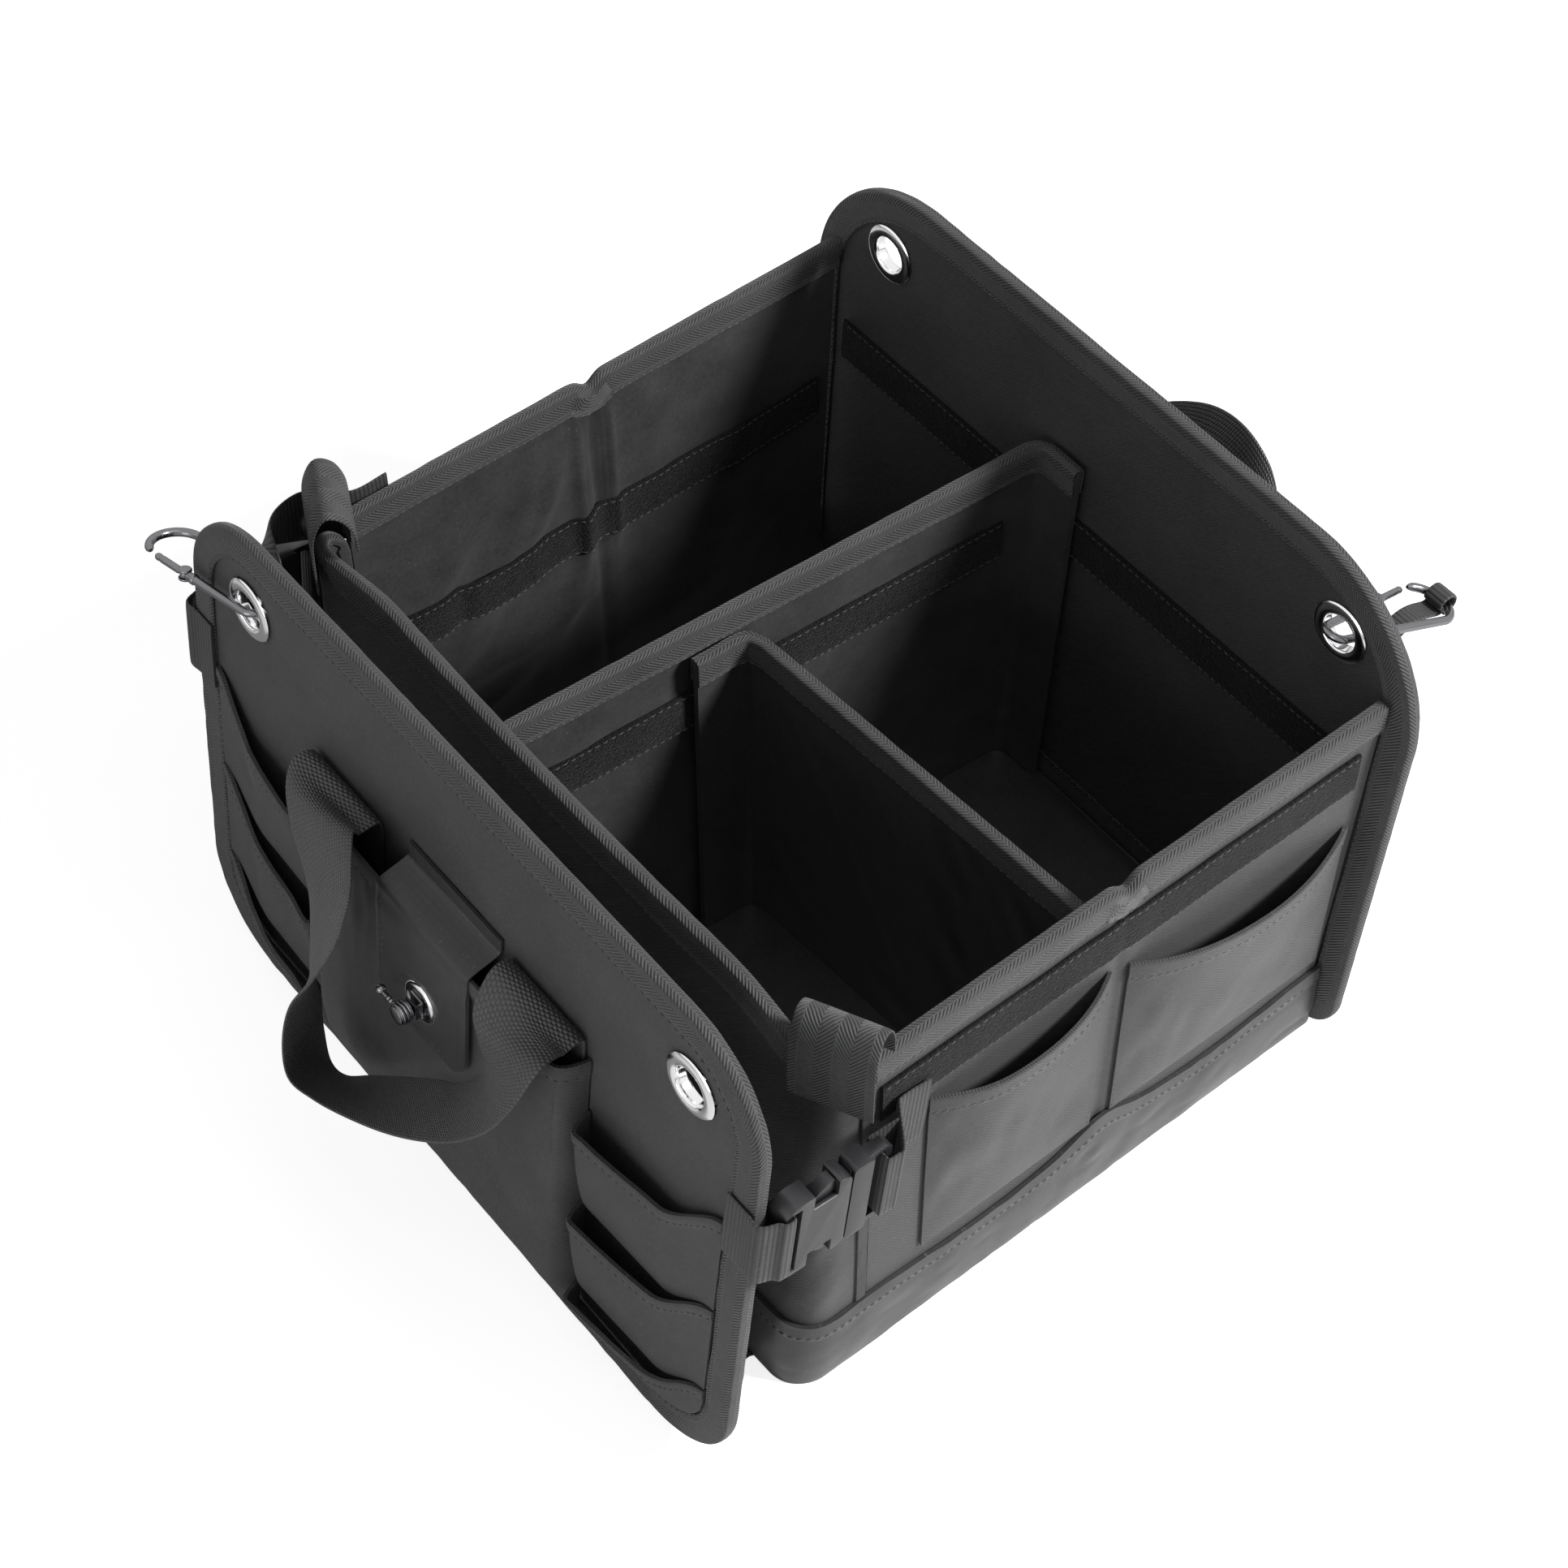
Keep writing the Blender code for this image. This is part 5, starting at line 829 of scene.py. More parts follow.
def makeFrontWall():
    # The wall over its plan: loose and wrinkled round the corners, firm between them.
    topX, topY = frontPlan(frontLook["height"])
    run = lengthsAlong(np.stack([topX, topY], 1))
    fromEnd = np.minimum(run, run[-1] - run)
    inset = frontLook["round"] - fromEnd
    top = frontTop(topX) - edgeReach
    arc = np.sqrt(np.clip(frontLook["round"] ** 2 - inset ** 2, 0, None))
    top = top - np.where(inset > 0, frontLook["round"] - arc, 0)
    foot = boxLook["floor"] + 0.0007
    share = np.linspace(0, 1, 56)
    z = foot + (top[:, None] - foot) * share[None]
    rows = np.linspace(0, frontLook["height"], 200)
    x, y = frontPlan(rows)
    index = np.arange(len(run))
    gx = np.stack([np.interp(z[i], rows, x[:, i]) for i in index])
    gy = np.stack([np.interp(z[i], rows, y[:, i]) for i in index])
    grid = np.stack([gx, gy, z], 2)
    normal = facingOut(gridNormals(grid), grid, 0.14)
    soft = smooth((boxLook["halfWidth"] * 0.9 - np.abs(gx)) / -0.02)
    u = run[:, None] + 0 * z
    fold = 0.0010 * hills(u * 2.2 + z * 0.6, z * 0.5, 0.012, 61) * soft + 0.0006 * hills(u, z, 0.05, 62)
    rim = smooth((top[:, None] - 0.010 - z) / 0.02) * smooth((z - 0.050) / 0.02) * smooth(fromEnd / 0.012)[:, None]
    outer = grid + normal * (np.minimum(fold, 0.0009) * rim)[..., None]
    inner = grid - normal * (frontLook["thickness"] + 0.0006 * hills(u, z, 0.04, 63) * rim)[..., None]
    piece("front_wall", shellMesh("front_wall", outer, inner, np.stack([u, z], 2)), woven,
          ["front_wall"])
    points = grid[:, -1] - normal[:, -1] * frontLook["thickness"] / 2
    rise = np.linspace(trayLook["height"] + trayLook["cloth"], points[0, 2], 40)[:-1, None]
    low = np.hstack([np.broadcast_to(points[0, :2], (39, 2)), rise])
    line = np.vstack([low, points, (low * (-1, 1, 1))[::-1]])
    ends = [np.broadcast_to(normal[k, -1], low.shape) for k in (0, -1)]
    normals = np.vstack([ends[0], normal[:, -1], ends[1]])
    along = unit(np.gradient(line, axis=0))
    outs = unit(np.cross(along, normals))
    outs = outs * np.sign((outs * vec(0, 0, 1)).sum(1)[len(line) // 2])
    grown = smooth((boxLook["halfWidth"] - 0.012 - np.abs(line[:, 0])) / 0.012)
    reach = frontLook["cornerReach"] + (tape["width"] - frontLook["cornerReach"]) * grown
    reach[:41], reach[-41:] = frontLook["seamReach"], frontLook["seamReach"]
    sewn = tapeOver("front_wall", line, outs, normals, frontLook["thickness"], reach, 66)
    seams["box"].extend([(p[45:-45], n[45:-45]) for p, n in sewn])


makeFrontWall()
print("front wall made")


def hemHeight(share):
    # The skirt's hem along a side: it sags twice and rises over the crease between.
    sag = np.sin(np.pi * share * 2) ** 2
    rise = np.exp(-((share - 0.5) / 0.07) ** 2)
    return trayLook["height"] - trayLook["sag"] * sag + trayLook["rise"] * rise


def makeTray():
    # The skirt is a band round the box whose hem dips and rises; folds run up it and gather at the creases.
    share = np.linspace(0, 1, 88)[:-1]
    side = boxLook["halfWidth"] + tape["gap"]
    sideY = boxLook["halfLength"] + (frontStart - boxLook["halfLength"]) * share
    levels = 30
    up, rows = np.linspace(0, 1, levels), np.linspace(0, 0.06, levels)
    hems = hemHeight(share)
    px, py = frontPlan(rows, tape["gap"])
    count = px.shape[1]
    z = np.concatenate([hems[:, None] * up, np.full((count, 1), trayLook["height"]) * up, hems[::-1, None] * up])
    fx = np.stack([np.interp(z[len(share) + i], rows, px[:, i]) for i in range(count)])
    fy = np.stack([np.interp(z[len(share) + i], rows, py[:, i]) for i in range(count)])
    sx, sy = np.full((len(share), levels), side), np.repeat(sideY[:, None], levels, 1)
    grid = np.stack([np.concatenate([sx, fx, -sx]), np.concatenate([sy, fy, sy[::-1]]), z], 2)
    normal = facingOut(gridNormals(grid), grid, 0.1)
    run = lengthsAlong(grid[:, levels // 2])
    u, v = run[:, None] + 0 * z, z
    near = np.exp(-((np.abs(grid[..., 1]) / 0.030) ** 2)) * (np.abs(grid[..., 0]) > 0.17)
    puff = 0.0012 * (1 + hills(u, v * 0.6, 0.026, 71)) + 0.0014 * near * (0.5 + 0.5 * hills(u * 1.5, v, 0.013, 72))
    puff = puff * np.sin(np.pi * np.clip(up, 0, 1) ** 0.8)[None] + 0.0005 * np.abs(hills(u, v, 0.012, 73))
    hem = 0.0006 * smooth((up - 0.80) / 0.03)
    outer = grid + normal * (trayLook["cloth"] + puff + hem)[..., None]
    piece("bottom_tray", shellMesh("bottom_tray", outer, grid, np.stack([u, v], 2)), coated,
          ["bottom_tray"])
    sewn = 24
    seams["box"].append((outer[:, sewn], normal[:, sewn]))
    # Its floor, and the web that runs on under the slot to the flap's foot
    x, s = mesh2(np.linspace(-1, 1, 44), np.linspace(0, 1, 44))
    backY, frontY = boxLook["halfLength"] + 0.0050, -0.2152
    y = backY + (frontY - backY) * s
    narrow = smooth((-0.150 - y) / 0.020)
    x = x * (side - 0.026 * narrow - 0.0005)
    grid = np.stack([x, y, trayLook["cloth"] + 0 * x], 2)
    mesh = shellMesh("tray_floor", grid, grid * (1, 1, 0), np.stack([x, y], 2))
    piece("tray_floor", mesh, coated)


makeTray()


def makeBaseBoard():
    # Two boards in one cloth with a crease between them, rounded at the edges.
    half, back, front = 0.1757, boxLook["halfLength"] - 0.0003, frontStart - 0.012
    x, y = mesh2(np.linspace(-half, half, 56), np.linspace(front, back, 70))
    edge = np.minimum(half - np.abs(x), np.minimum(back - y, y - front))
    puff = np.sqrt(np.clip(1 - (1 - np.clip(edge / 0.0014, 0, 1)) ** 2, 0, 1))
    groove = 0.001 * np.exp(-(y / 0.0022) ** 2)
    middle = boxLook["floor"] + 0.0015
    wave = 0.00015 * hills(x, y, 0.04, 81)
    top = middle + 0.0015 * puff - groove + wave * puff - 0.00015
    under = middle - 0.0015 * puff + groove
    grids = np.stack([x, y, top], 2), np.stack([x, y, under], 2), np.stack([x, y], 2)
    piece("base_board", shellMesh("base_board", *grids), lining, ["base_board"])


makeBaseBoard()
print("tray and board made")

# Dividers: a soft board between two cloths, bent at its ends into flanges
dividerLook = {"thickness": 0.0035, "long": 0.214, "cross": 0.201, "frontX": -0.048, "backX": -0.032,
               "flange": 0.026, "bend": 0.0085, "crossLeft": -0.021, "crossRight": -0.009, "floor": 0.0048}


def arcPoints(cx, cy, radius, start, end, count):
    # Points on an arc between two headings in degrees.
    a = np.radians(np.linspace(start, end, count))
    return np.stack([cx + radius * np.cos(a), cy + radius * np.sin(a)], 1)


def standingSheet(name, plan, top, slopes, seed, slack):
    # A wall over a plan line; slopes lean it with height, slack is how far its cloth swells between seams.
    line = evenly(plan, 0.002)
    at = lengthsAlong(line) / lengthsAlong(line)[-1]
    slope = np.interp(at, lengthsAlong(plan) / lengthsAlong(plan)[-1], slopes)
    share = np.linspace(0, 1, 54)
    z = dividerLook["floor"] + (top - dividerLook["floor"]) * share[None] + 0 * line[:, :1]
    grid = np.stack([line[:, :1] + 0 * z, line[:, 1:] + slope[:, None] * (z - top), z], 2)
    normal = gridNormals(grid)
    u, v = lengthsAlong(line)[:, None] + 0 * z, z
    rim = smooth((top - 0.012 - z) / 0.02) * smooth((z - 0.010) / 0.02)
    near = smooth(np.minimum(u, u[-1] - u) / 0.03)
    half = dividerLook["thickness"] / 2
    under = top - 0.013 - z
    fade = smooth(under / 0.004) * np.exp(-np.clip(under, 0, 1) / 0.022)

    def loose(k):
        # Wide swellings over the whole sheet, and short puckers that die away below the binding.
        swell = slack * np.clip(hills(u * 0.9 + v * 0.5, v * 0.45, 0.022, seed + k), 0, 1) * rim
        pucker = slack * 0.55 * np.clip(hills(u + v * 0.5, v * 0.3, 0.009, seed + 7 + k) + 0.3, 0, 1)
        return (swell + pucker * fade) * near

    outer = grid + normal * (half + loose(0) + 0.0001 * hills(u, v, 0.05, seed + 3))[..., None]
    inner = grid - normal * (half + loose(1))[..., None]
    piece(name, shellMesh(name, outer, inner, np.stack([u, v], 2)), lining, [name])
    points, normals = grid[:, -1], normal[:, -1]
    seams["dividers"].extend(tapeOver(name, points, edgeOut(points, normals), normals,
                                      dividerLook["thickness"] + tape["gap"], tape["width"], seed + 5))


def makeDividers():
    # The long divider spans from the front wall to the back panel; the cross divider from its face to the right.
    look, gap = dividerLook, tape["gap"]
    half, proud, top, strip = look["thickness"] / 2, edgeReach + tape["gap"], look["long"], stripLook["thickness"]
    slopeFront = frontLook["lean"] / frontLook["height"]
    x0 = look["frontX"]
    bow = frontLook["bow"] * math.cos(math.pi / 2 * abs(x0) / (boxLook["halfWidth"] - frontLook["corner"]))
    frontFace = -boxLook["halfLength"] - frontLook["foot"] + slopeFront * top - bow
    frontY = frontFace + frontLook["thickness"] + proud + half
    backY = boxLook["halfLength"] + gap + top * boxLook["backSlope"] + gap - strip - proud - half
    run = (look["backX"] - look["frontX"]) / (2 * boxLook["halfLength"])
    xFront = x0 + run * (frontY + boxLook["halfLength"])
    xBack = x0 + run * (backY + boxLook["halfLength"])
    bend = look["bend"]
    plan = np.vstack([[(xFront + look["flange"], frontY)], arcPoints(xFront + bend, frontY + bend, bend, 270, 180, 8),
                      arcPoints(xBack + bend, backY - bend, bend, 180, 90, 8), [(xBack + look["flange"], backY)]])
    share = np.clip((plan[:, 1] - frontY) / (backY - frontY), 0, 1)
    slopes = slopeFront * (1 - share) + boxLook["backSlope"] * share
    standingSheet("long_divider", plan, top, slopes, 91, 0.0024)
    # The strip along its right face, in two runs that the cross divider's flange covers between them
    yaw = math.atan(run)
    way, face = vec(math.sin(yaw), math.cos(yaw), 0), vec(math.cos(yaw), -math.sin(yaw), 0)
    middleY = (frontY + backY) / 2
    centre = vec(x0 + run * (middleY + boxLook["halfLength"]), middleY, 0) + face * (half + 3 * gap)
    reach = (backY - frontY) / 2 - bend - 0.012
    s = np.arange(-reach, reach, 0.0015)
    middle = centre + s[:, None] * way + vec(0, 0, stripLook["crossTop"] - stripLook["width"] / 2)
    up, normal = np.broadcast_to(vec(0, 0, 1), middle.shape), np.broadcast_to(face, middle.shape)
    seams["dividers"].extend(makeStrip("long_divider", middle, up, normal, 97))
    start = x0 + run * (look["crossLeft"] - 0.028 + boxLook["halfLength"])
    left = start + (half + 3 * gap + strip + proud + half) / math.cos(yaw)
    right = boxLook["halfWidth"] - boxLook["thickness"] - gap - strip - proud - half
    y0, y1 = look["crossLeft"], look["crossRight"]
    cross = np.vstack([[(left, y0 - 0.030), (left + run * 0.012, y0 - 0.018), (left + 0.0008, y0 - 0.010),
                        (left + 0.0032, y0 - 0.0030), (left + 0.0100, y0)],
                       arcPoints(right - bend, y1 - bend, bend, 90, 0, 8), [(right, y1 - look["flange"])]])
    smoothed = np.vstack([curveThrough(cross[:5], 0.0010), cross[5:]])
    standingSheet("cross_divider", smoothed, look["cross"], np.zeros(len(smoothed)), 101, 0.0014)


makeDividers()


def makeBackStrip():
    # The strip across the back panel's inner face.
    x = np.arange(-0.172, 0.172, 0.0015)
    y = x * 0 + stripLook["backTop"] - stripLook["width"] / 2
    middle = backPanel.at(x, y, x * 0 - panelLook["thickness"] - tape["gap"])
    up, out = np.broadcast_to(backPanel.y, middle.shape), np.broadcast_to(-backPanel.z, middle.shape)
    seams["dividers"].extend(makeStrip("back", middle, up, out, 105))


makeBackStrip()
print("dividers made")


# Pockets. Each is a sheet with a turned hem at its mouth.
def hemmed(grid, normal, fromMouth, width, thickness, seed):
    # The outer face is raised by one more layer near the mouth, with a shallow valley where it is sewn.
    u = lengthsAlong(grid[:, -1])[:, None] + 0 * fromMouth
    rise = thickness * smooth((width - fromMouth) / 0.0012)
    sewn = 0.00025 * np.exp(-((fromMouth - width + 0.0016) / 0.0008) ** 2)
    pucker = 0.00020 * hills(u, fromMouth, 0.005, seed) * np.exp(-((fromMouth - width) / 0.005) ** 2)
    round_ = 0.0004 * np.exp(-(fromMouth / 0.0007) ** 2)
    return grid + normal * (rise - sewn + pucker - round_)[..., None]


clothThick = 0.0012


def makePocket(name, grid, outward, width, seed, layer=0.0007):
    # Grid runs along the mouth first, then from the foot up to the mouth; the hem's seam is sewn later.
    normal = gridNormals(grid)
    normal = normal * np.sign((normal * outward).sum(2).mean())
    step = np.linalg.norm(np.diff(grid, axis=1), axis=2)
    fromFoot = np.concatenate([np.zeros((len(grid), 1)), np.cumsum(step, 1)], 1)
    fromMouth = fromFoot[:, -1:] - fromFoot
    outer = hemmed(grid + normal * clothThick, normal, fromMouth, width, layer, seed)
    u = lengthsAlong(grid[:, -1])[:, None] + 0 * fromFoot
    piece(name, shellMesh(name, outer, grid, np.stack([u, fromFoot], 2)), woven, [name])
    i, k = np.arange(len(grid)), (fromMouth > width - 0.0016).sum(1) - 1
    seams["pockets"].append((outer[i, k], normal[i, k]))


def upward(count, mouthRows=18, hem=0.012):
    # Shares from 0 to 1, close together near the mouth.
    return np.concatenate([np.linspace(0, 1 - hem * 8, count)[:-1], np.linspace(1 - hem * 8, 1, mouthRows)])


sidePocketLook = {"foot": 0.0553, "belly": 0.011, "hem": 0.011}


def makeSidePocket(name, side, y0, y1, mouthAt, belly, seed):
    look = sidePocketLook
    share, up = mesh2(np.linspace(0, 1, 78), upward(38))
    y = y0 + (y1 - y0) * share
    across = np.clip(1 - np.abs(2 * share - 1) ** 2.4, 0, 1)
    height = look["foot"] + (mouthAt(share) - look["foot"]) * up
    out = tape["gap"] + belly * across * up ** 0.8
    u, v = share * abs(y1 - y0), height
    loose = 0.0009 * hills(u * 0.8 + v * 0.3, v, 0.028, seed)
    loose = loose + 0.0010 * hills(u * 2.0, v * 0.7, 0.020, seed + 1) * (1 - up)
    pull = 0.0012 * np.exp(-((share - 0.06) / 0.05) ** 2) * np.sin(v / 0.0075) * (1 - up * 0.6)
    out = np.maximum(out + (loose + pull) * np.minimum(across * 2, 1) * np.minimum(up * 3, 1), tape["gap"])
    grid = np.stack([side * (boxLook["halfWidth"] + out), y, height], 2)
    makePocket(name, grid, vec(side, 0, 0), look["hem"], seed)
    # The seam beside the crease, where light catches the thread
    i = -1 if y1 < 0 else 0
    post = grid[i][::2] + vec(side * 0.0011, 0.0012 * (1 if y1 > 0 else -1), 0)
    seams["pockets"].append((post, np.broadcast_to(vec(side, 0, 0), post.shape)))


for word, side in bothSides:
    makeSidePocket("pocket_%s_front" % word, side, -0.102, -0.006,
                   lambda s: 0.173 - 0.004 * np.sin(np.pi * s), sidePocketLook["belly"], 120 + side)
    makeSidePocket("pocket_%s_rear" % word, side, 0.006, 0.132,
                   lambda s: 0.168 - 0.012 * s - 0.005 * np.sin(np.pi * s), sidePocketLook["belly"] * 1.2, 130 + side)
print("side pockets made")

pouchLook = {"width": 0.180, "top": 0.188, "foot": 0.0165, "depth": 0.0135, "crown": 0.0015, "hem": 0.010,
             "cloth": 0.0012}
pouchFolds = [(-0.055, 0.150, 100, 0.045, 0.005, 0.0012), (-0.045, 0.150, 97, 0.050, 0.004, 0.0010),
              (0.060, 0.070, 70, 0.050, 0.010, 0.0008), (0.0, 0.060, 15, 0.060, 0.012, 0.0008)]


def makeCentrePocket():
    # A box pocket: steep sides, flat front, foot rolled under; its face dents and its mouth hangs a little.
    edge = 1 - np.linspace(0, 1, 16) ** 2 * 0.06
    share = np.concatenate([-edge, np.linspace(-0.93, 0.93, 90), edge[::-1]])
    up = np.concatenate([np.linspace(0, 1, 10) ** 2 * 0.08, np.linspace(0.10, 0.88, 42), np.linspace(0.89, 1, 14)])
    s, t = mesh2(share, up)
    look, gap = pouchLook, tape["gap"]
    x, y = s * look["width"] / 2, look["foot"] + (look["top"] - look["foot"]) * t
    wall = (1 - np.abs(s) ** 40) * (1 - (1 - t) ** 22)
    dents = -0.0016 * np.clip(hills(x * 0.8 + y * 0.4, y * 0.7, 0.045, 141), 0, 1)
    dents = dents - 0.0005 * (1 + hills(x, y, 0.018, 142)) + creases(x, y, pouchFolds, 0.4)
    dents = dents * (np.abs(x) < 0.085) * smooth((0.183 - y) / 0.01)
    depth = look["depth"] + look["crown"] * np.cos(s * np.pi / 2) * t + dents
    lift = 0.0022 * smooth((t - 0.77) / 0.06) * smooth((-s - 0.86) / 0.04)
    z = gap + np.maximum(depth * wall, lift)
    grid = flapPanel.at(x, y, z)
    makePocket("centre_pocket", grid, flapPanel.z, look["hem"], 143)


makeCentrePocket()

tongueLook = {"width": 0.064, "top": 0.196, "foot": 0.118, "radius": 0.016, "sewn": 0.0038}


def tongueDepth(y):
    # How far the tongue's back stands off the flap: over the pouch below, eased to nothing above its mouth.
    cover = pouchLook["depth"] + pouchLook["crown"] + pouchLook["cloth"] + tape["gap"] * 2
    roll = tongueLook["top"] - pouchLook["top"] - pouchLook["cloth"]
    return tape["gap"] + (cover - tape["gap"]) * smooth((tongueLook["top"] - y) / roll)


def makeTongue():
    # Smooth coated cloth laid over the mouth, with a round foot and a sewn border.
    look = tongueLook
    radius = look["radius"]
    y = np.concatenate([look["foot"] + radius * (1 - np.cos(np.linspace(0, np.pi / 2, 16))),
                        np.linspace(look["foot"] + radius + 0.002, 0.184, 30), np.linspace(0.1845, 0.203, 26)])
    below = np.maximum(look["foot"] + radius - y, 0)
    half = look["width"] / 2 - (radius - np.sqrt(np.clip(radius ** 2 - below ** 2, 0, None)))
    s, yy = mesh2(np.linspace(-1, 1, 46), y)
    x = s * np.maximum(half, look["width"] / 2 - radius + 0.0005)[None]
    inside = np.minimum(look["width"] / 2 - np.abs(x), yy - look["foot"])
    border = -0.00022 * np.exp(-((inside - look["sewn"]) / 0.0007) ** 2) + 0.0003 * smooth(inside / 0.0015)
    wave = 0.0005 * (hills(x, yy, 0.022, 151) + 1) * smooth((0.185 - yy) / 0.01)
    z = tongueDepth(yy) + pouchLook["cloth"] + border + wave * (np.hypot(x, yy - 0.142) > 0.013)
    outer, inner = flapPanel.at(x, yy, z), flapPanel.at(x, yy, tongueDepth(yy) + 0 * z)
    piece("pocket_tongue", shellMesh("pocket_tongue", outer, inner, np.stack([x, yy], 2)), coated,
          ["pocket_tongue"])
    a = np.linspace(0, np.pi / 2, 14)
    r, w = radius - look["sewn"], look["width"] / 2 - radius
    cx, cy = w + r * np.sin(a), look["foot"] + radius - r * np.cos(a)
    path = np.vstack([np.stack([np.full(20, w + r), np.linspace(0.184, look["foot"] + radius, 20)], 1),
                      np.stack([cx, cy], 1)[::-1]])
    path = evenly(np.vstack([path, (path * (-1, 1))[::-1]]), 0.001)
    line = flapPanel.at(path[:, 0], path[:, 1], tongueDepth(path[:, 1]) + pouchLook["cloth"] + 0.0003)
    seams["pockets"].append((line, np.broadcast_to(flapPanel.z, line.shape)))


makeTongue()

tierLook = {"tops": (0.155, 0.092, 0.031), "names": ("upper", "middle", "lower"), "belly": 0.0115, "rise": 0.021,
            "inner": 0.0930, "outer": 0.17755, "hem": 0.0070, "foot": 0.0165}


def tierMouth(index, share):
    # Height of a tier's mouth: nearly level, then swept up towards the bound edge.
    return tierLook["tops"][index] + 0.003 * share + tierLook["rise"] * smooth((share - 0.62) / 0.38)


def makeToolPocket(name, side, index):
    # Full beside the centre pocket, gathered to nothing at the bound edge, its mouth a rolled lip.
    look, gap = tierLook, tape["gap"]
    share = np.concatenate([np.linspace(0, 0.06, 10), np.linspace(0.075, 1, 58)])
    up = np.concatenate([np.linspace(0, 0.08, 6), np.linspace(0.1, 1, 36)])
    s, t = mesh2(share, up)
    x = look["inner"] + (look["outer"] - look["inner"]) * s
    full = (1 - s ** 1.4) * (1 - (1 - np.minimum(s / 0.06, 1)) ** 2)
    mouth = tierMouth(index, s)
    if index < 2:
        foot = tierMouth(index + 1, s) + 0.001
    else:
        reach = flapLook["footRadius"] - tape["width"] - edgeReach - 4 * gap
        beyond = np.clip(x - (flapLook["width"] / 2 - flapLook["footRadius"]), 0, reach * 0.995)
        foot = np.maximum(look["foot"], flapLook["footRadius"] - np.sqrt(reach ** 2 - beyond ** 2))
    y = foot + (mouth - foot) * t
    gather = 0.0009 * np.sin(x / 0.0042 + 2 * hills(x, y, 0.02, 161 + index)) * smooth((s - 0.5) / 0.2) * (1 - s)
    loose = 0.0010 * hills(x, y * 0.7, 0.020, 165 + index + side) * np.minimum(full * 1.6, 1)
    folds = (gather + loose) * np.minimum(t * 2.5, 1) * np.minimum(s * 8, 1)
    z = gap + np.maximum(look["belly"] * full * t ** 0.5 + folds, 0)
    grid = flapPanel.at(side * x, y, z)
    makePocket(name, grid, flapPanel.z, look["hem"], 170 + index, layer=0.0009)


for word, side in bothSides:
    for index, tier in enumerate(tierLook["names"]):
        makeToolPocket("tool_pocket_%s_%s" % (word, tier), side, index)


def makeBackPocket(name, foot, top, seed):
    # Wide and nearly flat, with a mouth that hangs a little in its middle.
    s, t = mesh2(np.linspace(-1, 1, 116), upward(28))
    x = s * tierLook["outer"]
    mouth = top - 0.004 * np.cos(s * np.pi / 2)
    y = foot + (mouth - foot) * t
    across = 1 - np.abs(s) ** 6
    loose = 0.0010 * hills(x * 0.7, y, 0.040, seed) + 0.0006 * hills(x, y, 0.02, seed + 1)
    z = tape["gap"] + np.maximum(0.010 * across * t ** 0.8 + loose * across * np.minimum(t * 3, 1), 0)
    makePocket(name, backPanel.at(x, y, z), backPanel.z, 0.011, seed)


makeBackPocket("back_pocket_lower", 0.0205, 0.074, 181)
makeBackPocket("back_pocket_upper", 0.078, 0.168, 184)
print("pockets made")


# Bands of webbing: a flat strip whose width follows its own direction at each place
def band(name, points, ways, width, thickness, material, step=0.0016, columns=13, edge=0.35):
    # The line and its width direction go through their stops as one smooth curve; the edges are thinner.
    both = curveThrough(np.hstack([points, ways * 0.02]), step)
    line, way = both[:, :3], unit(both[:, 3:])
    s = np.sin(np.linspace(-np.pi / 2, np.pi / 2, columns))
    grid = line[:, None] + way[:, None] * (s * width / 2)[None, :, None]
    normal = gridNormals(grid)
    half = thickness / 2 * (edge + (1 - edge) * np.sqrt(np.clip(1 - np.abs(s) ** 10, 0, 1)))
    outer = grid + normal * half[None, :, None]
    inner = grid - normal * half[None, :, None]
    u = lengthsAlong(line)[:, None] + 0 * s
    mesh = shellMesh(name, outer, inner, np.stack([u, s * width / 2 + 0 * u], 2))
    piece(name, mesh, material, [name])


handleLook = {"width": 0.050, "thickness": 0.0016}
frontHandle = np.array([
    (-0.0765, 0.1620, 0.0012, 1.00, 0.00, 0.00), (-0.0765, 0.1900, 0.0012, 1.00, 0.00, 0.00),
    (-0.0765, 0.1965, 0.0040, 1.00, 0.00, 0.00), (-0.0770, 0.1950, 0.0120, 1.00, 0.00, 0.00),
    (-0.0697, 0.1979, 0.0200, 0.94, 0.34, -0.05), (-0.0578, 0.1939, 0.0270, 0.88, 0.48, -0.01),
    (-0.0468, 0.1870, 0.0320, 0.80, 0.59, 0.06), (-0.0403, 0.1790, 0.0360, 0.72, 0.68, 0.10),
    (-0.0409, 0.1560, 0.0390, 0.69, 0.70, 0.20), (-0.0469, 0.1281, 0.0415, 0.59, 0.72, 0.36),
    (-0.0503, 0.1081, 0.0435, 0.43, 0.71, 0.56), (-0.0512, 0.0821, 0.0445, 0.35, 0.69, 0.63),
    (-0.0472, 0.0622, 0.0445, 0.35, 0.67, 0.65), (-0.0333, 0.0643, 0.0435, 0.43, 0.65, 0.62),
    (-0.0129, 0.0790, 0.0415, 0.56, 0.54, 0.63), (0.0105, 0.0976, 0.0390, 0.65, 0.44, 0.63),
    (0.0319, 0.1163, 0.0365, 0.68, 0.40, 0.61), (0.0500, 0.1338, 0.0345, 0.70, 0.44, 0.57),
    (0.0643, 0.1544, 0.0325, 0.74, 0.47, 0.48), (0.0718, 0.1739, 0.0310, 0.79, 0.53, 0.33),
    (0.0715, 0.1897, 0.0265, 0.84, 0.54, 0.05), (0.0671, 0.1949, 0.0200, 0.94, 0.31, -0.12),
    (0.0640, 0.1990, 0.0120, 1.00, 0.00, 0.00), (0.0635, 0.2000, 0.0040, 1.00, 0.00, 0.00),
    (0.0630, 0.1940, 0.0012, 1.00, 0.00, 0.00), (0.0630, 0.1620, 0.0012, 1.00, 0.00, 0.00)])
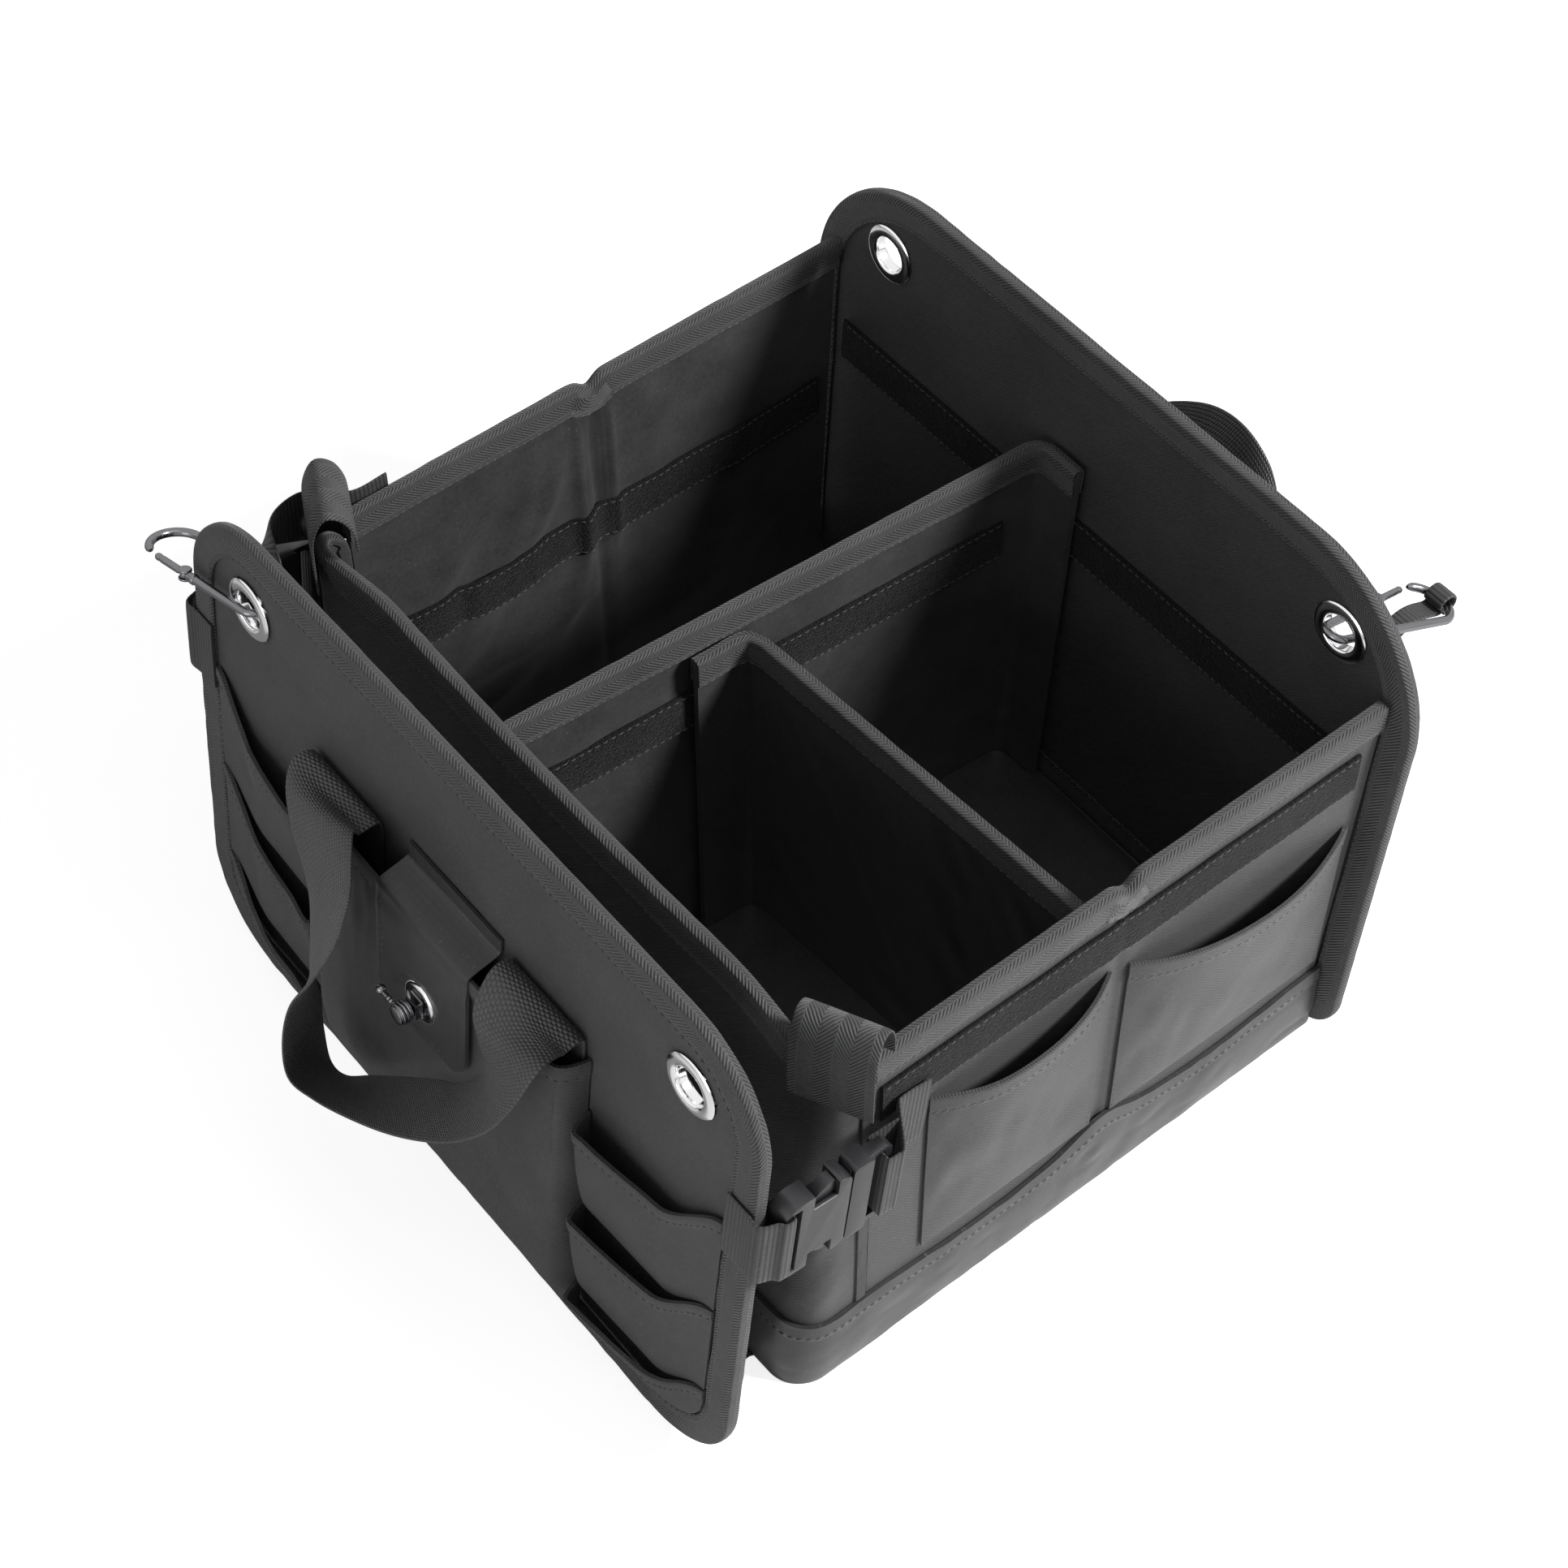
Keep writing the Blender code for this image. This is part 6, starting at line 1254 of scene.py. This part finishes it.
backHandle = np.array([
    (-0.0800, 0.150, 0.0012, 1, 0, 0), (-0.0800, 0.180, 0.0012, 1, 0, 0),
    (-0.0800, 0.1865, 0.0040, 1, 0, 0), (-0.0802, 0.187, 0.0120, 1, 0, 0),
    (-0.0800, 0.183, 0.0230, 0.9, 0.25, 0.3), (-0.0740, 0.185, 0.0350, 0.6, 0.45, 0.6),
    (-0.0560, 0.195, 0.0440, 0.3, 0.8, 0.5), (-0.0300, 0.202, 0.0490, 0.1, 0.9, 0.4),
    (0.0000, 0.196, 0.0510, -0.1, 0.88, 0.45), (0.0300, 0.184, 0.0460, -0.35, 0.8, 0.45),
    (0.0540, 0.175, 0.0360, -0.7, 0.5, 0.45), (0.0660, 0.177, 0.0230, -0.95, 0.2, 0.2),
    (0.0700, 0.185, 0.0120, -1, 0, 0), (0.0700, 0.1865, 0.0040, -1, 0, 0),
    (0.0700, 0.180, 0.0012, -1, 0, 0), (0.0700, 0.150, 0.0012, -1, 0, 0)])


def panelBand(name, panel, stops, width, thickness, material, step=0.0016, columns=13):
    # A band whose stops are panel coordinates: place, then the direction of its width.
    points = panel.at(stops[:, 0], stops[:, 1], stops[:, 2])
    ways = unit(panel.at(stops[:, 3], stops[:, 4], stops[:, 5]) - panel.origin)
    band(name, points, ways, width, thickness, material, step, columns)


for name, panel, stops in (("handle_front", flapPanel, frontHandle), ("handle_back", backPanel, backHandle)):
    panelBand(name, panel, stops, handleLook["width"], handleLook["thickness"], webbing, columns=21)

buckleLook = {"out": 0.0172, "up": 0.184, "mouth": 0.0395, "thickness": 0.0105, "female": 0.033, "male": 0.022,
              "strapWidth": 0.039, "strap": 0.0014, "bar": 0.0036}


def planBand(name, plan):
    # A buckle strap from its plan of (across, out) stops, level with the buckles.
    stops = np.array([(x, buckleLook["up"], z, 0, 1, 0) for x, z in plan], float)
    panelBand(name, flapPanel, stops, buckleLook["strapWidth"], buckleLook["strap"], ribbed, 0.0008)


def makeBuckleStraps(word, side):
    # Each goes off its panel, round the buckle's bar and back on itself.
    look, gap = buckleLook, tape["gap"]
    middle = side * (boxLook["halfWidth"] + look["out"])
    clear = look["strap"] / 2 + gap
    wrap = look["thickness"] / 2 + clear
    bar = -look["mouth"] + look["female"] - look["bar"] / 2
    near, far = bar - look["bar"] / 2 - clear, bar + look["bar"] / 2 + clear
    face, edge = edgeReach + clear, flapLook["width"] / 2
    out, inside = middle + side * wrap, middle - side * wrap
    planBand("flap_strap_" + word, ((side * (tierLook["outer"] + 0.0012), face), (side * (edge - 0.004), face),
             (side * (edge + 0.004), face + 0.0004), (out - side * 0.0022, far + 0.0012), (out, far - 0.001),
             (out, near + 0.0008), (out - side * 0.0012, near), (inside + side * 0.0012, near),
             (inside, near + 0.0008), (inside, far - 0.0025)))
    bar = -look["mouth"] - look["male"] + look["bar"] / 2
    near, far = bar + look["bar"] / 2 + clear, bar - look["bar"] / 2 - clear
    wall = side * (boxLook["halfWidth"] + edgeReach + stripLook["thickness"] + clear)
    planBand("wall_strap_" + word, ((inside, far - 0.010), (inside, far + 0.001), (inside, near - 0.0008),
             (inside + side * 0.0012, near), (out - side * 0.0012, near), (out, near - 0.0008), (out, far + 0.001),
             (out - side * 0.001, far - 0.003), (wall + side * 0.003, far - 0.014), (wall, far - 0.018),
             (wall, far - 0.033)))


def bevelled(node, width):
    # A copy of a solid, merged and with its edges rounded.
    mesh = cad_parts[node].data.copy()
    mesh.name = node + "_rounded"
    item = piece(mesh.name, mesh, plastic, [node])
    weld = item.modifiers.new("weld", "WELD")
    weld.merge_threshold = 0.00002
    round_ = item.modifiers.new("round", "BEVEL")
    round_.width, round_.segments, round_.limit_method = width, 3, "ANGLE"
    round_.angle_limit = math.radians(30)
    mesh.shade_smooth()
    mesh.set_sharp_from_angle(angle=math.radians(35))


for word, side in bothSides:
    makeBuckleStraps(word, side)
    bevelled("buckle_female_" + word, 0.0009)
    bevelled("buckle_male_" + word, 0.0007)
print("handles and buckles made")

tabLook = {"width": 0.036, "foot": 0.210, "shift": 0.003, "top": 0.256, "thickness": 0.0012, "press": 0.0006,
           "turn": 26.6}


def makeTab(name, side):
    # Herringbone tape up the corner, over the top and down inside.
    look = tabLook
    turn = math.radians(look["turn"])
    across, out = vec(math.cos(turn) * side, math.sin(turn), 0), vec(math.sin(turn) * side, -math.cos(turn), 0)
    front = -boxLook["halfLength"] - frontLook["foot"] + frontLook["lean"] / frontLook["height"] * look["foot"]
    radius = min(frontLook["corner"], frontStart - front - frontLook["seamReach"] - 5 * tape["gap"])
    corner = vec(side * (boxLook["halfWidth"] - radius), front + radius, 0) + out * radius + across * look["shift"]
    clear, top = edgeReach + tape["gap"] + look["thickness"] / 2 - look["press"], look["top"]
    shape = ((clear, look["foot"]), (clear, boxLook["height"] - 0.004), (clear - 0.001, top - 0.014),
             (clear - 0.005, top - 0.003), (-0.008, top), (-0.014, top - 0.004), (-0.0175, top - 0.013),
             (-0.0180, boxLook["height"] + 0.005))
    points = np.array([corner + out * n + vec(0, 0, z) for n, z in shape])
    ways = np.broadcast_to(across, points.shape)
    band(name, points, ways, look["width"], look["thickness"], herringbone, columns=17, edge=0.5)


for word, side in bothSides:
    makeTab("corner_tab_" + word, side)

# Carabiners: a bent rod with a boss, and a gate that turns on its pin
hookLook = {"rod": 0.0020, "length": 0.078, "wide": 0.0120, "narrow": 0.0052, "hinge": 0.044, "gate": 0.0205,
            "gateRod": 0.0017}
hookSpan = hookLook["length"] - hookLook["wide"] - hookLook["narrow"]
hookAngle = math.asin((hookLook["wide"] - hookLook["narrow"]) / hookSpan)


def tube(name, line, radii, sides, up):
    # Rings square to the line; the ends are closed by rings that shrink to a point.
    along = unit(np.gradient(line, axis=0))
    side = unit(np.cross(along, up + 0 * along))
    top = np.cross(side, along)
    a = np.arange(sides) * tau / sides
    ring = (side[:, None] * np.cos(a)[:, None] + top[:, None] * np.sin(a)[:, None]) * radii[:, None, None]
    grid = line[:, None] + ring
    caps = [line[:1, None] + 0 * ring[:1], line[-1:, None] + 0 * ring[:1]]
    grid = np.concatenate([caps[0], grid, caps[1]])
    n = len(grid)
    i, j = (k.ravel() for k in mesh2(np.arange(n - 1), np.arange(sides)))
    j2 = (j + 1) % sides
    faces = np.stack([i * sides + j, (i + 1) * sides + j, (i + 1) * sides + j2, i * sides + j2], 1)
    mesh = bpy.data.meshes.new(name)
    mesh.from_pydata(grid.reshape(-1, 3).tolist(), [], faces.tolist())
    return mesh


def merged(name, meshes):
    # Several closed meshes in one, their ends welded and their faces turned outwards one by one.
    made = bpy.data.meshes.new(name)
    bm = bmesh.new()
    for mesh in meshes:
        part = bmesh.new()
        part.from_mesh(mesh)
        bmesh.ops.remove_doubles(part, verts=part.verts, dist=0.0000005)
        bmesh.ops.dissolve_degenerate(part, edges=part.edges, dist=0.0000004)
        bmesh.ops.recalc_face_normals(part, faces=part.faces)
        part.to_mesh(mesh)
        part.free()
        bm.from_mesh(mesh)
    bm.to_mesh(made)
    bm.free()
    return finished(made)


def rounded(radius, count, start=True, tip=6):
    # Radii along a rod that is rounded off at its end, and at its start too unless that is hidden.
    r = np.full(count, float(radius))
    t = np.sin(np.linspace(0.15, 1, tip) * np.pi / 2) ** 0.6
    if start:
        r[:tip] = radius * t
    r[-tip:] = radius * t[::-1]
    return r


class Hook:
    # Local X runs from the wide end's centre to the narrow end, Y to the gate's side.
    def __init__(self, origin, x, y):
        self.origin, self.x, self.y = vec(*origin), unit(vec(*x)), unit(vec(*y))
        self.z = np.cross(self.x, self.y)

    def at(self, points):
        return self.origin + points[:, :1] * self.x + points[:, 1:2] * self.y + points[:, 2:3] * self.z


def sidePoint(distance):
    # A point on the straight side that the gate closes, by its distance from the narrow end.
    start = vec(hookSpan + hookLook["narrow"] * math.sin(hookAngle), hookLook["narrow"] * math.cos(hookAngle), 0)
    way = vec(-math.cos(hookAngle), math.sin(hookAngle), 0)
    return start + way * (distance - hookLook["narrow"]) / math.cos(hookAngle)


def makeHook(word, hook, body):
    # The body is one rod round both ends with two cheeks, a collar and a pin; the gate is a rod with an eye.
    look = hookLook
    angle = math.degrees(hookAngle)
    hinge, nose = sidePoint(look["hinge"]), sidePoint(look["hinge"] + look["gate"])
    flat = lambda p: np.hstack([p, np.zeros((len(p), 1))])
    line = np.vstack([hinge, flat(arcPoints(hookSpan, 0, look["narrow"], 90 - angle, -90 + angle, 24)),
                      flat(arcPoints(0, 0, look["wide"], 270 - angle, 94 + angle, 40))])
    line = hook.at(evenly(line, 0.0007))
    radii = rounded(look["rod"], len(line), start=False)
    far = np.linalg.norm(line - hook.at(vec(hookSpan + look["narrow"], 0, 0)[None]), axis=1)
    radii = radii * (0.90 + 0.10 * smooth(far / 0.02))
    pinLine = lambda heights: hook.at(np.stack([0 * heights + hinge[0], 0 * heights + hinge[1], heights], 1))
    cheeks = []
    for sign in (-1, 1):
        cheek = pinLine(sign * np.array([0.0015, 0.00165, 0.0021, 0.0025, 0.0026]))
        cheeks.append(tube("cheek", cheek, np.array([0.0029, 0.0030, 0.0030, 0.0028, 0.0024]), 28, up=hook.x))
    collarAt = sidePoint(look["hinge"] - 0.006)
    collar = np.linspace(-1, 1, 9)[:, None] * unit(hinge - sidePoint(look["narrow"]))[None] * 0.0016 + collarAt
    pin = pinLine(np.array([-0.0022, -0.0021, 0.0021, 0.0022]))
    meshes = [tube("rod", line, radii, 24, up=hook.z), *cheeks,
              tube("collar", hook.at(collar), rounded(look["rod"] * 1.22, 9, tip=3), 24, up=hook.z),
              tube("pin", pin, np.full(4, 0.0007), 12, up=hook.x)]
    piece("carabiner_%s_body" % word, merged("carabiner_body", meshes), gunmetal,
          ["carabiner_%s_body" % word])
    way = unit(nose - hinge)
    gate = hinge + way * np.linspace(0.0001, look["gate"] - 0.0003, 40)[:, None]
    t = np.linspace(0, 1, 40)
    radii = look["gateRod"] * (0.62 + 0.38 * smooth((t - 0.10) / 0.12))
    radii *= 1 - 0.16 * np.exp(-((t - 0.82) / 0.03) ** 2)
    radii[-4:] *= np.array([0.98, 0.9, 0.7, 0.45])
    eye = tube("eye", pinLine(np.array([-0.0012, -0.0011, -0.0008, 0.0008, 0.0011, 0.0012])),
               np.array([0.0021, 0.0023, 0.0024, 0.0024, 0.0023, 0.0021]), 24, up=hook.x)
    meshes = [tube("gate", hook.at(gate), radii, 20, up=hook.z), eye]
    piece("carabiner_%s_gate" % word, merged("carabiner_gate", meshes), gunmetal,
          ["carabiner_%s_gate" % word], body)


frontHook = Hook((-0.21045, -0.195469, 0.224719), (0.978148, 0.021372, 0.20681), (-0.036103, -0.962131, 0.270185))
backHook = Hook((0.145, 0.203301, 0.216796), (0, -0.922538, 0.385906), (-1, 0, 0))
makeHook("front", frontHook, "gate_front")
makeHook("back", backHook, "gate_back")
print("carabiners made")


def makeFrontStrap():
    # Sewn to the box's left front corner, it passes behind the flap and round the carabiner's rod.
    gap, width, strap = tape["gap"], 0.030, buckleLook["strap"]
    droop, tilt = math.radians(12), math.radians(10)
    way, up = vec(math.cos(droop), math.sin(droop), 0), vec(-math.sin(droop), math.cos(droop), 0)
    gateSide = vec(0, 0, 1) * math.cos(tilt) + up * math.sin(tilt)
    middle = vec(-flapLook["grommetX"], flapLook["grommetUp"], -flapLook["thickness"] / 2)
    tip = middle + way * (hookLook["narrow"] - 0.0010)
    rodWay = unit(way * math.cos(hookAngle) + gateSide * math.sin(hookAngle))
    offset = (hookLook["wide"] + hookLook["narrow"]) / 2 * 1.08
    centre = tip - way * (hookLook["narrow"] + hookSpan * 0.52) - gateSide * offset
    toSide = unit(np.cross(rodWay, vec(0, 0, 1)))
    back = unit(np.cross(toSide, rodWay))
    back = -back if back[2] > 0 else back
    ring = hookLook["rod"] + 4 * gap + strap / 2
    lean = math.radians(5.9)
    upright = vec(0, math.cos(lean), math.sin(lean))
    edgeX = -boxLook["halfWidth"] - gap - stripLook["thickness"] - strap / 2 - 2 * gap
    outside = edgeX - tabLook["width"] * 0.34
    front, height = boxLook["front"], 0.2175
    world = np.array([(edgeX, front + 0.026, height), (edgeX, front + 0.010, height),
                      (outside * 0.45 + edgeX * 0.55, front - 0.001, height + 0.001),
                      (outside, front - 0.012, height + 0.002), (outside + 0.002, front - 0.030, height + 0.005)])
    points = list(flapPanel.local(world))
    ways = [upright] * 4 + [upright + rodWay * 0.5]
    points.append(centre + back * 0.016 + toSide * ring * 1.2)
    ways.append(rodWay + upright * 0.15)
    for degrees in (100, 45, -10, -60, -110, -160, -205):
        a = math.radians(degrees)
        points.append(centre - back * math.cos(a) * ring + toSide * math.sin(a) * ring * 1.6)
        ways.append(rodWay)
    stops = np.hstack([np.array(points), unit(np.array(ways))])
    panelBand("strap_front_left", flapPanel, stops, width, strap, ribbed, 0.0008)


def makeBackStrap():
    # Sewn below the grommet, it runs out and turns once round the carabiner's wide end.
    gap, width, strap = tape["gap"], 0.010, buckleLook["strap"]
    slant = math.radians(20)
    way, across = vec(0, math.sin(slant), -math.cos(slant)), vec(1, 0, 0)
    middle = vec(-backLook["grommetX"], backLook["grommetUp"], -backLook["thickness"] / 2)
    tip = middle + way * (0.0110 - hookLook["rod"])
    centre = tip - way * (hookLook["narrow"] + hookSpan + hookLook["wide"] - 0.0005)
    ring = hookLook["rod"] + strap / 2 + 0.0023
    up = np.cross(way, across)
    up = -up if up[1] < 0 else up
    face, below = strap / 2 + 3 * gap, centre - up * (ring + 0.002)
    x, y = -backLook["grommetX"], backLook["grommetUp"]
    points = [vec(x, y - 0.066, face), vec(x, y - 0.052, face), vec(x, y - 0.044, face + 0.003), below + way * 0.024]
    for degrees in (-50, 0, 45, 90, 135, 180, 225, 262):
        a = math.radians(degrees)
        points.append(centre + way * math.cos(a) * ring + up * math.sin(a) * ring)
    stops = np.hstack([np.array(points), np.broadcast_to(across, (len(points), 3))])
    panelBand("strap_back_right", backPanel, stops, width, strap, ribbed, 0.0008)


makeFrontStrap()
makeBackStrap()

# Turn lock
lockLook = {"up": 0.142, "rosette": 0.0105, "rosetteThick": 0.0016, "block": 0.0085, "barrel": 0.0046, "pin": 0.0011,
            "reach": 0.015, "ball": 0.0023, "height": 0.007, "turns": 2.5}


def lockLine(points):
    # Lock coordinates (across, up from its middle, out) to the row frame.
    return flapPanel.at(points[:, 0], points[:, 1] + lockLook["up"], points[:, 2])


def makeLock():
    look = lockLook
    base = tongueDepth(np.float64(look["up"])) + pouchLook["cloth"] + tape["gap"]
    top = base + look["rosetteThick"]
    r, k = look["rosette"], look["rosetteThick"]
    share = np.array([(1.0, 0.0), (1.0, 0.25), (0.97, 0.6), (0.90, 0.88), (0.80, 1.0), (0.72, 0.92), (0.66, 0.78),
                      (0.3, 0.8)])
    line = np.vstack([[(0.0001, 0)], share * (r, k), [(0.0001, 0.8 * k)]])
    centre = lockLine(vec(0, 0, 0)[None])[0] + flapPanel.z * base
    grid = turned(line, 72, centre, flapPanel.x, flapPanel.y, flapPanel.z)
    piece("lock_plate", closedTube("lock_plate", grid, 40), chrome, ["lock_plate"])
    # The square block: a plate folded up round the spindle, open at one side
    h, high = look["block"] / 2, look["block"] * 0.5
    u, v = mesh2(np.linspace(0, 1, 33), np.linspace(-1, 1, 9))
    fold = evenly(np.array([(-h, 0.0), (h, 0.0), (h, high), (-h * 0.7, high)]), 0.0004)
    fold = np.stack([np.interp(u[:, 0], np.linspace(0, 1, len(fold)), fold[:, q]) for q in (0, 1)], 1)
    for _ in range(2):
        fold[1:-1] = (fold[:-2] + fold[1:-1] * 2 + fold[2:]) / 4
    block = np.stack([fold[:, :1] + 0 * v, v * h, fold[:, 1:] + 0 * v + top - 0.0002], 2)
    outer = lockLine(block.reshape(-1, 3)).reshape(block.shape)
    normal = gridNormals(outer)
    inner = outer - normal * 0.0009 * np.sign((normal[24, 4] @ flapPanel.z))
    piece("lock_block", shellMesh("lock_block", outer, inner, np.stack([u, v], 2)), gunmetal)
    start = top + high + tape["gap"]
    t = np.linspace(0, 1, 60)
    barrel = look["barrel"] * (0.90 + 0.10 * np.abs(np.sin(t * np.pi * 3.5)) ** 0.6)
    barrel[:3] *= (0.6, 0.85, 0.96)
    barrel[-5:] *= (0.98, 0.94, 0.86, 0.72, 0.45)
    axis = lockLine(np.stack([0 * t, 0 * t, start + t * look["height"]], 1))
    middle = start + look["height"] / 2
    x = np.linspace(look["barrel"] * 0.5, -look["reach"], 60)
    pin = np.full(60, look["pin"])
    pin *= 1 + 0.18 * (np.abs(np.mod(np.arange(60), 6) - 3) < 1.1) * (x < -0.005) * (x > -0.0105)
    rod = lockLine(np.stack([x, 0 * x, 0 * x + middle], 1))
    a = np.linspace(0.02, np.pi - 0.02, 18)
    ball = lockLine(np.stack([-look["reach"] - np.cos(a) * look["ball"], 0 * a, 0 * a + middle], 1))
    coil = np.linspace(0, tau * look["turns"], 90)
    loop = lockLine(np.stack([np.cos(coil) * look["barrel"], np.sin(coil) * look["barrel"],
                              start + 0.0012 + coil / coil[-1] * (look["height"] - 0.0028)], 1))
    meshes = [tube("barrel", axis, barrel, 40, up=flapPanel.x), tube("pin", rod, pin, 16, up=flapPanel.z),
              tube("ball", ball, np.sin(a) * look["ball"], 20, up=flapPanel.z),
              tube("coil", loop, rounded(0.0007, 90), 10, up=flapPanel.z)]
    piece("lock_knob", merged("lock_knob", meshes), gunmetal, ["lock_knob"], "knob")


makeLock()
for name, runs in seams.items():
    stitches("stitching_" + name, runs)
print("lock and stitching made")


# Floor, light and camera
stageLook = {"floorSize": 12.0, "floorDrop": 0.0004, "floorShade": 0.86, "floorGlow": 0.78, "fill": 0.13}
lamps = {"softboxRight": ((1.36, 1.02, 1.52), 0.5, 62), "softboxFront": ((0.6, -2.1, 0.8), 1.4, 13),
         "softboxTop": ((0.5, 0.0, 2.3), 1.2, 3)}
cameraLook = {"eye": (0.6715, -0.5721, 1.2621), "forward": (-0.473, 0.3815, -0.794), "lens": 74.0, "sensor": 36.0}


def makeStage():
    # A pale floor that the camera sees as white, and a world that is white to the camera and dim as a light.
    mesh = bpy.data.meshes.new("floor")
    size, shade = stageLook["floorSize"], stageLook["floorShade"]
    mesh.from_pydata([(-size, -size, 0), (size, -size, 0), (size, size, 0), (-size, size, 0)], [], [(0, 1, 2, 3)])
    floor = bpy.data.objects.new("floor", mesh)
    bpy.context.scene.collection.objects.link(floor)
    floor.location = (0, 0, -stageLook["floorDrop"])
    material = bpy.data.materials.new("paleFloor")
    material.use_nodes = True
    tree = material.node_tree
    shader = tree.nodes["Principled BSDF"]
    shader.inputs["Base Color"].default_value = (shade, shade, shade, 1)
    shader.inputs["Roughness"].default_value = 0.9
    shader.inputs["Specular IOR Level"].default_value = 0.0
    path = tree.nodes.new("ShaderNodeLightPath")
    shader.inputs["Emission Color"].default_value = (1, 1, 1, 1)
    glow = calc(tree, "MULTIPLY", path.outputs["Is Camera Ray"], stageLook["floorGlow"])
    tree.links.new(glow, shader.inputs["Emission Strength"])
    mesh.materials.append(material)
    world = bpy.data.worlds.new("studio")
    bpy.context.scene.world = world
    world.use_nodes = True
    tree = world.node_tree
    back = tree.nodes["Background"]
    back.inputs["Color"].default_value = (1, 1, 1, 1)
    path = tree.nodes.new("ShaderNodeLightPath")
    seen = calc(tree, "MAXIMUM", path.outputs["Is Camera Ray"], path.outputs["Is Glossy Ray"])
    seen = calc(tree, "MAXIMUM", seen, path.outputs["Is Transmission Ray"])
    strength = calc(tree, "MULTIPLY_ADD", seen, 1 - stageLook["fill"], stageLook["fill"])
    tree.links.new(strength, back.inputs["Strength"])
    bpy.context.scene.view_settings.view_transform = "Standard"


def makeLamp(name, place, size, power):
    # A round soft lamp that looks at the middle of the box.
    aim = (0, 0, 0.1)
    lamp = bpy.data.lights.new(name, "AREA")
    lamp.shape, lamp.size, lamp.energy = "DISK", size, power
    item = bpy.data.objects.new(name, lamp)
    bpy.context.scene.collection.objects.link(item)
    item.location = place
    item.rotation_euler = (Vector(aim) - Vector(place)).to_track_quat("-Z", "Y").to_euler()


makeStage()
for name, settings in lamps.items():
    makeLamp(name, *settings)
lens = bpy.data.cameras.new("camera")
lens.lens, lens.sensor_width, lens.clip_start = cameraLook["lens"], cameraLook["sensor"], 0.01
camera = bpy.data.objects.new("camera", lens)
bpy.context.scene.collection.objects.link(camera)
camera.location = cameraLook["eye"]
camera.rotation_euler = Vector(cameraLook["forward"]).to_track_quat("-Z", "Y").to_euler()
bpy.context.scene.camera = camera
print("stage made")
